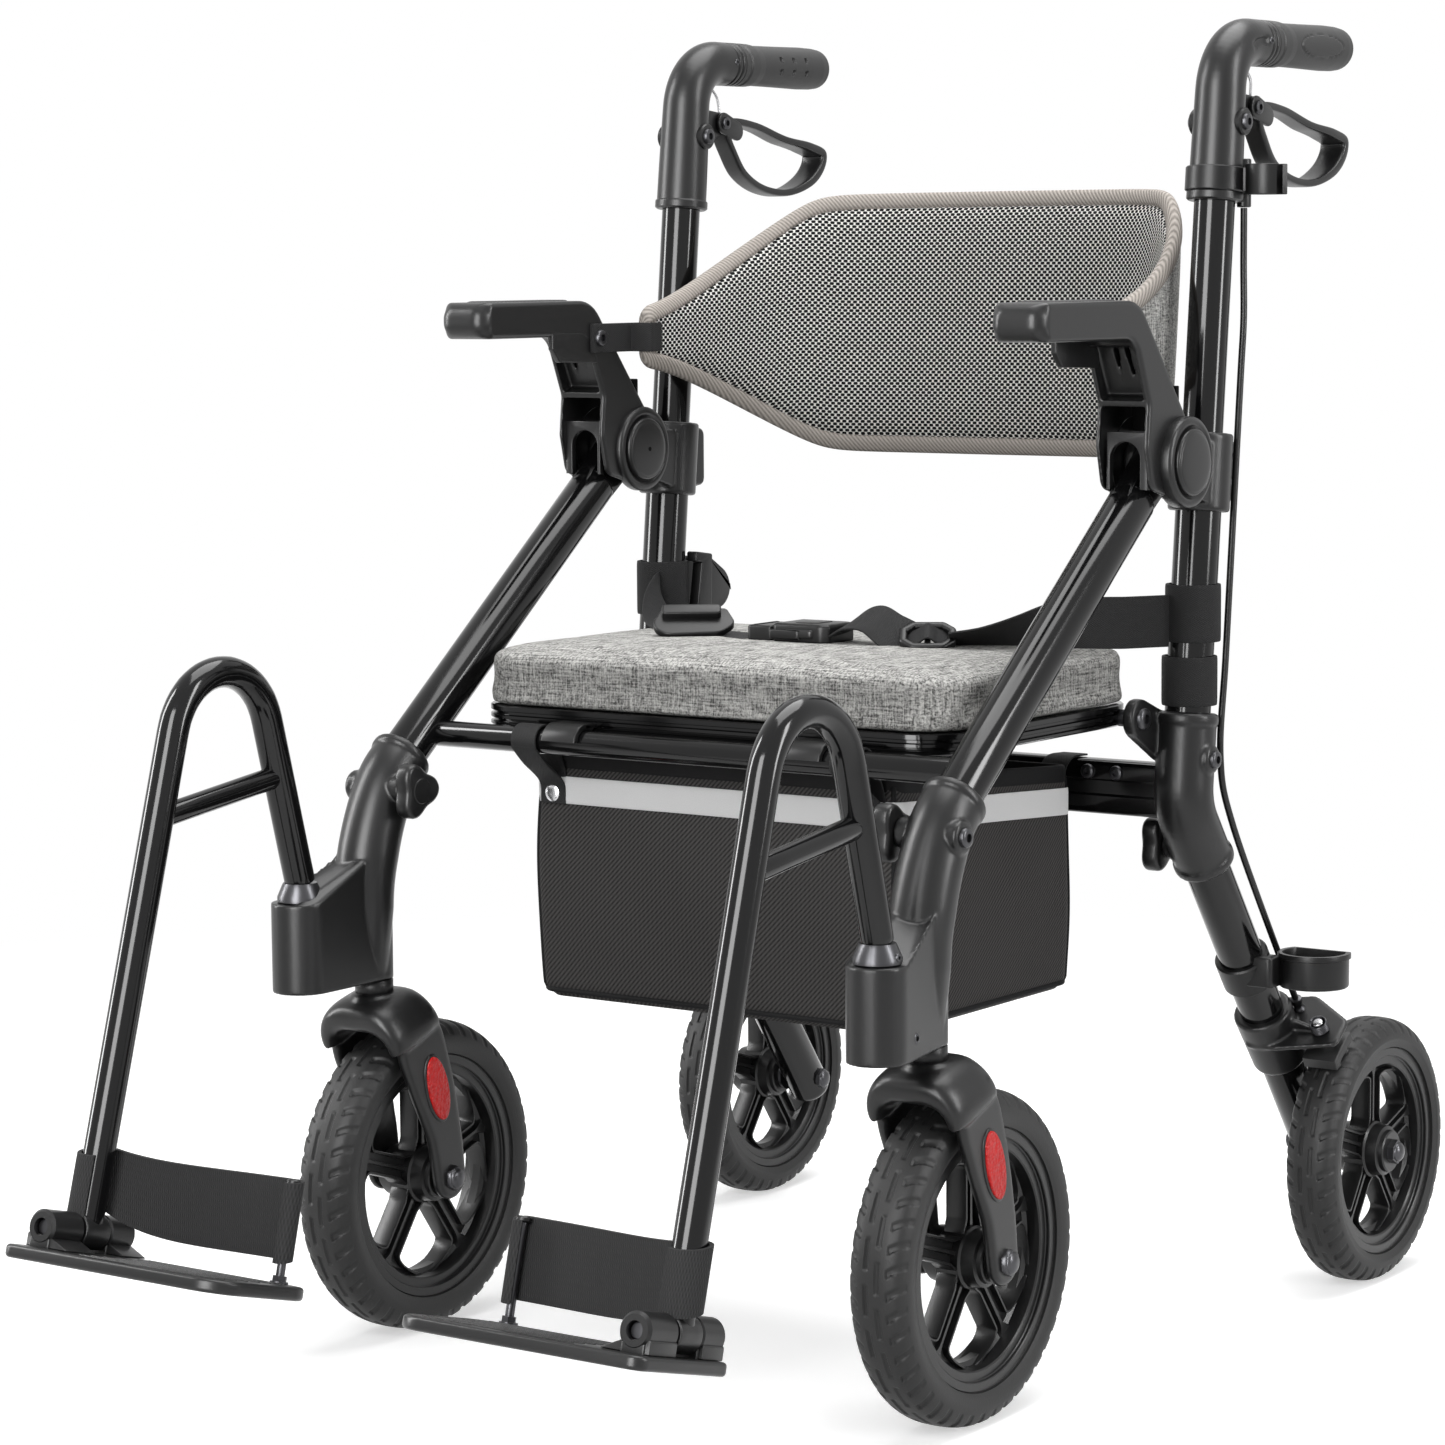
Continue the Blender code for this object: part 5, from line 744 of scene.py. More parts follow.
class WALKER_OT_tubes(bpy.types.Operator):
    """Draws the frame's tubes: round profiles carried along straight axes"""
    bl_idname = "walker.tubes"
    bl_label = "Tubes"

    def execute(self, context):
        pair("upright", "rear_frame", [(tube(upright(0.4085), upright(BRACKET_TOP - 0.0005), TUBE), "gloss_black")],
             ["upright"])
        end = REAR_HUB[0] - SIDE_X + 0.0225
        axle = REAR_AXLE
        pair("rear_leg", "rear_frame", [
            (rod(leg(0.0185), leg(LEG_LENGTH + TUBE), TUBE, 0.006), "gloss_black"),
            (rod(axle - X * 0.018, axle + X * (end + 0.003), 0.006), "steel"),
            (stack([(0.0125, 0), (0.0125, 0.0025), (0.0095, 0.003)], axle + X * TUBE * 0.99, X), "dark_steel"),
            (nut(axle + X * (end + 0.0006), X, 0.0095, 0.009), "dark_steel"),
            (nut(axle - X * TUBE * 0.98, -X, 0.0085, 0.006), "dark_steel")], ["rear_leg"])
        neck = front(0.060)
        tongue = slab(link(PIVOT[1:], 0.0183, neck[1:], TUBE * 0.9), -0.0078, 0.0078, 0.0015)
        pair("front_tube", "front_frame", [
            (rod(front(0.038), front(FRONT_LENGTH + 0.040), TUBE, 0.007), "gloss_black"), (tongue, "gloss_black")],
            ["front_tube"])
        pair("handle_tube", "handle", [(tube(upright(0.560), upright(0.889), HANDLE_TUBE), "gloss_black")],
             ["handle_tube"])
        half = SIDE_X - TUBE * 0.75
        piece("front_cross_tube", "front_frame", [(rod(CROSS - X * half, CROSS + X * half, 0.0095), "gloss_black")],
              ["front_cross_tube"])
        a, b = 0.009, 0.020
        outline = rounded([(-a, -b, 0.004), (a, -b, 0.004), (a, b, 0.004), (-a, b, 0.004), (-a, 0.0062, 0.0007),
                           (-a + 0.0018, 0.005, 0.0007), (-a + 0.0018, -0.005, 0.0007), (-a, -0.0062, 0.0007)])
        span = SIDE_X - JOINT * 0.85
        parts = [(slab(outline, -span, span, 0.001, (BEAM, Y, Z)), "gloss_black")]
        for x in (-0.184, -0.160, 0.160, 0.184):
            parts.append((bolt(np.array([x, BEAM[1] - a, BEAM[2] + 0.0115]), -Y, 0.0055, 0.003), "dark_steel"))
        piece("rear_cross_beam", "rear_frame", parts, ["rear_cross_beam"])
        return {"FINISHED"}


class WALKER_OT_castings(bpy.types.Operator):
    """Draws the joints, brackets and forks: overlapping bars and slabs run together as mouldings"""
    bl_idname = "walker.castings"
    bl_label = "Castings"

    def rear_joint(self, voxel):
        path, scale = round_ends(bent([upright(JOINT_TOP), REAR_BEND, leg(0.058)], 0.043, 30), JOINT, 0.0025)
        middle = upright(JOINT_TOP - 0.0203)
        tab_in = SEAT_HALF + 0.0057 - SIDE_X
        tab = slab(link(SEAT_PIVOT[1:], 0.0145, middle[1:], 0.0174), tab_in, tab_in + 0.009, 0.0012)
        collar = stack([(JOINT, 0), (JOINT + 0.0014, 0.001), (JOINT + 0.0014, 0.007), (JOINT, 0.008)],
                       upright(JOINT_TOP - 0.009), upright(1.0) - upright(0.0))
        lower = stack([(JOINT, 0), (JOINT + 0.0014, 0.001), (JOINT + 0.0014, 0.007), (JOINT, 0.008)],
                      leg(0.049), LEG_ALONG)
        head = upright(0.4227)
        boss = stack([(0.0105, 0), (0.0105, JOINT + 0.001), (0.009, JOINT + 0.0025)], head, X, 32)
        stud = stack([(0.0112, 0), (0.0108, JOINT + 0.0042)], leg(0.041), -X, 32)
        body = moulded([sweep(path, circle(48, JOINT), X, scale), tab, collar, lower, boss, stud], voxel, 5)
        seat_bolt = np.array([SIDE_X + tab_in + 0.009, SEAT_PIVOT[1], SEAT_PIVOT[2]])
        return [(body, "charcoal"), (bolt(head + X * (JOINT + 0.0022), X, 0.0065, 0.0035), "dark_steel"),
                (bolt(seat_bolt, X, 0.0080, 0.0040), "dark_steel")]

    def bracket(self, voxel):
        root = upright((BRACKET_LOW + BRACKET_TOP) / 2)
        up = upright(1.0) - upright(0.0)
        sleeve = stack([(0.0212, 0), (0.0225, 0.0015), (0.0225, 0.0555), (0.0212, 0.057)], upright(BRACKET_LOW), up)
        outline = link(PIVOT[1:], 0.0178, (root[1] - 0.0126, root[2]), 0.0222)
        ears = [slab(outline, 0.0087, 0.0170, 0.0012), slab(outline, -0.0170, -0.0087, 0.0012)]
        clamp = slab(box_outline(0.024, 0.046, 0.006), -0.0095, 0.0095, 0.0025,
                     (np.array([SIDE_X, root[1] + 0.0245, root[2]]), Y, Z))
        body = moulded([sleeve, *ears, clamp], voxel, 3)
        head = root + np.array([0.0092, 0.0285, 0.0])
        # Painted shade: a thin near-black slab on the clamp stands for the shade in its slit.
        slit_shade = slab(box_outline(0.017, 0.0475, 0.0004, 2), -0.0008, 0.0008, 0.0002,
                    (np.array([SIDE_X, root[1] + 0.0290, root[2]]), Y, Z))
        return [(body, "charcoal"), (bolt(head + Z * 0.011, X, 0.0045, 0.0025), "dark_steel"),
                (bolt(head - Z * 0.011, X, 0.0045, 0.0025), "dark_steel"), (slit_shade, "hollow")]

    def front_joint(self, voxel):
        """A sleeve swept down a curve runs into a block: two circles and their tangents in plan, higher at the back."""
        line = [FRONT_SOCKET[1:], (-0.0270, 0.4095), (-0.0440, 0.3760), (-0.0530, 0.3400), (-0.0530, 0.3000),
                (-0.0500, 0.2720)]
        path = spline(np.column_stack([np.full(len(line), SIDE_X), line]), 60)
        swell = np.interp(np.linspace(0, 1, 60), [0, 0.25, 0.5, 0.7, 0.85, 1], [1.0, 1.03, 1.04, 0.97, 0.80, 0.66])
        low, top = CASTER[2] + 0.0055, FOOT_SOCKET[2]
        plan = link(FOOT_SOCKET[:2], 0.0210, CASTER[:2], 0.0142, 24)
        rise = np.interp(plan[:, 1], [-0.103, -0.080, -0.063, -0.040], [top, top + 0.009, top + 0.020, top + 0.040])
        block = grid_form(np.array([np.column_stack([plan, np.full(len(plan), low)]), np.column_stack([plan, rise])]))
        collar = stack([(JOINT, 0), (JOINT + 0.0014, 0.001), (JOINT + 0.0014, 0.006), (JOINT, 0.007)],
                       FRONT_SOCKET + FRONT_ALONG * 0.0008, FRONT_ALONG)
        boss = stack([(0.0115, 0), (0.0115, JOINT + 0.001), (0.0100, JOINT + 0.0025)], FRONT_KNOB, X, 32)
        stud = stack([(0.0112, 0), (0.0108, JOINT + 0.0042)], FRONT_KNOB, -X, 32)
        body = moulded([sweep(path, circle(48, JOINT), X, swell), block, collar, boss, stud], voxel, 2)
        screw = np.array([SIDE_X + 0.0235, -0.097, CASTER[2] + 0.020])
        return [(body, "charcoal"), (bolt(FRONT_KNOB + X * (JOINT + 0.0022), X, 0.0068, 0.0036), "dark_steel"),
                (bolt(screw, X, 0.0040, 0.0024), "dark_steel")]

    def fork(self, voxel):
        axle = FRONT_AXLE
        top = CASTER[2] - 0.0045
        crown = top - 0.021
        inner, outer = 0.0265, 0.0355
        head = np.array([SIDE_X, CASTER[1], top])
        bow = spline([(0.0, axle[2]), (-0.006, axle[2] + 0.035), (-0.020, axle[2] + 0.075), (-0.040, crown + 0.004)], 24)
        wide = np.interp(np.linspace(0, 1, 24), [0, 0.35, 0.65, 0.85, 1.0], [0.0165, 0.0180, 0.0230, 0.0250, 0.0195])
        along = unit(np.gradient(bow, axis=0))
        beside = np.stack([along[:, 1], -along[:, 0]], -1) * wide[:, None]
        tip = math.atan2(along[0][1], along[0][0])
        turn = tip + math.pi / 2 + np.linspace(0, math.pi, 14)[1:-1]
        foot = axle[1:] + 0.0165 * np.stack([np.cos(turn), np.sin(turn)], -1)
        blade = np.concatenate([bow + beside, (bow - beside)[::-1], foot])
        legs = [slab(blade, inner, outer, 0.0043, steps=6), slab(blade, -outer, -inner, 0.0043, steps=6)]
        middle = (inner + outer) / 2
        arch = bent([(SIDE_X - middle, CASTER[1] * 0.82, crown - 0.012), (SIDE_X - middle, CASTER[1], top - 0.0125),
                     (SIDE_X + middle, CASTER[1], top - 0.0125), (SIDE_X + middle, CASTER[1] * 0.82, crown - 0.012)],
                    0.021, 50)
        thick = np.interp(np.linspace(0, 1, 50), [0, 0.3, 0.7, 1], [0.0070, 0.0118, 0.0118, 0.0070])
        tilt = Y * math.cos(0.24) + Z * math.sin(0.24)
        hood = sweep(arch, oval(40, 1.0, 1.0, 3.0), tilt, np.stack([np.full(50, 0.0275), thick], -1))
        collar = stack([(0.0205, 0), (0.0190, 0.006), (0.0155, 0.0105)], head - Z * 0.0105, Z)
        body = moulded([*legs, hood, collar], voxel, 8)
        lean = math.atan2(-CASTER[1] * 0.8, crown - axle[2])
        ring = oval(48, 1.0, 1.0)
        middle_glass = np.array([CASTER[1] * 0.4, axle[2] + 0.07])
        parts = [(body, "charcoal"),
                 (stack([(0.0132, 0), (0.0140, 0.0008), (0.0140, 0.0098), (0.0132, 0.0104)], head - Z * 0.0006, Z),
                  "black_plastic"),
                 (rod(head - Z * 0.012, head + Z * 0.048, 0.008), "steel"),
                 (rod(axle - X * outer * 0.98, axle + X * outer * 0.98, 0.006), "steel")]
        for side in (1, -1):
            for grow, rise, look in ((1.18, 0.0010, "charcoal"), (1.0, 0.0024, "red")):
                flat = ring * np.array([0.011, 0.025]) * (1 + (grow - 1) * np.array([1.0, 0.45]))
                tilted = np.stack([flat[:, 0] * math.cos(lean) - flat[:, 1] * math.sin(lean),
                                   flat[:, 0] * math.sin(lean) + flat[:, 1] * math.cos(lean)], -1) + middle_glass
                low, high = sorted((side * (outer - 0.0015), side * (outer + rise)))
                parts.append((slab(tilted, low, high, 0.0009), look))
            parts.append((nut(axle + X * side * (outer - 0.0004), X * side, 0.0095, 0.0072), "dark_steel"))
        return parts

    def brake(self, voxel):
        middle = LEG_LENGTH - REAR_RADIUS - 0.0225
        out = REAR_HUB[0] - SIDE_X
        sleeve = stack([(0.0212, 0), (0.0225, 0.0015), (0.0212, 0.050), (0.0195, 0.053)], leg(middle - 0.022), LEG_ALONG)
        tip = out + 0.017
        outline = rounded([(-0.012, -0.0225, 0.004), (0.014, -0.0225, 0.006), (tip, -0.012, 0.006), (tip, 0.014, 0.008),
                           (0.026, 0.036, 0.010), (-0.008, 0.030, 0.008)])
        wing = slab(outline, 0.0, 0.0042, 0.0014, (leg(middle), X, LEG_BACK))
        rib = slab(rounded([(0.012, 0.002, 0.001), (out + 0.010, 0.002, 0.003), (0.020, 0.016, 0.004),
                            (0.012, 0.016, 0.001)]), -0.0018, 0.0018, 0.0006, (leg(middle), X, -LEG_ALONG))
        body = moulded([sleeve, wing, rib], voxel, 3)
        foot = leg(middle, 0.020, 0.018)
        barrel = stack([(0.0030, 0), (0.0045, 0.0008), (0.0045, 0.006), (0.0035, 0.0066), (0.0035, 0.011),
                        (0.0045, 0.0116), (0.0045, 0.0155), (0.003, 0.0163)], foot + LEG_ALONG * 0.0002, -LEG_ALONG, 24)
        turns = np.linspace(0, 5.5 * TAU, 130)
        stem = leg(middle, 0, out)
        coil = (stem + np.outer(np.cos(turns), X) * 0.0062 + np.outer(np.sin(turns), LEG_BACK) * 0.0062
                - np.outer(0.005 + turns / turns[-1] * 0.0085, LEG_ALONG))
        spring = sweep(coil, circle(8, 0.0008), LEG_ALONG)
        return [(body, "charcoal"), (barrel, "dark_steel"), (spring, "dark_steel")]

    def execute(self, context):
        voxel = context.scene.walker_sizes.moulding_voxel * 1.0
        pair("rear_joint", "rear_frame", self.rear_joint(voxel), ["rear_joint"], angle=60)
        pair("arm_bracket", "rear_frame", self.bracket(voxel), ["arm_bracket"], angle=60)
        pair("front_joint", "front_frame", self.front_joint(voxel), ["front_joint"], angle=60)
        pair("caster_fork", "caster", self.fork(voxel), ["caster_fork"], angle=60)
        pair("brake_housing", "rear_frame", self.brake(voxel), ["brake_housing"], angle=60)
        return {"FINISHED"}


class WALKER_OT_wheels(bpy.types.Operator):
    """Draws the five-spoke wheels and their tyres: turned rims, spokes as grids of radius and angle, carved treads"""
    bl_idname = "walker.wheels"
    bl_label = "Wheels"

    def rim(self, centre, radius, width, depth):
        """Turns the stepped profile of a rim about the axle."""
        seat = radius - depth
        lip, half, inner = seat + 0.004, width / 2 - 0.004, seat - 0.010
        near = [(seat, half - 0.004), (lip, half - 0.0008), (lip - 0.0008, half), (lip - 0.0062, half),
                (lip - 0.0068, half - 0.0006), (lip - 0.0068, half - 0.0026), (lip - 0.0074, half - 0.0032),
                (inner + 0.0012, half - 0.0032), (inner + 0.0002, half - 0.0042), (inner - 0.0008, 0.0055),
                (inner - 0.0040, 0.0035)]
        far = [(r, -x) for r, x in reversed(near)]
        return revolve(near + far, centre, X, 96, True)

    def spokes(self, centre, radius, depth, hub):
        """Each spoke is a grid of radius and angle: its half angle narrows from hub to waist and flares to the rim,
        and its thickness stands up in two edge flanges and a middle rib."""
        inner = radius - depth - 0.0085
        share = np.linspace(0, 1, 44)
        reach = hub * 0.9 + (inner - hub * 0.9) * share
        waist = np.arcsin(np.minimum(0.97, 0.0088 / reach))
        fill = np.maximum(1 - ease(share / 0.20), ease((share - 0.74) / 0.26) ** 1.6)
        half = waist + (math.pi / 5 - waist) * fill
        across = np.array([-1, -0.97, -0.80, -0.75, -0.17, -0.13, 0.13, 0.17, 0.75, 0.80, 0.97, 1])
        height = np.array([0.0074, 0.0080, 0.0080, 0.0034, 0.0030, 0.0066, 0.0066, 0.0030, 0.0034, 0.0080, 0.0080,
                           0.0074])
        loop = np.concatenate([np.stack([across, height], -1), np.stack([across[::-1], -height[::-1]], -1)])
        forms = []
        for number in range(5):
            angle = math.pi / 2 + number * TAU / 5 + half[:, None] * loop[None, :, 0]
            grid = np.stack([np.broadcast_to(loop[None, :, 1], angle.shape), reach[:, None] * np.cos(angle),
                             reach[:, None] * np.sin(angle)], -1) + centre
            forms.append(grid_form(grid))
        return forms

    def hub(self, centre, hub, half):
        near = [(0.0066, half - 0.0006), (0.0072, half), (hub * 0.78, half), (hub * 0.84, half - 0.0008),
                (hub * 0.86, half - 0.004), (hub, half - 0.005), (hub * 1.06, half * 0.42), (hub * 1.14, half * 0.36)]
        far = [(r, -x) for r, x in reversed(near)]
        return revolve(near + far, centre, X, 64, True)

    def tyre(self, centre, radius, width, depth, count, groove):
        """A tyre's section carried round the axle, with slanted shoulder grooves and two rows of dashes cut in."""
        seat = radius - depth
        lip, half, side = seat + 0.0043, width / 2 - 0.0043, width / 2
        knots = np.array([(0.0, radius), (0.30, radius - 0.0002), (0.56, radius - 0.0013), (0.80, radius - 0.0042),
                          (0.955, radius - 0.0095), (1.0, radius - 0.0150), (0.965, lip + 0.0040), (0.90, lip)])
        outer = spline(knots, 44)
        crown = np.concatenate([outer[::-1] * np.array([-1, 1]), outer[1:]])
        section = np.concatenate([crown * np.array([side, 1]), [(half, lip), (half - 0.004, seat + 0.0003),
                                                                 (-half + 0.004, seat + 0.0003), (-half, lip)]])
        rows = count * 16
        angle = np.arange(rows)[:, None] * TAU / rows
        x = np.abs(section[None, :, 0]) / side
        tread = (section[None, :, 1] > radius - 0.0125)
        lean = np.sign(section[None, :, 0]) * 0.25
        phase = (angle * count / TAU + lean + 0.9 * (x - 0.5) ** 1.0) % 1.0
        bar_cut = ease((0.20 - np.abs(phase - 0.5)) / 0.07)
        shoulder = ease((x - 0.46) / 0.05) * ease((0.985 - x) / 0.04) * bar_cut
        dash = (angle * count / TAU / 2 + np.sign(section[None, :, 0]) * 0.25) % 1.0
        middle = ease((0.075 - np.abs(x - 0.20)) / 0.03) * ease((0.36 - np.abs(dash - 0.5)) / 0.03)
        rise = section[None, :, 1] - tread * groove * np.maximum(shoulder, middle * 0.8)
        grid = np.stack([np.broadcast_to(section[None, :, 0], rise.shape), rise * np.cos(angle), rise * np.sin(angle)],
                        -1) + centre
        return grid_form(grid, wrap_rows=True)

    def execute(self, context):
        groove = context.scene.walker_sizes.tread_groove
        for name, centre, radius, width, depth, count in (
                ("front", FRONT_AXLE, FRONT_RADIUS, 0.045, 0.029, 46), ("rear", REAR_HUB, REAR_RADIUS, 0.041, 0.026, 42)):
            half = width / 2 + 0.002
            parts = [(self.rim(centre, radius, width, depth), "charcoal"), (self.hub(centre, 0.019, half), "charcoal")]
            parts += [(form, "charcoal") for form in self.spokes(centre, radius, depth, 0.019)]
            pair(name + "_wheel", name + "_wheel", parts, [name + "_wheel"])
            pair(name + "_tyre", name + "_wheel", [(self.tyre(centre, radius, width, depth, count, groove), "tyre")],
                 [name + "_tyre"])
        return {"FINISHED"}


class WALKER_OT_knobs(bpy.types.Operator):
    """Draws the three-lobed clamp knobs: a lobed outline made thick, with a cap"""
    bl_idname = "walker.knobs"
    bl_label = "Knobs"

    def execute(self, context):
        angle = np.arange(72) * TAU / 72
        reach = 0.018 + 0.0035 * np.cos(3 * angle)
        outline = np.stack([reach * np.cos(angle), reach * np.sin(angle)], -1)
        face = -JOINT - 0.0048
        for name, centre in (("front_knob", FRONT_KNOB), ("rear_knob", REAR_KNOB)):
            place = (np.array([SIDE_X, centre[1], centre[2]]), Y, Z)
            cap = np.array([SIDE_X + face - 0.0138, centre[1], centre[2]])
            pair(name, name, [
                (slab(outline, face - 0.014, face, 0.0035, place), "charcoal"),
                (stack([(0.0095, -0.002), (0.0095, 0.0002), (0.0088, 0.0008)], cap, -X, 32), "black_plastic"),
                (rod(cap + X * 0.0095, cap + X * 0.016, 0.0038), "steel")], [name])
        return {"FINISHED"}


class WALKER_OT_handles(bpy.types.Operator):
    """Draws the handles, grips and brake levers: profiles carried along bent axes and closed loops"""
    bl_idname = "walker.handles"
    bl_label = "Handles"

    def sleeve(self):
        """A round section carried up the sleeve and over its elbow; a slot and ring grooves are pressed into it."""
        path = bent([upright(SLEEVE_LOW), upright(GRIP_Z), (SIDE_X, GRIP_START - 0.0003, GRIP_Z)], 0.039, 240)
        run = np.concatenate([[0], np.cumsum(np.linalg.norm(np.diff(path, axis=0), axis=1))])
        total = run[-1]
        radius = 0.0195 * (1 - 0.12 * ease(run / total))
        radius += 0.0012 * ease((0.0075 - run) / 0.0012)
        for back in (0.0050, 0.0105):
            radius -= 0.0012 * np.exp(-((run - total + back) / 0.0010) ** 4)
        radius -= 0.0016 * ease((0.0012 - run) / 0.0012) + 0.0010 * ease((run - total + 0.0008) / 0.0008)
        ring = circle(72)
        slot = (np.abs((run[:, None] - total + 0.030) / 0.0115) ** 6
                + np.abs((radius[:, None] * ring[None, :, 1] - 0.001) / 0.0033) ** 6)
        deep = 0.0026 * np.exp(-slot) * (ring[None, :, 0] > 0)
        section = ring[None] * (radius[:, None] - deep)[..., None]
        return sweep(path, section, X)

    def grip(self):
        """A round section carried along the grip; holes are pressed in inside, and a ring round a bare oval outside."""
        length = GRIP_END - GRIP_START - 0.0003
        share = np.concatenate([np.linspace(0, 0.93, 190), 1 - 0.07 * np.cos(np.linspace(0, math.pi / 2, 24))[1:]])
        knots = [(0, 1.00), (0.004, 1.04), (0.035, 1.04), (0.045, 0.985), (0.06, 0.985), (0.07, 1.04), (0.15, 1.03),
                 (0.22, 0.97), (0.45, 0.99), (0.75, 1.03), (0.88, 1.01), (0.93, 0.97)]
        base = np.interp(share, *zip(*knots))
        close = np.clip((share - 0.93) / 0.07, 0, 1)
        base = base * np.sqrt(np.maximum(0.0, 1 - close ** 2.2))
        radius = 0.0165 * base
        ring = circle(80)
        angle = np.arctan2(ring[:, 1], ring[:, 0])
        along = share[:, None] * length
        deep = np.zeros((len(share), len(ring)))
        arc_out = 0.0165 * angle[None]
        oval_far = np.sqrt(((along - 0.54 * length) / 0.033) ** 2 + (arc_out / 0.0088) ** 2)
        deep += 0.0007 * np.exp(-((oval_far - 1.0) / 0.045) ** 4) - 0.0004 * ease((0.97 - oval_far) / 0.06)
        arc_in = 0.0165 * (np.mod(angle, TAU) - math.pi)[None]
        for spot_along in (0.40, 0.54, 0.68):
            for spot_arc in (-0.0050, 0.0050):
                far = np.sqrt((along - spot_along * length) ** 2 + (arc_in - spot_arc) ** 2)
                deep += 0.0022 * ease((0.0026 - far) / 0.0009)
        section = ring[None] * (radius[:, None] - deep * (radius[:, None] > 0.012))[..., None]
        path = np.stack([np.full_like(share, SIDE_X), GRIP_START + 0.0003 + share * length,
                         np.full_like(share, GRIP_Z)], -1)
        return sweep(path, section, X)

    def lever(self):
        """A flat band carried round a closed loop: wide at the paddle and narrow by the pivot."""
        loop = [(0.408, 0.8970), (0.444, 0.8945), (0.484, 0.8845), (0.518, 0.8800), (0.5385, 0.8735), (0.5365, 0.8585),
                (0.519, 0.8445), (0.486, 0.8360), (0.452, 0.8390), (0.425, 0.8505), (0.409, 0.868), (0.400, 0.884)]
        line = even(np.vstack([spline(loop, 300, True), [loop[0]]]), 181)[:-1]
        ahead = unit(np.roll(line, -1, 0) - np.roll(line, 1, 0))
        inward = np.stack([ahead[:, 1], -ahead[:, 0]], -1)
        thick = 0.0030 + 0.0010 * ease((line[:, 0] - 0.49) / 0.04)
        line = line + inward * thick[:, None]
        path = np.stack([np.full(len(line), SIDE_X), line[:, 0], line[:, 1]], -1)
        wide = 0.0078 + 0.0030 * ease((line[:, 0] - 0.45) / 0.07)
        band = sweep(path, oval(32, 1.0, 1.0, 5.0), X, np.stack([wide, thick], -1), True)
        cheek = link(LEVER[1:], 0.0085, (LEVER[1] + 0.018, LEVER[2] - 0.006), 0.0075)
        return [(band, "charcoal"), (slab(cheek, 0.0052, 0.0085, 0.0010), "charcoal"),
                (slab(cheek, -0.0085, -0.0052, 0.0010), "charcoal"),
                (bolt(LEVER + X * 0.0083, X, 0.0052, 0.0028), "dark_steel"),
                (bolt(LEVER - X * 0.0083, -X, 0.0052, 0.0028), "dark_steel")]

    def execute(self, context):
        root = upright(LEVER[2] - 0.006, 0.0078)
        lug = slab(link(LEVER[1:], 0.0083, root[1:], 0.018), -0.0045, 0.0045, 0.0012)
        foot = upright(0.820, 0.017, 0.015)
        guide = rod(foot, foot + Z * 0.035, 0.0052, 0.0012)
        screws = []
        for way in (1, -1):
            screw = upright(0.8815, 0.002, way * 0.0192)
            small = np.array([SIDE_X + way * 0.0166, GRIP_START - 0.0145, GRIP_Z + 0.001])
            screws += [(stack([(0.0100, -0.006), (0.0100, 0.0012), (0.0090, 0.0022)], screw, X * way, 40), "charcoal"),
                       (bolt(screw + X * way * 0.0018, X * way, 0.0062, 0.0030), "dark_steel"),
                       (bolt(small, X * way, 0.0026, 0.0012), "dark_steel")]
        wire = spline([LEVER + (0.0, 0.004, 0.008), LEVER + (0.001, 0.002, 0.020), LEVER + (0.001, -0.008, 0.029)], 30)
        pair("handle", "handle", [
            (self.sleeve(), "charcoal"), (lug, "charcoal"), (guide, "charcoal"), *screws,
            (sweep(wire, circle(10, 0.0011), X), "steel"),
            (rod((SIDE_X, GRIP_START - 0.004, GRIP_Z), (SIDE_X, GRIP_END - 0.016, GRIP_Z), 0.0104), "dark_steel")],
            ["handle"])
        pair("grip", "handle", [(self.grip(), "rubber")], ["grip"])
        pair("brake_lever", "brake_lever", self.lever(), ["brake_lever"])
        return {"FINISHED"}


class WALKER_OT_brakes(bpy.types.Operator):
    """Draws the brake shoes and cables: arcs made thick, and round profiles along the cables' routes"""
    bl_idname = "walker.brakes"
    bl_label = "Brake shoes and cables"

    def execute(self, context):
        heading = math.atan2(-LEG_ALONG[2], -LEG_ALONG[1])
        low = REAR_RADIUS / math.cos(math.pi / 20) + 0.0034
        near = heading + np.radians(np.linspace(-9, 9, 13))
        far = heading + np.radians(np.linspace(8, -8, 13))
        hub = REAR_HUB[1:]
        outline = np.concatenate([hub + low * np.stack([np.cos(near), np.sin(near)], -1),
                                  hub + (low + 0.008) * np.stack([np.cos(far), np.sin(far)], -1)])
        out = REAR_HUB[0] - SIDE_X
        base = leg(LEG_LENGTH - low - 0.004, 0, out)
        top = leg(LEG_LENGTH - REAR_RADIUS - 0.0365, 0, out)
        pair("brake_shoe", "brake_shoe", [(slab(outline, out - 0.014, out + 0.014, 0.0012), "rubber"),
                                          (rod(base, top, 0.0040, 0.001, 24), "steel")], ["brake_shoe"])
        middle = LEG_LENGTH - REAR_RADIUS - 0.0225
        start = upright(0.8197, 0.017, 0.015)
        end = leg(middle - 0.0163, 0.020, 0.018)
        route = [start, start - Z * 0.04]
        route += [upright(z, 0.020, 0.018) for z in (start[2] - 0.08, 0.698, BRACKET_LOW, 0.496, 0.4227)]
        route += [leg(0.04, 0.024, 0.018), end - LEG_ALONG * 0.04, end]
        line = even(spline(route, 400), 240)
        form = sweep(line, circle(16, context.scene.walker_sizes.cable_radius), X)
        for made, side in zip(pair("brake_cable", None, [(form, "cable")], ["brake_cable"]), ("right", "left")):
            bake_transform(made)
        return {"FINISHED"}


# The soft pieces' forms

def cushion_top(x, y):
    """Height of the crowned cushion over a point of the seat: its edge plus fourth-power falls to each side."""
    middle = (SEAT_FRONT + SEAT_BACK) / 2
    across = np.minimum(1.0, np.abs(x) / SEAT_HALF)
    deep = np.minimum(1.0, np.abs(y - middle) / (SEAT_BACK - middle))
    return CUSHION_EDGE + 0.005 * (1 - across ** 4) * (1 - deep ** 4)


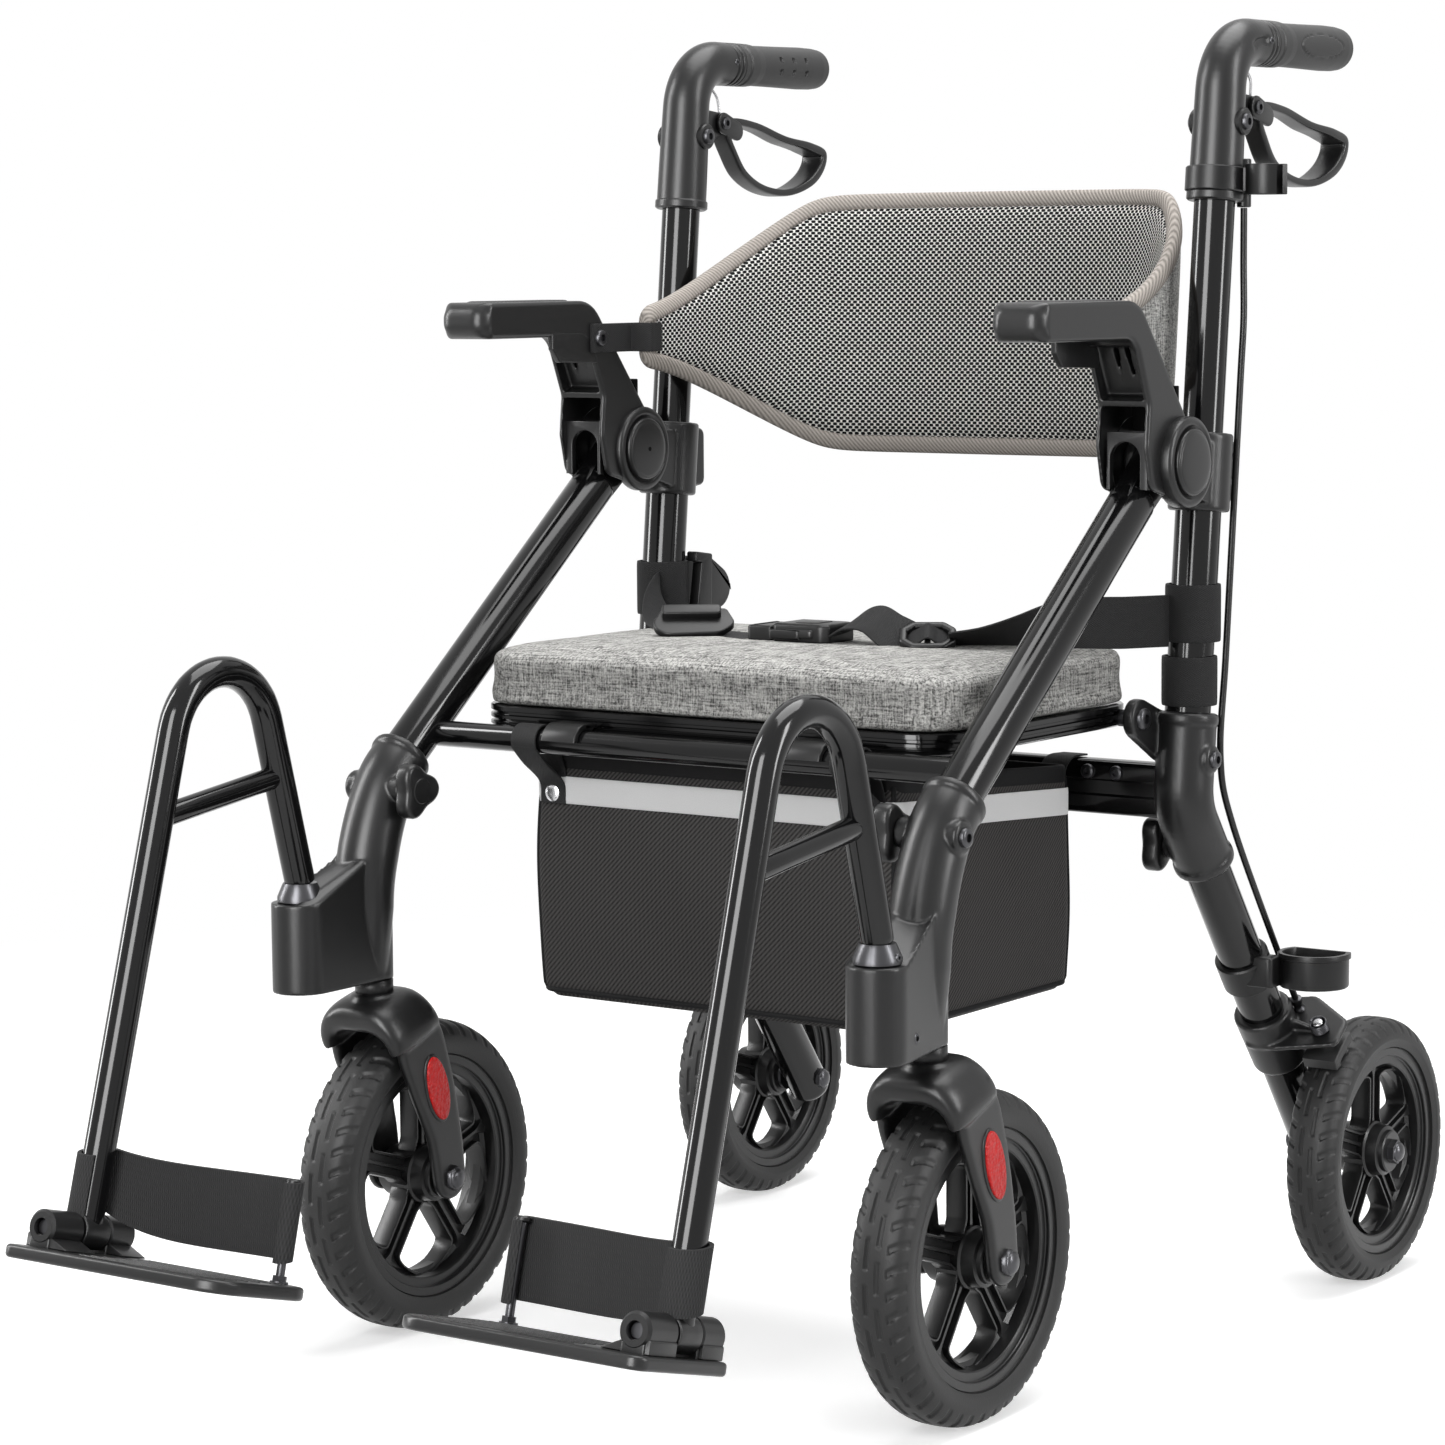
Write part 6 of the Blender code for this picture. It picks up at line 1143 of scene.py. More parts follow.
def seat_ring(inset, z=None):
    """The seat's rounded outline drawn in by an inset, at a height or on the crown of the cushion."""
    side, low, high = SEAT_HALF - inset, SEAT_FRONT + inset, SEAT_BACK - inset
    corner = max(0.042 - inset, 0.004)
    flat = rounded([(-side, low, corner), (side, low, corner), (side, high, corner), (-side, high, corner)], 10)
    flat = even(np.vstack([flat, flat[:1]]), 181)[:-1]
    heights = cushion_top(flat[:, 0], flat[:, 1]) if z is None else np.full(len(flat), z)
    return np.column_stack([flat, heights])


def filled(form, cap, still):
    """A cloth skin blown up a little by inner pressure; no point moves further than the cap or below a height."""
    scene = bpy.context.scene
    holder = bpy.data.objects.new("filling", raw_mesh("filling", form))
    scene.collection.objects.link(holder)
    skin = holder.modifiers.new("skin", "REMESH")
    skin.mode = "VOXEL"
    skin.voxel_size = 0.005
    bpy.context.view_layer.update()
    mesh = bpy.data.meshes.new_from_object(holder.evaluated_get(bpy.context.evaluated_depsgraph_get()))
    holder.modifiers.clear()
    holder.data = mesh
    rest = np.empty(len(mesh.vertices) * 3)
    mesh.vertices.foreach_get("co", rest)
    rest = rest.reshape(-1, 3)
    held = holder.vertex_groups.new(name="held")
    held.add(np.nonzero(rest[:, 2] < still)[0].tolist(), 1.0, "REPLACE")
    cloth = holder.modifiers.new("cloth", "CLOTH").settings
    cloth.quality = 6
    cloth.mass = 0.25
    cloth.tension_stiffness = cloth.compression_stiffness = 12.0
    cloth.bending_stiffness = 0.4
    cloth.vertex_group_mass = "held"
    cloth.use_pressure = True
    cloth.uniform_pressure_force = 4.0
    cloth.effector_weights.gravity = 0.0
    for number in range(1, 21):
        scene.frame_set(number)
    moved = holder.evaluated_get(bpy.context.evaluated_depsgraph_get()).data
    points = np.empty(len(moved.vertices) * 3)
    moved.vertices.foreach_get("co", points)
    step = points.reshape(-1, 3) - rest
    far = np.linalg.norm(step, axis=1, keepdims=True)
    points = rest + step * np.minimum(1.0, cap / np.maximum(far, 1e-9))
    scene.frame_set(1)
    faces = [list(polygon.vertices) for polygon in mesh.polygons]
    bpy.data.objects.remove(holder)
    return points, faces, None


def finer(made):
    """One round of subdivision to finish a soft skin."""
    step = made.modifiers.new("finer", "SUBSURF")
    step.levels = step.render_levels = 1


def back_point(share, height):
    """The backrest's middle surface: share runs along the bow from left to right, height from its low to its top edge.

    The bow is a superellipse in plan; its top and low edges run in slopes from each end and bend level as a
    hyperbola does, its corners are quarter circles, and it leans back where it is deep. The half height before the corners are rounded and
    the distance from the nearer end come with it.
    """
    angle = math.pi / 2 * (1 + share)
    swing = -np.sign(np.cos(angle)) * np.abs(np.cos(angle)) ** (2 / 3)
    depth = np.maximum(np.sin(angle), 0.0) ** (2 / 3)
    left = 1.0 - np.abs(share)
    top, low = (end + run * (slope + 1 - np.sqrt((slope - 1) ** 2 + 0.016)) / 2
                for end, run, slope in ((0.7505, 0.0865, left / 0.52), (0.7025, -0.0705, left / 0.60)))
    corner, end = 0.012, 0.198 * depth
    drop = corner - np.sqrt(np.maximum(0.0, corner ** 2 - (corner - np.minimum(end, corner)) ** 2))
    z = (top + low) / 2 + ((top - low) / 2 - drop) * height
    lean = math.tan(math.radians(8.0)) * (z - 0.7265) * depth
    return np.stack([0.205 * swing, 0.248 + 0.198 * depth + lean, z], -1), (top - low) / 2, end


class WALKER_OT_armrests(bpy.types.Operator):
    """Draws the armrests: one side view made thick and hollowed, a ribbed pad and turned pivot hubs"""
    bl_idname = "walker.armrests"
    bl_label = "Armrests"

    def arm(self, voxel):
        """The side view made thick, rounder at its nose than along its sides, less a slot, a recess and two grooves."""
        view = rounded([(0.066, 0.755, 0.012), (0.066, 0.728, 0.012), (0.195, 0.728, 0.019), (0.214, 0.682, 0.010),
                        (0.211, 0.652, 0.010), (0.218, 0.622, 0.010), (PIVOT[1], PIVOT[2] - 0.029, 0.010),
                        (PIVOT[1] + 0.0324, PIVOT[2], 0.012), (0.201, 0.755, 0.030)], 12)
        nose = ease((0.080 - view[:, 0]) / 0.012)
        band = slab(view, -0.0215, 0.0215, 0.0030 + 0.0084 * nose, steps=8)
        slot = rounded([(0.17, 0.58, 0.001), (0.33, 0.58, 0.001), (0.33, 0.692, 0.001), (0.262, 0.692, 0.004),
                        (0.232, 0.686, 0.002), (0.200, 0.676, 0.001), (0.17, 0.666, 0.001)], 4)
        recess = rounded([(0.150, 0.7235, 0.001), (0.2065, 0.7235, 0.004), (0.2230, 0.6880, 0.002),
                          (0.200, 0.6805, 0.001), (0.150, 0.664, 0.001)], 4)
        cuts = [slab(slot, -0.0178, 0.0178, 0.0004), slab(recess, -0.0172, 0.0172, 0.0008)]
        for low, high in ((-0.0030, -0.0030), (0.0085, 0.0060)):
            groove = [(high - 0.0019, 0.7228), (high + 0.0019, 0.7228), (low + 0.0004, 0.6900), (low - 0.0004, 0.6900)]
            cuts.append(slab(groove, -0.2255, -0.190, 0.0001, (X * SIDE_X, X, Z)))
        return moulded([band], voxel, 2, cuts)

    def execute(self, context):
        parts = [(self.arm(context.scene.walker_sizes.moulding_voxel * (0.85)), "charcoal")]
        web = rounded([(0.1500, 0.732, 0.001), (0.1505, 0.719, 0.002), (0.1592, 0.7090, 0.002), (0.2080, 0.7075, 0.001),
                       (0.212, 0.732, 0.001)], 4)
        parts.append((slab(web, -0.0213, -0.0165, 0.0008), "charcoal"))
        turn = np.linspace(math.pi, 0, 19)
        arch = np.concatenate([[(-0.0148, 0.622), (-0.0120, 0.622)],
                               np.stack([0.0120 * np.cos(turn), 0.6435 + 0.0120 * np.sin(turn)], -1),
                               [(0.0120, 0.622), (0.0182, 0.622), (0.0182, 0.6625), (-0.0148, 0.6625)]])
        parts.append((slab(arch, -0.2215, -0.2165, 0.0008, (X * SIDE_X, X, Z)), "charcoal"))
        # Painted shade: a thin near-black plate closes the box under the arm, standing for the shade inside it.
        shade_plate = rounded([(0.258, 0.6615, 0.001), (0.262, 0.6615, 0.001), (0.262, 0.694, 0.001), (0.258, 0.694, 0.001)], 3)
        parts.append((slab(shade_plate, -0.0182, 0.0182, 0.0004), "hollow"))
        turn = np.linspace(0, math.pi / 2, 10)
        for way, sunk in ((1, 0.0), (-1, 0.0040)):
            hub = [(0.0322, 0.0172), (0.0325, 0.0180), (0.0325, 0.0272 - sunk), (0.0321, 0.0283 - sunk),
                   (0.0310, 0.0293 - sunk), (0.0290, 0.0300 - sunk), (0.0270, 0.0300 - sunk), (0.0262, 0.0292 - sunk),
                   (0.0246, 0.0280 - sunk)]
            cap = [(0.0240, 0.0230), (0.0240, 0.0300 - sunk)]
            cap += [(0.0215 + 0.0025 * math.cos(a), 0.0300 - sunk + 0.0022 * math.sin(a)) for a in turn]
            cap += [(0.0215 * math.cos(a), 0.0322 - sunk + 0.0014 * math.sin(a)) for a in turn[1:-1]]
            parts += [(stack(form, PIVOT, X * way, 72), "charcoal") for form in (hub, cap)]
        # Painted shade: a short near-black rod at the middle of the inner cap stands for the shade in its small hole.
        parts.append((rod(PIVOT - X * 0.020, PIVOT - X * 0.0299, 0.0017, 0.0001, 16), "hollow"))
        rows = np.linspace(0.0905, 0.1795, 220)
        path = np.stack([np.full_like(rows, SIDE_X), rows, np.full_like(rows, 0.7530)], -1)
        lift = 1 + 0.22 * np.abs(np.sin(rows * math.pi / 0.0046))
        edge = np.minimum(1.0, np.minimum(rows - 0.0900, 0.1800 - rows) / 0.0015) ** 0.5
        parts.append((sweep(path, oval(36, 0.0140, 0.0024, 9.0), X, np.stack([edge, lift * edge], -1)), "black_plastic"))
        pair("armrest", "arms", parts, ["armrest"], angle=50)
        return {"FINISHED"}


class WALKER_OT_backrest(bpy.types.Operator):
    """Draws the padded backrest: a bowed surface of two parameters, given thickness along its own normals"""
    bl_idname = "walker.backrest"
    bl_label = "Backrest"

    def skin(self, share, band, low, high, sign, border):
        """One skin of the pad. Band runs from 0 to 1 between two heights; the skin swells in the middle of the pad,
        and rolls over as a half circle at the border's outer edge and at both ends."""
        _, half_height, end = back_point(share, 0.0)
        edge = 1 - border / half_height
        h = (low(edge)[:, None] + (high(edge) - low(edge))[:, None] * band[None])
        s = np.broadcast_to(share[:, None], h.shape)
        spots = back_point(s, h)[0]
        small = 1e-3
        along = back_point(np.minimum(s + small, 1), h)[0] - back_point(np.maximum(s - small, -1), h)[0]
        rise = back_point(s, h + small)[0] - back_point(s, h - small)[0]
        out = unit(np.cross(along, rise))
        far = np.abs(h) / edge[:, None]
        swell = 0.0070 if sign > 0 else 0.0015
        puffed = 0.0045 + swell * np.sqrt(np.maximum(0, 1 - np.minimum(far, 1) ** 4)) * (1 - s ** 6)
        beyond = np.clip((np.abs(h) - edge[:, None]) / (1 - edge[:, None]), 0, 1)
        rolled = 0.0045 * np.sqrt(np.maximum(0, 1 - beyond ** 4)) + 0.0016 * np.sin(math.pi * np.sqrt(beyond))
        thick = np.where(np.abs(h) <= edge[:, None] + 1e-9, puffed, rolled)
        thick = thick * np.sqrt(1 - (1 - np.minimum(1.0, end / 0.006)) ** 2)[:, None]
        run = np.concatenate([[0], np.cumsum(np.linalg.norm(np.diff(back_point(share, 0.0)[0], axis=0), axis=1))])
        cloth = np.stack([np.broadcast_to(run[:, None], h.shape), h * half_height[:, None]], -1)
        return grid_form(spots + out * thick[..., None] * sign, False, False, False, cloth)

    def execute(self, context):
        sizes = context.scene.walker_sizes
        border = sizes.border_width
        seam = (border / 0.198) / (math.pi / 2) ** (2 / 3)
        place = np.concatenate([np.linspace(-1, seam - 1, 13)[:-1], np.linspace(seam - 1, 1 - seam, 231),
                                np.linspace(1 - seam, 1, 13)[1:]])
        share = np.sign(place) * (1 - (1 - np.abs(place)) ** 1.5)
        panel, rim = np.linspace(0, 1, 61), np.linspace(0, 1, 15) ** 0.8
        inside = (lambda e: -e, lambda e: e)
        upper = (lambda e: e, lambda e: np.ones_like(e))
        lower = (lambda e: -e, lambda e: -np.ones_like(e))
        parts = [(self.skin(share[12:-12], panel, *inside, 1, border), "spacer_mesh"),
                 (self.skin(share[12:-12], panel, *inside, -1, border), "back_linen")]
        for sign in (1, -1):
            parts += [(self.skin(stop, panel, *inside, sign, border), "border") for stop in (share[:13], share[-13:])]
            parts += [(self.skin(share, rim, *sides, sign, border), "border") for sides in (upper, lower)]
        ends = []
        face = SIDE_X - 0.0228
        for side in (1, -1):
            y = np.linspace(0.1965, 0.262, 24)
            path = np.stack([np.full_like(y, side * face), y, np.full_like(y, 0.7265)], -1)
            ends.append((ribbon(path, Z, 0.022, 0.0022), "webbing"))
            tie = np.linspace(0.250, 0.2640, 12)
            path = np.stack([np.full_like(tie, side * 0.1990), tie, np.full_like(tie, 0.7265)], -1)
            ends.append((ribbon(path, Z, 0.022, 0.0022), "webbing"))
            fold = spline([(side * face, 0.238, 0.7265), (side * face, 0.2460, 0.7265), (side * 0.2080, 0.2470, 0.7265),
                           (side * 0.1990, 0.2490, 0.7265), (side * 0.1990, 0.256, 0.7265)], 60)
            ends.append((ribbon(even(fold, 40), Z, 0.022, 0.0022), "webbing"))
            screw = np.array([side * (face - 0.0008), 0.206, 0.7265])
            ends.append((bolt(screw, -X * side, 0.0062, 0.0034), "dark_steel"))
        pad = piece("backrest_pad", "arms", parts, ["backrest_pad"], angle=75)
        piece("backrest_ends", "arms", ends)
        return {"FINISHED"}


class WALKER_OT_seat(bpy.types.Operator):
    """Draws the seat: a grooved rail as a stack of rounded outlines, its hooks and a filled linen cushion"""
    bl_idname = "walker.seat"
    bl_label = "Seat"

    def execute(self, context):
        sizes = context.scene.walker_sizes
        step = 0.0162 / 9
        levels = [(0.0060, 0), (0.0035, 0.3), (0.002, 1), (0.002, 2), (0.0026, 2.2), (0.0045, 2.4), (0.0045, 3.4),
                  (0.0026, 3.6), (0.002, 3.8), (0.002, 5), (0.0026, 5.2), (0.0045, 5.4), (0.0045, 6.4), (0.0026, 6.6),
                  (0.002, 6.8), (0.002, 8.6), (0.003, 9)]
        board = grid_form(np.array([seat_ring(inset, SEAT_BOTTOM + share * step) for inset, share in levels]))
        parts = [(board, "gloss_black")]
        inner, wall = 0.0098, 0.0045
        first = np.radians(np.linspace(45, 172, 20))
        ring = np.concatenate([inner * np.stack([np.cos(first), np.sin(first)], -1),
                               (inner + wall) * np.stack([np.cos(first[::-1]), np.sin(first[::-1])], -1)]) + CROSS[1:]
        for x in (-0.105, 0.105):
            place = (X * x, Y, Z)
            parts.append((slab(ring, -0.015, 0.015, 0.001, place), "black_plastic"))
            tongue = box_outline(0.022, 0.0038, 0.001) + np.array([CROSS[1] + 0.011, CROSS[2] + inner + 0.0024])
            parts.append((slab(tongue, -0.015, 0.015, 0.0008, place), "black_plastic"))
        for side in (1, -1):
            centre = np.array([side * SEAT_HALF, SEAT_PIVOT[1], SEAT_PIVOT[2]])
            parts.append((rod(centre - X * side * 0.02, centre + X * side * 0.005, 0.0062), "dark_steel"))
            parts.append((rod(centre, centre + X * side * 0.012, 0.0048), "steel"))
        piece("seat_frame", "seat", parts, ["seat_frame"])
        slack = sizes.cushion_slack
        low, edge = SEAT_TOP + 0.0003, CUSHION_EDGE
        side = [(0.004, low), (0.001, low + 0.002), (0.0, low + 0.005)]
        side += [(0.0012 * math.sin(math.pi * k), low + 0.005 + (edge - 0.012 - low) * k) for k in np.linspace(0.1, 1, 8)]
        side += [(0.0006, edge - 0.0045), (0.0022, edge - 0.0018)]
        rings = [seat_ring(inset + slack, z) for inset, z in side]
        rings += [seat_ring(inset + slack) for inset in (0.0050, 0.010, 0.022, 0.036, 0.052, 0.070, 0.090, 0.110, 0.128)]
        form = grid_form(np.array(rings))
        form = filled(form, sizes.cushion_cap, low + 0.003)
        cushion = piece("seat_cushion", "seat", [(form, "linen")], ["seat_cushion"], angle=80)
        finer(cushion)
        return {"FINISHED"}


class WALKER_OT_bag(bpy.types.Operator):
    """Draws the cloth bag under the seat: a rounded outline carried up its walls, with bindings and loops"""
    bl_idname = "walker.bag"
    bl_label = "Bag"

    def ring(self, inset, share):
        """The bag's outline at a share of its height; the walls belly out as a sine and their rim slopes back."""
        bulge = 0.0035 * math.sin(math.pi * min(1.0, share)) - 0.005 * (1 - min(1.0, share / 0.06)) ** 2
        half, low, high = 0.155 - inset + bulge, 0.045 + inset - bulge, 0.284 - inset + min(bulge, 0.0)
        flat = rounded([(-half, low, 0.012), (half, low, 0.012), (half, high, 0.012), (-half, high, 0.012)], 8)
        flat = even(np.vstack([flat, flat[:1]]), 261)[:-1]
        rim = 0.425 - 0.017 * np.clip((flat[:, 1] - 0.045) / 0.239, 0, 1)
        fold = 0.0011 * np.sin(flat[:, 0] * 55 + 3.0 * share) * np.sin(flat[:, 1] * 60 - 4.0 * share) * math.sin(
            math.pi * min(1, share))
        out = unit(flat - np.array([0.0, 0.1645]))
        flat = flat + out * fold[:, None]
        return np.column_stack([flat, 0.2495 + (rim - 0.2495) * share])

    def shell(self):
        """Rows run from the middle of the floor, up outside, over the rim, down inside and back to the middle."""
        up = np.concatenate([np.linspace(0, 0.08, 6), np.linspace(0.1, 1.0, 28)])
        outside = [self.ring(0.0, share) for share in up]
        inside = [self.ring(0.003, share) for share in up[:0:-1]] + [self.ring(0.003, 0.018)]
        middle = np.array([0.0, 0.1645])

        def floor(edge, rise, shares):
            rows = []
            for share in shares:
                flat = middle + (edge[:, :2] - middle) * share
                rows.append(np.column_stack([flat, edge[:, 2] + rise * (1 - share ** 2)]))
            return rows

        shares = (0.0, 0.25, 0.5, 0.75, 0.92)
        rows = floor(outside[0], -0.0015, shares) + outside + inside + floor(inside[-1], -0.0015, shares[::-1])
        grid = np.array(rows)
        grid = np.concatenate([grid, grid[:, :1]], 1)
        run = np.concatenate([[0], np.cumsum(np.linalg.norm(np.diff(grid[20], axis=0), axis=1))])
        rise = np.concatenate([[0], np.cumsum(np.linalg.norm(np.diff(grid[:, 40], axis=0), axis=1))])
        return grid_form(grid, False, False, False, np.stack(np.meshgrid(run, rise), -1))

    def execute(self, context):
        parts = [(self.shell(), "bag_cloth")]
        rim = self.ring(0.0015, 1.0)
        parts.append((sweep(rim, oval(20, 0.0065, 0.0026, 5.0), Z, closed=True, cloth=True), "binding"))
        tape = self.ring(-0.0008, 0.875)
        parts.append((sweep(tape, oval(20, 0.0100, 0.0008, 6.0), Z, closed=True, cloth=True), "light_tape"))
        seam = self.ring(0.0002, 0.03)
        parts.append((sweep(seam, circle(12, 0.0022), Z, closed=True, cloth=True), "binding"))
        for corner in ((1, 1), (-1, 1), (1, -1), (-1, -1)):
            column = []
            for share in np.linspace(0.03, 0.99, 40):
                ring = self.ring(0.0003, share)
                column.append(ring[np.argmax(ring[:, 0] * corner[0] + ring[:, 1] * corner[1])])
            parts.append((sweep(np.array(column), circle(12, 0.0019), X, cloth=True), "binding"))
        turn = np.radians(np.linspace(-75, 210, 40))
        reach = 0.0095 + 0.0017
        wrap = CROSS[1:] + reach * np.stack([np.cos(turn), np.sin(turn)], -1)
        lines = [np.vstack([[(0.0445, 0.395), (0.0435, 0.412), (0.0375, 0.428)], wrap[6:], [(0.021, 0.424), (0.040, 0.409),
                                                                                          (0.0418, 0.393)]])]
        for x in (-0.138, 0.138):
            for line in lines:
                path = even(spline(np.column_stack([np.full(len(line), x), line]), 200), 120)
                parts.append((ribbon(path, X, 0.022, 0.0018), "webbing"))
            snap = np.array([x, 0.0410, 0.4005])
            parts.append((stack([(0.0062, -0.001), (0.0062, 0.0008), (0.0050, 0.0016), (0.0030, 0.0020)], snap, -Y, 32),
                          "steel"))
            top = BEAM[2] + 0.0206
            back = [(x, 0.2845, top - 0.020), (x, 0.2880, top - 0.006), (x, 0.2990, top + 0.0006), (x, 0.319, top + 0.0006)]
            parts.append((ribbon(even(spline(back, 80), 50), X, 0.022, 0.0016), "webbing"))
        bag = piece("bag", None, parts, ["bag"], angle=50)
        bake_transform(bag)
        return {"FINISHED"}


class WALKER_OT_belt(bpy.types.Operator):
    """Draws the lap belt: webbing carried along its route over the seat, bands round the uprights and a buckle"""
    bl_idname = "walker.belt"
    bl_label = "Lap belt"

    def strap(self, route):
        """A ribbon whose wide side turns from level on the seat to upright at the band; it lies on the cushion."""
        stops = even(spline(route, 300), 140)
        x, y, tilt = stops[:, 0], stops[:, 1], np.radians(np.clip(stops[:, 2], 0, 90))
        run = unit(np.column_stack([np.gradient(x), np.gradient(y), np.zeros_like(x)]))
        level = np.cross(Z, run)
        across = level * np.cos(tilt)[:, None] + Z * np.sin(tilt)[:, None]
        reach = BELT_WIDTH * 0.45
        lying = cushion_top(x, y) + 0.0018 + reach * np.sin(tilt)
        band = np.minimum(lying, BELT_LOW + BELT_WIDTH / 2)
        share = ease((np.degrees(tilt) - 70) / 20)
        path = np.column_stack([x, y, lying * (1 - share) + band * share])
        return sweep(path, oval(32, reach, 0.0010, 8.0), across, 1.0, cloth=True)

    def band(self, low, high, sign=1.0):
        """A strap wound round an upright, as a closed loop."""
        centre = upright((low + high) / 2)
        ring = circle(64, TUBE + 0.0020)
        path = np.column_stack([sign * centre[0] + ring[:, 0], centre[1] + ring[:, 1], np.full(64, centre[2])])
        return sweep(path, oval(24, (high - low) / 2, 0.0015, 8.0), Z, closed=True, cloth=True)

    def twist(self, low):
        """The strap's free length between buckle and slider: an arch whose wide side turns over as it goes."""
        path = even(spline([(0.033, 0.160, low + 0.006), (0.046, 0.160, low + 0.0165), (0.062, 0.161, low + 0.0195),
                            (0.077, 0.162, low + 0.0115), (0.092, 0.163, low + 0.0040)], 200), 50)
        turn = np.radians(np.linspace(0, 1, 50) ** 0.7 * 48)[:, None]
        return sweep(path, oval(32, 0.0165, 0.0010, 8.0), Y * np.cos(turn) + Z * np.sin(turn), 1.0, cloth=True)

    def slider(self, low):
        """A tilted frame: a round bar along an octagon, a cross bar, and the strap peaked over it."""
        run, lean = unit(np.array([0.86, 0.51, 0.0])), math.radians(30)
        rise = np.cross(Z, run) * math.cos(lean) + Z * math.sin(lean)
        middle = np.array([0.1055, 0.1665, low + 0.0075])
        ring = rounded([(-0.0225, -0.009, 0.003), (-0.0135, -0.0185, 0.003), (0.0135, -0.0185, 0.003), (0.0225, -0.009, 0.003),
                        (0.0225, 0.009, 0.003), (0.0135, 0.0185, 0.003), (-0.0135, 0.0185, 0.003), (-0.0225, 0.009, 0.003)], 4) * np.array([0.78, 0.70])
        path = middle + ring[:, :1] * run + ring[:, 1:] * rise
        out = np.cross(run, rise)
        over = np.array([(-0.016, -0.0030), (-0.007, 0.001), (0.0, 0.0058), (0.007, 0.001), (0.016, -0.0030)])
        strap = even(spline(middle + over[:, :1] * run + over[:, 1:] * out, 80), 40)
        return [(sweep(path, oval(16, 0.0036, 0.0030, 3.0), out, closed=True), "black_plastic"),
                (rod(middle - rise * 0.012, middle + rise * 0.012, 0.0024), "black_plastic"),
                (ribbon(strap, rise, 0.018, 0.0018), "webbing")]

    def execute(self, context):
        end = 0.034
        right = [(0.228, 0.2985, 90), (0.206, 0.264, 90), (0.182, 0.230, 72), (0.158, 0.202, 42), (0.138, 0.184, 25),
                 (0.120, 0.174, 18)]
        left = [(0.228, 0.2985, 90), (0.214, 0.284, 60), (0.196, 0.262, 25), (0.170, 0.232, 5), (0.125, 0.190, 0),
                (0.080, 0.164, 0), (end, 0.160, 0)]
        high = BELT_LOW + BELT_WIDTH
        low = float(cushion_top(0.0, 0.160)) + 0.0008
        tab = rounded([(-0.012, -0.025, 0.003), (0.010, -0.025, 0.006), (0.048, -0.016, 0.018), (0.048, 0.006, 0.020),
                       (0.016, 0.025, 0.016), (-0.012, 0.025, 0.003)])
        hook = rounded([(-0.011, -0.026, 0.002), (0.009, -0.026, 0.002), (0.011, 0.027, 0.002), (-0.011, 0.030, 0.002),
                        (-0.011, 0.022, 0.001), (-0.003, 0.021, 0.001)])
        lean = math.radians(35)
        across = unit(np.array([0.82, 0.57, 0.0]))
        fall = np.cross(across, Z) * math.cos(lean) - Z * math.sin(lean)
        rest = np.array([-0.092, 0.152, float(cushion_top(-0.092, 0.152)) + 0.0120])
        dish = rounded([(-0.031, 0.008, 0.012), (-0.022, -0.013, 0.004), (0.026, -0.013, 0.004), (0.033, 0.004, 0.008),
                        (0.022, 0.015, 0.012), (-0.018, 0.017, 0.012)], 8)
        board = (rest, across, fall)
        side = [(self.strap(right), "webbing"), (self.band(BELT_LOW, high), "webbing"), *self.slider(low),
                (self.twist(low), "webbing")]
        other = [(mirror(self.strap(left)), "webbing"), (self.band(BELT_LOW, high, -1.0), "webbing"),
                 (slab(tab, -0.0022, 0.0022, 0.0010, (np.array([-SIDE_X + 0.003, 0.3555, 0.526]), Y, Z)), "black_plastic"),
                 (slab(hook, -0.0050, 0.0050, 0.0012, (np.array([-SIDE_X + 0.0185, 0.3420, 0.526]), Y, Z)), "black_plastic"),
                 (slab(dish, -0.0030, 0.0030, 0.0014, board, 6), "black_plastic"),
                 (slab(box_outline(0.044, 0.011, 0.003) + np.array([0.0, -0.006]), -0.0085, 0.0085, 0.0016, board),
                  "black_plastic")]
        for name, sign, parts in (("belt_right", 1, side), ("belt_left", -1, other)):
            made = piece(name, None, parts, [name], angle=60)
            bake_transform(made)
        place = (np.array([0.0, 0.160, low]), X, Y)
        body = rounded([(-0.012, -0.020, 0.004), (0.030, -0.020, 0.008), (0.036, -0.016, 0.003), (0.036, 0.016, 0.003),
                        (0.030, 0.020, 0.008), (-0.012, 0.020, 0.004)])
        insert = rounded([(-0.036, -0.018, 0.004), (-0.014, -0.018, 0.002), (-0.014, 0.018, 0.002), (-0.036, 0.018, 0.004)])
        prong = rounded([(-0.013, -0.0225, 0.002), (0.012, -0.0225, 0.004), (0.016, -0.0185, 0.002), (-0.013, -0.0185, 0.001)])
        parts = [(slab(body, 0.0, 0.0150, 0.0030, place, 6), "black_plastic"),
                 (slab(insert, 0.0005, 0.0125, 0.0020, place, 6), "black_plastic"),
                 (slab(prong, 0.0035, 0.0105, 0.0012, place), "black_plastic"),
                 (slab(prong * np.array([1, -1]), 0.0035, 0.0105, 0.0012, place), "black_plastic"),
                 # Painted shade: a thin near-black slab on the buckle stands for the shade in its slot.
                 (slab(box_outline(0.0035, 0.030, 0.001) + np.array([-0.030, 0.0]), 0.0120, 0.0128, 0.0003, place), "hollow"),
                 (slab(box_outline(0.026, 0.044, 0.004) + np.array([0.012, 0.0]), 0.0045, 0.0110, 0.0016, place),
                  "charcoal"),
                 (slab(box_outline(0.020, 0.024, 0.004) + np.array([0.012, 0.0]), 0.0140, 0.0156, 0.0006, place),
                  "black_plastic")]
        buckle = piece("belt_buckle", None, parts, ["belt_buckle"])
        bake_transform(buckle)
        strap = [(self.band(0.461, 0.497), "webbing")]
        piece("cable_strap", "rear_frame", strap, ["cable_strap"])
        return {"FINISHED"}


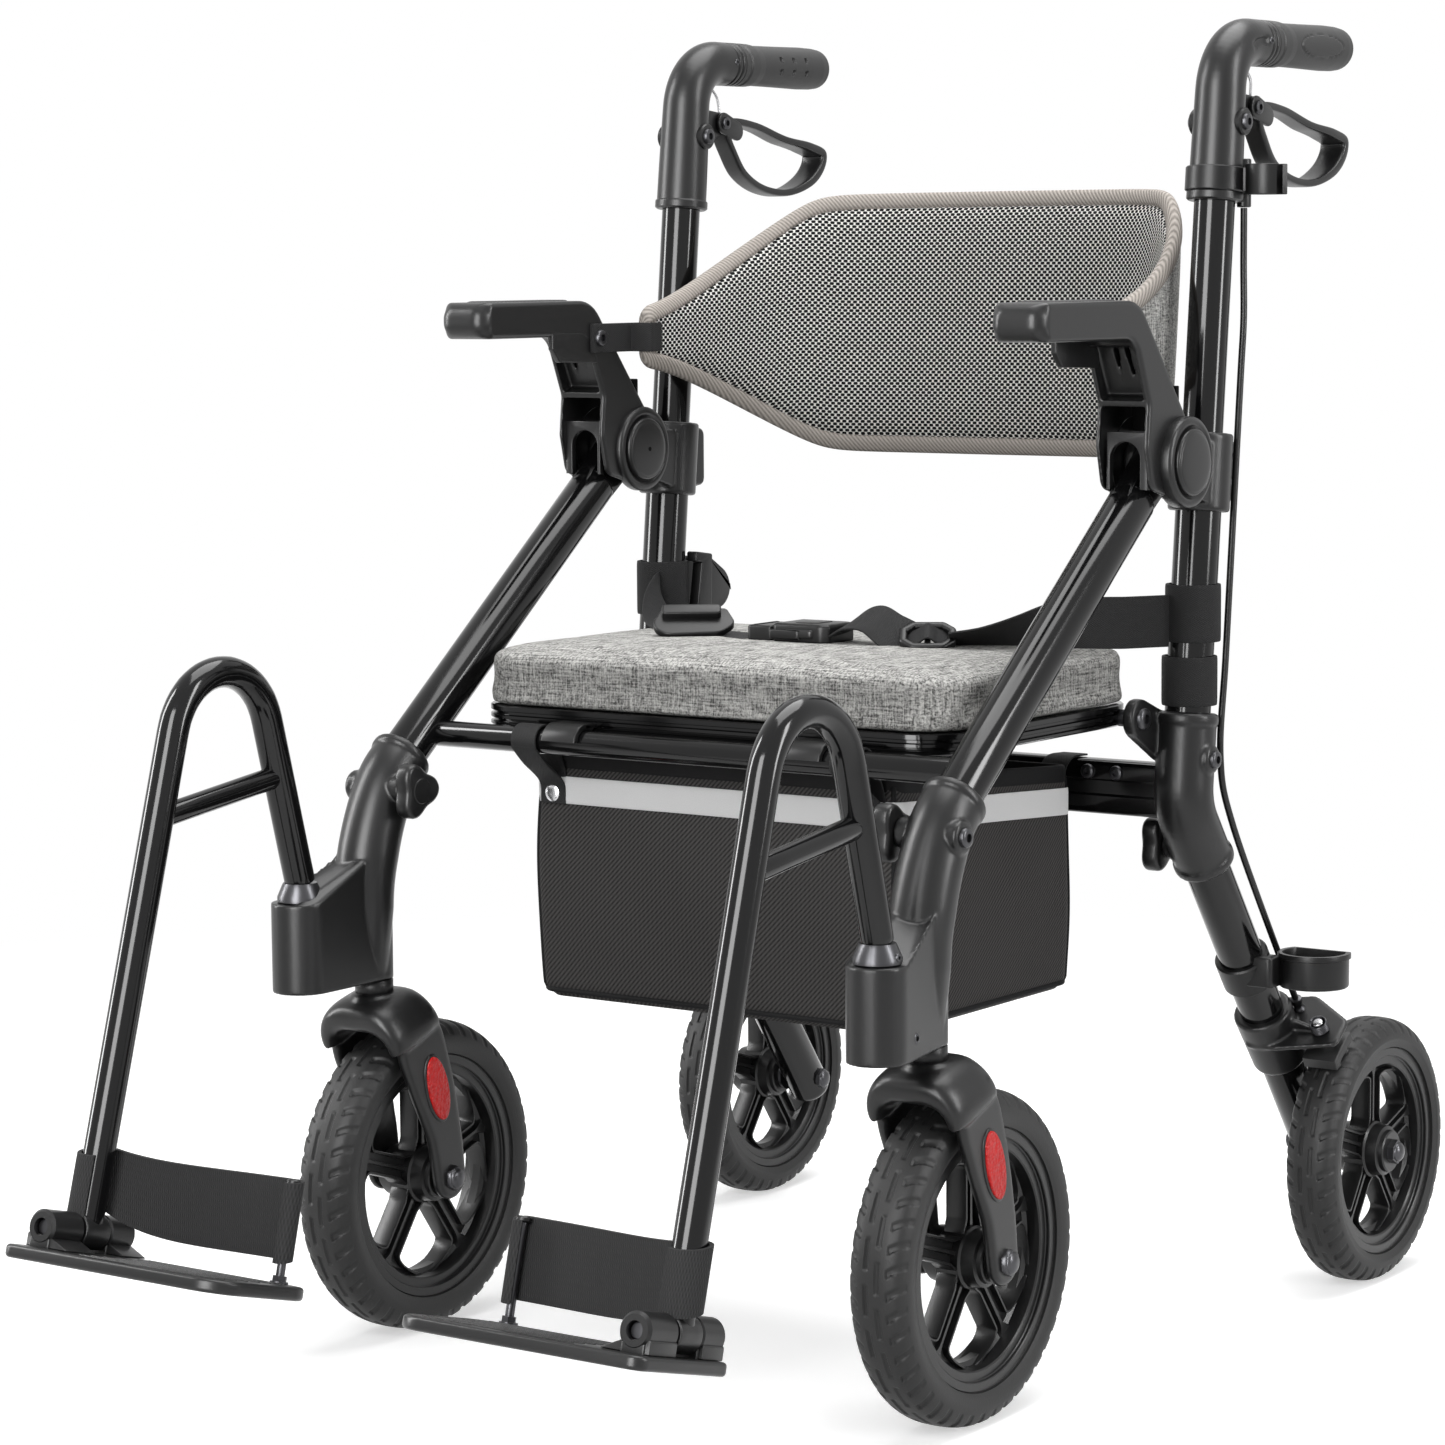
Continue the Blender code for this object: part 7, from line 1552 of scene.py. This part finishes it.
class WALKER_OT_footrests(bpy.types.Operator):
    """Draws the footrests: a round bar over its bend, a foot plate, and a heel strap hooked round bar and rod"""
    bl_idname = "walker.footrests"
    bl_label = "Footrests"

    strap_fall, strap_spread = 0.019, 1.28

    def bar_y(self, z):
        """Where the bar's long front leg stands at a height."""
        return PLATE_HINGE[1] + (z - PLATE_HINGE[2]) * math.tan(math.radians(16.4))

    def bar(self):
        rear, fore = math.tan(math.radians(15.0)), math.tan(math.radians(16.4))
        base = FOOT_SOCKET + Z * 0.014
        meet = (base[1] + rear * base[2] - PLATE_HINGE[1] + fore * PLATE_HINGE[2]) / (rear + fore)
        main = bent([base, (base[0], self.bar_y(meet), meet), PLATE_HINGE], 0.050, 120)
        rows, scale = round_ends(main, 0.011, 0.002)
        rear_end = np.array([base[0], base[1] - (0.417 - base[2]) * rear, 0.425])
        fore_end = np.array([base[0], self.bar_y(0.409), 0.409])
        collar = stack([(0.0158, 0.0003), (0.0165, 0.0010), (0.0165, 0.0042), (0.0128, 0.0128), (0.0121, 0.0140)],
                       FOOT_SOCKET, Z)
        screw = FOOT_SOCKET + np.array([0.0152, 0.0, 0.0055])
        return [(sweep(rows, circle(40, 0.011), X, scale), "gunmetal"), (rod(rear_end, fore_end, 0.008), "gunmetal"),
                (collar, "dark_steel"), (rod(FOOT_SOCKET - Z * 0.056, base, 0.0083), "steel"),
                (bolt(screw, X, 0.0030, 0.0018), "dark_steel"),
                (rod(PLATE_HINGE - PLATE_ALONG * 0.0118, PLATE_HINGE + PLATE_ALONG * 0.0118, 0.0124, 0.0010), "charcoal"),
                (rod(PLATE_HINGE - PLATE_ALONG * 0.040, PLATE_HINGE + PLATE_ALONG * 0.0405, 0.0054), "dark_steel")]

    def plate(self):
        place = (PLATE_HINGE, -X, PLATE_ALONG)
        inward, outward = PLATE_HINGE[0] - 0.070, PLATE_HINGE[0] - 0.264
        outline = rounded([(outward, -0.038, 0.008), (inward, -0.038, 0.020), (inward, 0.060, 0.024), (outward, 0.060, 0.010)],
                          10)
        parts = [(slab(outline, -0.0228, -0.0138, 0.0026, place, 6), "charcoal")]
        for row in range(7):
            ridge = box_outline(0.118, 0.0030, 0.0014) + np.array([0.100, -0.022 + row * 0.0115])
            parts.append((slab(ridge, -0.0145, -0.0131, 0.0006, place), "charcoal"))
        for side, far in ((1, 0.044), (-1, 0.038)):
            low, high = PLATE_HINGE + PLATE_ALONG * side * 0.0126, PLATE_HINGE + PLATE_ALONG * side * far
            parts.append((tube(low, high, 0.012, 0.0060), "charcoal"))
            ends = sorted((side * 0.0131, side * (far - 0.0005)))
            middle, span = sum(ends) / 2, ends[1] - ends[0]
            web = box_outline(0.018, span, 0.0015) + np.array([0.0, middle])
            parts.append((slab(web, -0.0158, -0.0075, 0.0004, place), "charcoal"))
            flare = rounded([(-0.0122, -0.0136, 0.0005), (0.026, -0.0136, 0.0005), (0.0085, -0.006, 0.010),
                             (-0.0122, -0.004, 0.002)])
            across = (PLATE_HINGE + PLATE_ALONG * middle, -X, PLATE_UP)
            parts.append((slab(flare, -span / 2 + 0.001, span / 2 - 0.001, 0.0006, across), "charcoal"))
        foot = PLATE_HINGE - X * (PLATE_HINGE[0] - 0.096) - PLATE_ALONG * 0.030 - PLATE_UP * 0.0183
        parts += [(rod(foot - PLATE_UP * 0.0042, foot + PLATE_UP * 0.072, 0.003, 0.001, 24), "dark_steel"),
                  (stack([(0.0062, 0), (0.0062, 0.0014)], foot + PLATE_UP * 0.0046, PLATE_UP, 32), "dark_steel"),
                  (revolve([(0, 0), (0.0050, 0), (0.0050, 0.0036), (0, 0.0036)], foot + PLATE_UP * 0.0060, PLATE_UP, 6),
                   "dark_steel"),
                  (stack([(0.0040, 0), (0.0052, 0.001), (0.0052, 0.003), (0.0040, 0.004)], foot + PLATE_UP * 0.0695,
                         PLATE_UP, 32), "black_plastic")]
        return parts

    def strap(self, low, high):
        """A grid along the strap and up its height: half round the bar, straight across, half round the rod."""
        turn_bar = np.radians(np.linspace(-120, 90, 34))
        turn_rod = np.radians(np.linspace(90, 300, 30))
        z = np.concatenate([np.linspace(low, high, 12), np.linspace(high, low, 12), [low]])
        rod_z = low - self.strap_fall + (z - low) * self.strap_spread
        extra = np.concatenate([np.zeros(12), np.full(12, 0.0028), [0.0]])
        foot = PLATE_HINGE - PLATE_ALONG * 0.030
        bar_axis = np.stack([np.full_like(z, PLATE_HINGE[0]), self.bar_y(z), z], -1)
        rod_y = foot[1] + (rod_z - foot[2]) * math.tan(math.atan2(PLATE_ALONG[2], -PLATE_ALONG[1]))
        rod_axis = np.stack([np.full_like(z, 0.096), rod_y, rod_z], -1)

        def round_about(axis, turn, reach):
            out = np.stack([np.cos(turn), np.sin(turn), np.zeros_like(turn)], -1)
            return axis[None] + out[:, None] * (reach + extra)[None, :, None]

        first = round_about(bar_axis, turn_bar, 0.0122)
        last = round_about(rod_axis, turn_rod, 0.0042)
        share = np.linspace(0, 1, 50)[1:-1, None, None]
        bow = np.sin(math.pi * share) * np.array([0.0, 0.004, 0.0])
        between = first[-1][None] * (1 - share) + last[0][None] * share + bow
        soon = 1 - (1 - share[..., 0]) ** 5
        between[..., 2] = first[-1][None, :, 2] * (1 - soon) + last[0][None, :, 2] * soon
        grid = np.concatenate([first, between, last])
        run = np.concatenate([[0], np.cumsum(np.linalg.norm(np.diff(grid[:, 6], axis=0), axis=1))])
        cloth = np.stack([np.broadcast_to(run[:, None], grid.shape[:2]), np.broadcast_to(z[None], grid.shape[:2])], -1)
        return grid_form(grid, False, False, True, cloth)

    def execute(self, context):
        pair("footrest_bar", "footrest", self.bar(), ["footrest_bar"])
        pair("foot_plate", "foot_plate", self.plate(), ["foot_plate"])
        sizes = context.scene.walker_sizes
        form = self.strap(sizes.heel_strap_low, sizes.heel_strap_low + sizes.heel_strap_height)
        for made, side in zip(pair("heel_strap", None, [(form, "strap")], ["heel_strap"], angle=60), ("right", "left")):
            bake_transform(made)
        return {"FINISHED"}


class WALKER_OT_cane_holder(bpy.types.Operator):
    """Draws the cane clip and cup: an open ring made thick, and an outline carried up the cup's walls"""
    bl_idname = "walker.cane_holder"
    bl_label = "Cane holder"

    def execute(self, context):
        centre = upright(0.840, 0.010, 0.037)
        turn = math.radians(100)
        first = math.cos(turn) * X + math.sin(turn) * Y
        second = np.cross(Z, first)
        outer = np.radians(np.linspace(-40, 220, 15))
        inner = np.radians(np.linspace(220, -40, 30))
        ring = np.concatenate([0.0165 * np.stack([np.cos(outer), np.sin(outer)], -1),
                               0.0125 * np.stack([np.cos(inner), np.sin(inner)], -1)])
        start = upright(0.840, 0.004, 0.004)
        towards = unit((centre - start) * np.array([1, 1, 0]))
        run = np.linalg.norm((centre - start)[:2]) - 0.0132
        arm = rounded([(0.0, -0.007, 0.001), (run, -0.007, 0.001), (run, 0.007, 0.001), (0.0, 0.007, 0.001)], 3)
        band = tube(upright(0.8312), upright(0.8488), 0.0222, 0.0026)
        piece("cane_clip", "handle_right", [
            (slab(ring, -0.011, 0.011, 0.0008, (np.array([centre[0], centre[1], 0.840]), first, second)), "black_plastic"),
            (slab(arm, -0.0088, 0.0088, 0.0008, (start, towards, np.cross(Z, towards))), "black_plastic"),
            (band, "black_plastic")], ["cane_clip"], angle=18)
        middle = np.array([SIDE_X + 0.0475, 0.420, 0.268])
        sweep_round = np.radians(np.linspace(150, 390, 49))
        flat = 0.026 * np.stack([np.cos(sweep_round), np.sin(sweep_round)], -1)
        flat = np.concatenate([flat, np.linspace(flat[-1], flat[0], 14)[1:-1]])
        about = np.array([0.0, -0.005])
        levels = [(0.0, -0.026), (0.95, -0.026), (0.99, -0.0252), (1.0, -0.024), (1.0, -0.0045), (1.05, -0.0040),
                  (1.05, -0.0006), (1.04, 0.0), (0.91, 0.0), (0.90, -0.0006), (0.90, -0.0235), (0.0, -0.0235)]
        rows = [np.column_stack([about + (flat - about) * share, np.full(len(flat), z)]) + middle for share, z in levels]
        hold = (REAR_BEND[2] - 0.268 + 0.013) / -LEG_ALONG[2]
        clamp = stack([(0.0192, 0), (0.0205, 0.0012), (0.0205, 0.0248), (0.0192, 0.026)], leg(hold - 0.013), LEG_ALONG)
        bridge = slab(rounded([(SIDE_X + 0.008, 0.386, 0.002), (middle[0] - 0.0182, 0.386, 0.004),
                               (middle[0] - 0.0182, 0.406, 0.001), (SIDE_X + 0.008, 0.406, 0.002)], 4),
                      0.2432, 0.2658, 0.0015, (np.zeros(3), X, Y))
        piece("cane_cup", "rear_frame", [(grid_form(np.array(rows), ends=False), "black_plastic"), (clamp, "black_plastic"),
                                         (bridge, "black_plastic")], ["cane_cup"])
        return {"FINISHED"}


class WALKER_OT_stage(bpy.types.Operator):
    """Sets the floor, the lights, the camera and the white surroundings"""
    bl_idname = "walker.stage"
    bl_label = "Stage"

    def lamp(self, name, place, aim, wide, high, power, mirrored=None):
        """An area light of a size and power that faces a point, seen in reflections only, in none, or in both."""
        data = bpy.data.lights.new(name, "AREA")
        data.shape = "RECTANGLE"
        data.size, data.size_y, data.energy = wide, high, power
        made = bpy.data.objects.new(name, data)
        bpy.context.scene.collection.objects.link(made)
        made.matrix_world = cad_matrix(np.asarray(place, float), np.asarray(aim, float))
        if mirrored is not None:
            made.visible_diffuse, made.visible_glossy = not mirrored, mirrored
        made.visible_camera = False

    def execute(self, context):
        scene = context.scene
        looks = scene.walker_looks
        flat = looks.floor_half
        mesh = bpy.data.meshes.new("floor")
        mesh.from_pydata([(-flat, -flat, 0), (flat, -flat, 0), (flat, flat, 0), (-flat, flat, 0)], [], [(0, 1, 2, 3)])
        floor = bpy.data.objects.new("floor", mesh)
        scene.collection.objects.link(floor)
        paper = bpy.data.materials.new("walker floor")
        paper.use_nodes = True
        shader = paper.node_tree.nodes["Principled BSDF"]
        result = paper.node_tree.nodes["Material Output"]
        back = node(paper.node_tree, "ShaderNodeEmission", {"Color": (1.0, 1.0, 1.0, 1.0), "Strength": looks.floor_bounce})
        rays = node(paper.node_tree, "ShaderNodeLightPath")
        spot = node(paper.node_tree, "ShaderNodeNewGeometry")
        away = node(paper.node_tree, "ShaderNodeVectorMath", {0: spot.outputs["Position"]}, operation="LENGTH")
        faded = node(paper.node_tree, "ShaderNodeMapRange", {"Value": away.outputs["Value"], "From Min": looks.shadow_reach,
                                                             "From Max": 2.0 * looks.shadow_reach})
        white = node(paper.node_tree, "ShaderNodeEmission", {"Color": (1.0, 1.0, 1.0, 1.0), "Strength": 1.0})
        seen = node(paper.node_tree, "ShaderNodeMixShader", {0: faded.outputs[0], 1: shader.outputs[0],
                                                             2: white.outputs[0]})
        both = node(paper.node_tree, "ShaderNodeMixShader", {0: rays.outputs["Is Diffuse Ray"], 1: seen.outputs[0],
                                                             2: back.outputs[0]})
        paper.node_tree.links.new(both.outputs[0], result.inputs["Surface"])
        shader.inputs["Base Color"].default_value = (*looks.floor, 1.0)
        shader.inputs["Roughness"].default_value = 0.9
        shader.inputs["Specular IOR Level"].default_value = 0.0
        shader.inputs["Emission Color"].default_value = (1.0, 1.0, 1.0, 1.0)
        shader.inputs["Emission Strength"].default_value = looks.floor_glow
        mesh.materials.append(paper)
        world = bpy.data.worlds.new("walker surroundings")
        scene.world = world
        world.use_nodes = True
        tree = world.node_tree
        tree.nodes.clear()
        seen = node(tree, "ShaderNodeBackground", {"Color": (1.0, 1.0, 1.0, 1.0), "Strength": 1.0})
        ray = node(tree, "ShaderNodeSeparateXYZ", {0: node(tree, "ShaderNodeTexCoord").outputs["Generated"]})
        rise = node(tree, "ShaderNodeMapRange", {"Value": ray.outputs[2], "To Min": looks.sky * 0.6, "To Max": looks.sky * 1.5})
        lit = node(tree, "ShaderNodeBackground", {"Color": (1.0, 1.0, 1.0, 1.0), "Strength": rise.outputs[0]})
        rays = node(tree, "ShaderNodeLightPath")
        shown = sums(tree, "MAXIMUM", rays.outputs["Is Camera Ray"],
                     sums(tree, "MAXIMUM", rays.outputs["Is Glossy Ray"], rays.outputs["Is Transmission Ray"]))
        mixed = node(tree, "ShaderNodeMixShader", {0: shown, 1: lit.outputs[0], 2: seen.outputs[0]})
        node(tree, "ShaderNodeOutputWorld", {"Surface": mixed.outputs[0]})
        aim = (0.0, 0.0, 0.5)
        self.lamp("key light", (0.5, -3.2, 2.2), aim, 1.4, 1.4, looks.key_power, False)
        self.lamp("front softbox", (0.3, -2.3, 1.20), (0.1, 0.0, 1.15), 1.1, 2.3, looks.front_power, True)
        self.lamp("left strip", (-2.8, -1.2, 1.6), aim, 0.6, 2.8, looks.side_power, True)
        self.lamp("right strip", (3.2, 0.6, 1.8), aim, 0.6, 2.6, looks.back_power, True)
        self.lamp("right fill", (3.0, -0.9, 1.3), (0, 0, 0.7), 1.2, 1.6, looks.fill_power, False)
        self.lamp("top light", (0.2, 0.6, 3.2), (0, 0, 0.4), 2.2, 2.2, looks.top_power)
        scene.view_settings.view_transform = "Standard"
        data = bpy.data.cameras.new("camera")
        data.lens = looks.lens
        data.sensor_width = 36.0
        data.clip_end = 60.0
        camera = bpy.data.objects.new("camera", data)
        scene.collection.objects.link(camera)
        azimuth, elevation, roll = looks.azimuth, looks.elevation, looks.roll
        right = np.array([math.cos(azimuth), math.sin(azimuth), 0.0])
        back = np.array([math.sin(azimuth) * math.cos(elevation), -math.cos(azimuth) * math.cos(elevation),
                         math.sin(elevation)])
        up = np.cross(back, right)
        turned_right = math.cos(roll) * right + math.sin(roll) * up
        turned_up = np.cross(back, turned_right)
        camera.matrix_world = rows_matrix(turned_right, turned_up, back, np.array(looks.camera_place) + SHIFT)
        scene.camera = camera
        return {"FINISHED"}


def rows_matrix(right, up, back, place):
    """A placing matrix from three directions and a point."""
    matrix = np.eye(4)
    matrix[:3, :4] = np.column_stack([right, up, back, place])
    return Matrix(matrix.tolist())


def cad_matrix(place, aim):
    """A placing matrix for a light that looks from a place to an aim."""
    back = unit(place - aim)
    right = unit(np.cross(Z, back))
    return rows_matrix(right, np.cross(back, right), back, place)


def colour(label, value):
    return FloatVectorProperty(name=label, description="Colour of the " + label.lower(), subtype="COLOR", size=3,
                               min=0.0, max=1.0, default=value)


def length(label, text, value):
    return FloatProperty(name=label, description=text, subtype="DISTANCE", unit="LENGTH", default=value)


def number(label, text, value):
    return FloatProperty(name=label, description=text, default=value)


class WalkerSizes(bpy.types.PropertyGroup):
    """Sizes of the finished surfaces."""
    moulding_voxel: length("Moulding voxel", "Grid on which mouldings run together", 0.0013)
    tread_groove: length("Tread groove", "Depth of the grooves in a tyre", 0.0015)
    cable_radius: length("Cable radius", "Radius of a brake cable", 0.0025)
    border_width: length("Border width", "Width of the backrest's woven border", 0.0125)
    back_fill: number("Backrest fill", "How full the backrest's pad is", 0.45)
    cushion_slack: length("Cushion slack", "How much smaller the cushion starts before it is filled", 0.0015)
    cushion_cap: length("Cushion swell", "The furthest that filling moves the cushion's skin", 0.0025)
    cushion_fill: number("Cushion fill", "How full the seat cushion is", 0.7)
    heel_strap_low: length("Heel strap low", "Height of a heel strap's low edge", 0.1490)
    heel_strap_height: length("Heel strap height", "Height of a heel strap", 0.0400)


class WalkerLooks(bpy.types.PropertyGroup):
    """Colours, lights and camera."""
    gloss_black: colour("Gloss black tubes", (0.0035, 0.0035, 0.0037))
    gunmetal: colour("Gunmetal bars", (0.0040, 0.0040, 0.0043))
    charcoal: colour("Charcoal mouldings", (0.0100, 0.0100, 0.0103))
    black_plastic: colour("Black plastic", (0.0060, 0.0060, 0.0062))
    rubber: colour("Rubber", (0.0160, 0.0160, 0.0162))
    tyre: colour("Tyres", (0.0080, 0.0080, 0.0081))
    cable: colour("Cables", (0.0060, 0.0060, 0.0060))
    steel: colour("Bright steel", (0.50, 0.50, 0.51))
    dark_steel: colour("Dark steel", (0.060, 0.060, 0.064))
    # Painted shade: a near-black colour for slots, holes and closed boxes, standing for the shade inside them.
    hollow: colour("Hollow shade", (0.004, 0.004, 0.004))
    red: colour("Red reflectors", (0.62, 0.008, 0.008))
    light_tape: colour("Light tape", (0.90, 0.90, 0.90))
    webbing: colour("Black webbing", (0.0240, 0.0240, 0.0245))
    strap: colour("Heel straps", (0.0330, 0.0330, 0.0335))
    binding: colour("Bindings", (0.0075, 0.0075, 0.0080))
    border: colour("Backrest border", (0.350, 0.320, 0.292))
    bag_cloth: colour("Bag cloth", (0.0500, 0.0475, 0.0465))
    linen: colour("Seat linen", (0.320, 0.317, 0.305))
    back_linen: colour("Backrest linen", (0.460, 0.456, 0.440))
    spacer_mesh: colour("Spacer mesh", (0.90, 0.88, 0.85))
    floor: colour("Floor", (0.80, 0.80, 0.80))
    floor_glow: number("Floor glow", "White light of the floor itself", 0.52)
    floor_bounce: number("Floor bounce", "Light that the floor throws back", 0.22)
    floor_half: length("Floor half width", "Half the floor's width", 14.0)
    shadow_reach: length("Shadow reach", "How far from the middle the floor takes shade before it fades to white", 1.0)
    sky: number("Surroundings", "Strength of the light from all round", 0.31)
    key_power: FloatProperty(name="Key light", description="Power of the key light", unit="POWER", default=55.0)
    front_power: FloatProperty(name="Front softbox", description="Power of the front softbox", unit="POWER", default=115.0)
    side_power: FloatProperty(name="Left strip", description="Power of the left strip", unit="POWER", default=105.0)
    top_power: FloatProperty(name="Top light", description="Power of the top light", unit="POWER", default=95.0)
    fill_power: FloatProperty(name="Right fill", description="Power of the right fill", unit="POWER", default=38.0)
    back_power: FloatProperty(name="Right strip", description="Power of the right strip", unit="POWER", default=98.0)
    lens: FloatProperty(name="Lens", description="Focal length on a 36 mm sensor", unit="CAMERA", default=104.09)
    azimuth: FloatProperty(name="Azimuth", description="How far the camera stands round to the right", subtype="ANGLE",
                           default=math.radians(35.185))
    elevation: FloatProperty(name="Elevation", description="How far the camera looks down", subtype="ANGLE",
                             default=math.radians(6.351))
    roll: FloatProperty(name="Roll", description="How far the camera is turned about its view", subtype="ANGLE",
                        default=math.radians(-0.44))
    camera_place: FloatVectorProperty(name="Camera place", description="Where the camera stands, from the front axles",
                                      subtype="XYZ", size=3, default=(1.70143, -2.35295, 0.78678))


STEPS = (WALKER_OT_tubes, WALKER_OT_castings, WALKER_OT_wheels, WALKER_OT_knobs, WALKER_OT_handles, WALKER_OT_brakes,
         WALKER_OT_armrests, WALKER_OT_backrest, WALKER_OT_seat, WALKER_OT_bag, WALKER_OT_belt, WALKER_OT_footrests,
         WALKER_OT_cane_holder, WALKER_OT_stage)


class WALKER_PT_panel(bpy.types.Panel):
    """Lists the sizes, the colours and a button for each step"""
    bl_idname = "WALKER_PT_panel"
    bl_label = "Walker"
    bl_space_type = "VIEW_3D"
    bl_region_type = "UI"
    bl_category = "Walker"

    def draw(self, context):
        for group in (context.scene.walker_sizes, context.scene.walker_looks):
            for name in group.bl_rna.properties.keys():
                if name not in ("rna_type", "name"):
                    self.layout.prop(group, name)
        for step in STEPS:
            self.layout.operator(step.bl_idname)


CLASSES = (WalkerSizes, WalkerLooks, *STEPS, WALKER_PT_panel)


def register():
    for kind in CLASSES:
        bpy.utils.register_class(kind)
    bpy.types.Scene.walker_sizes = PointerProperty(type=WalkerSizes)
    bpy.types.Scene.walker_looks = PointerProperty(type=WalkerLooks)


def unregister():
    del bpy.types.Scene.walker_looks
    del bpy.types.Scene.walker_sizes
    for kind in reversed(CLASSES):
        bpy.utils.unregister_class(kind)


def paint_frame():
    """Gives every carried solid a finish of its own, for the views that show it."""
    slots = {"tyre": "tyre", "grip": "rubber", "shoe": "rubber", "cable": "cable", "belt": "webbing", "strap": "webbing",
             "cushion": "linen", "bag": "bag_cloth", "bar": "gunmetal", "tube": "gloss_black", "upright": "gloss_black",
             "leg": "gloss_black"}
    for name, carried in frame["nodes"].items():
        look = next((slots[word] for word in name.split("_") if word in slots), "charcoal")
        for holder in carried.material_slots:
            holder.material = finish(look)


def main():
    register()
    paint_frame()
    for step in STEPS:
        group, name = step.bl_idname.split(".")
        getattr(getattr(bpy.ops, group), name)()
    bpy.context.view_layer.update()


if __name__ == "__main__":
    main()
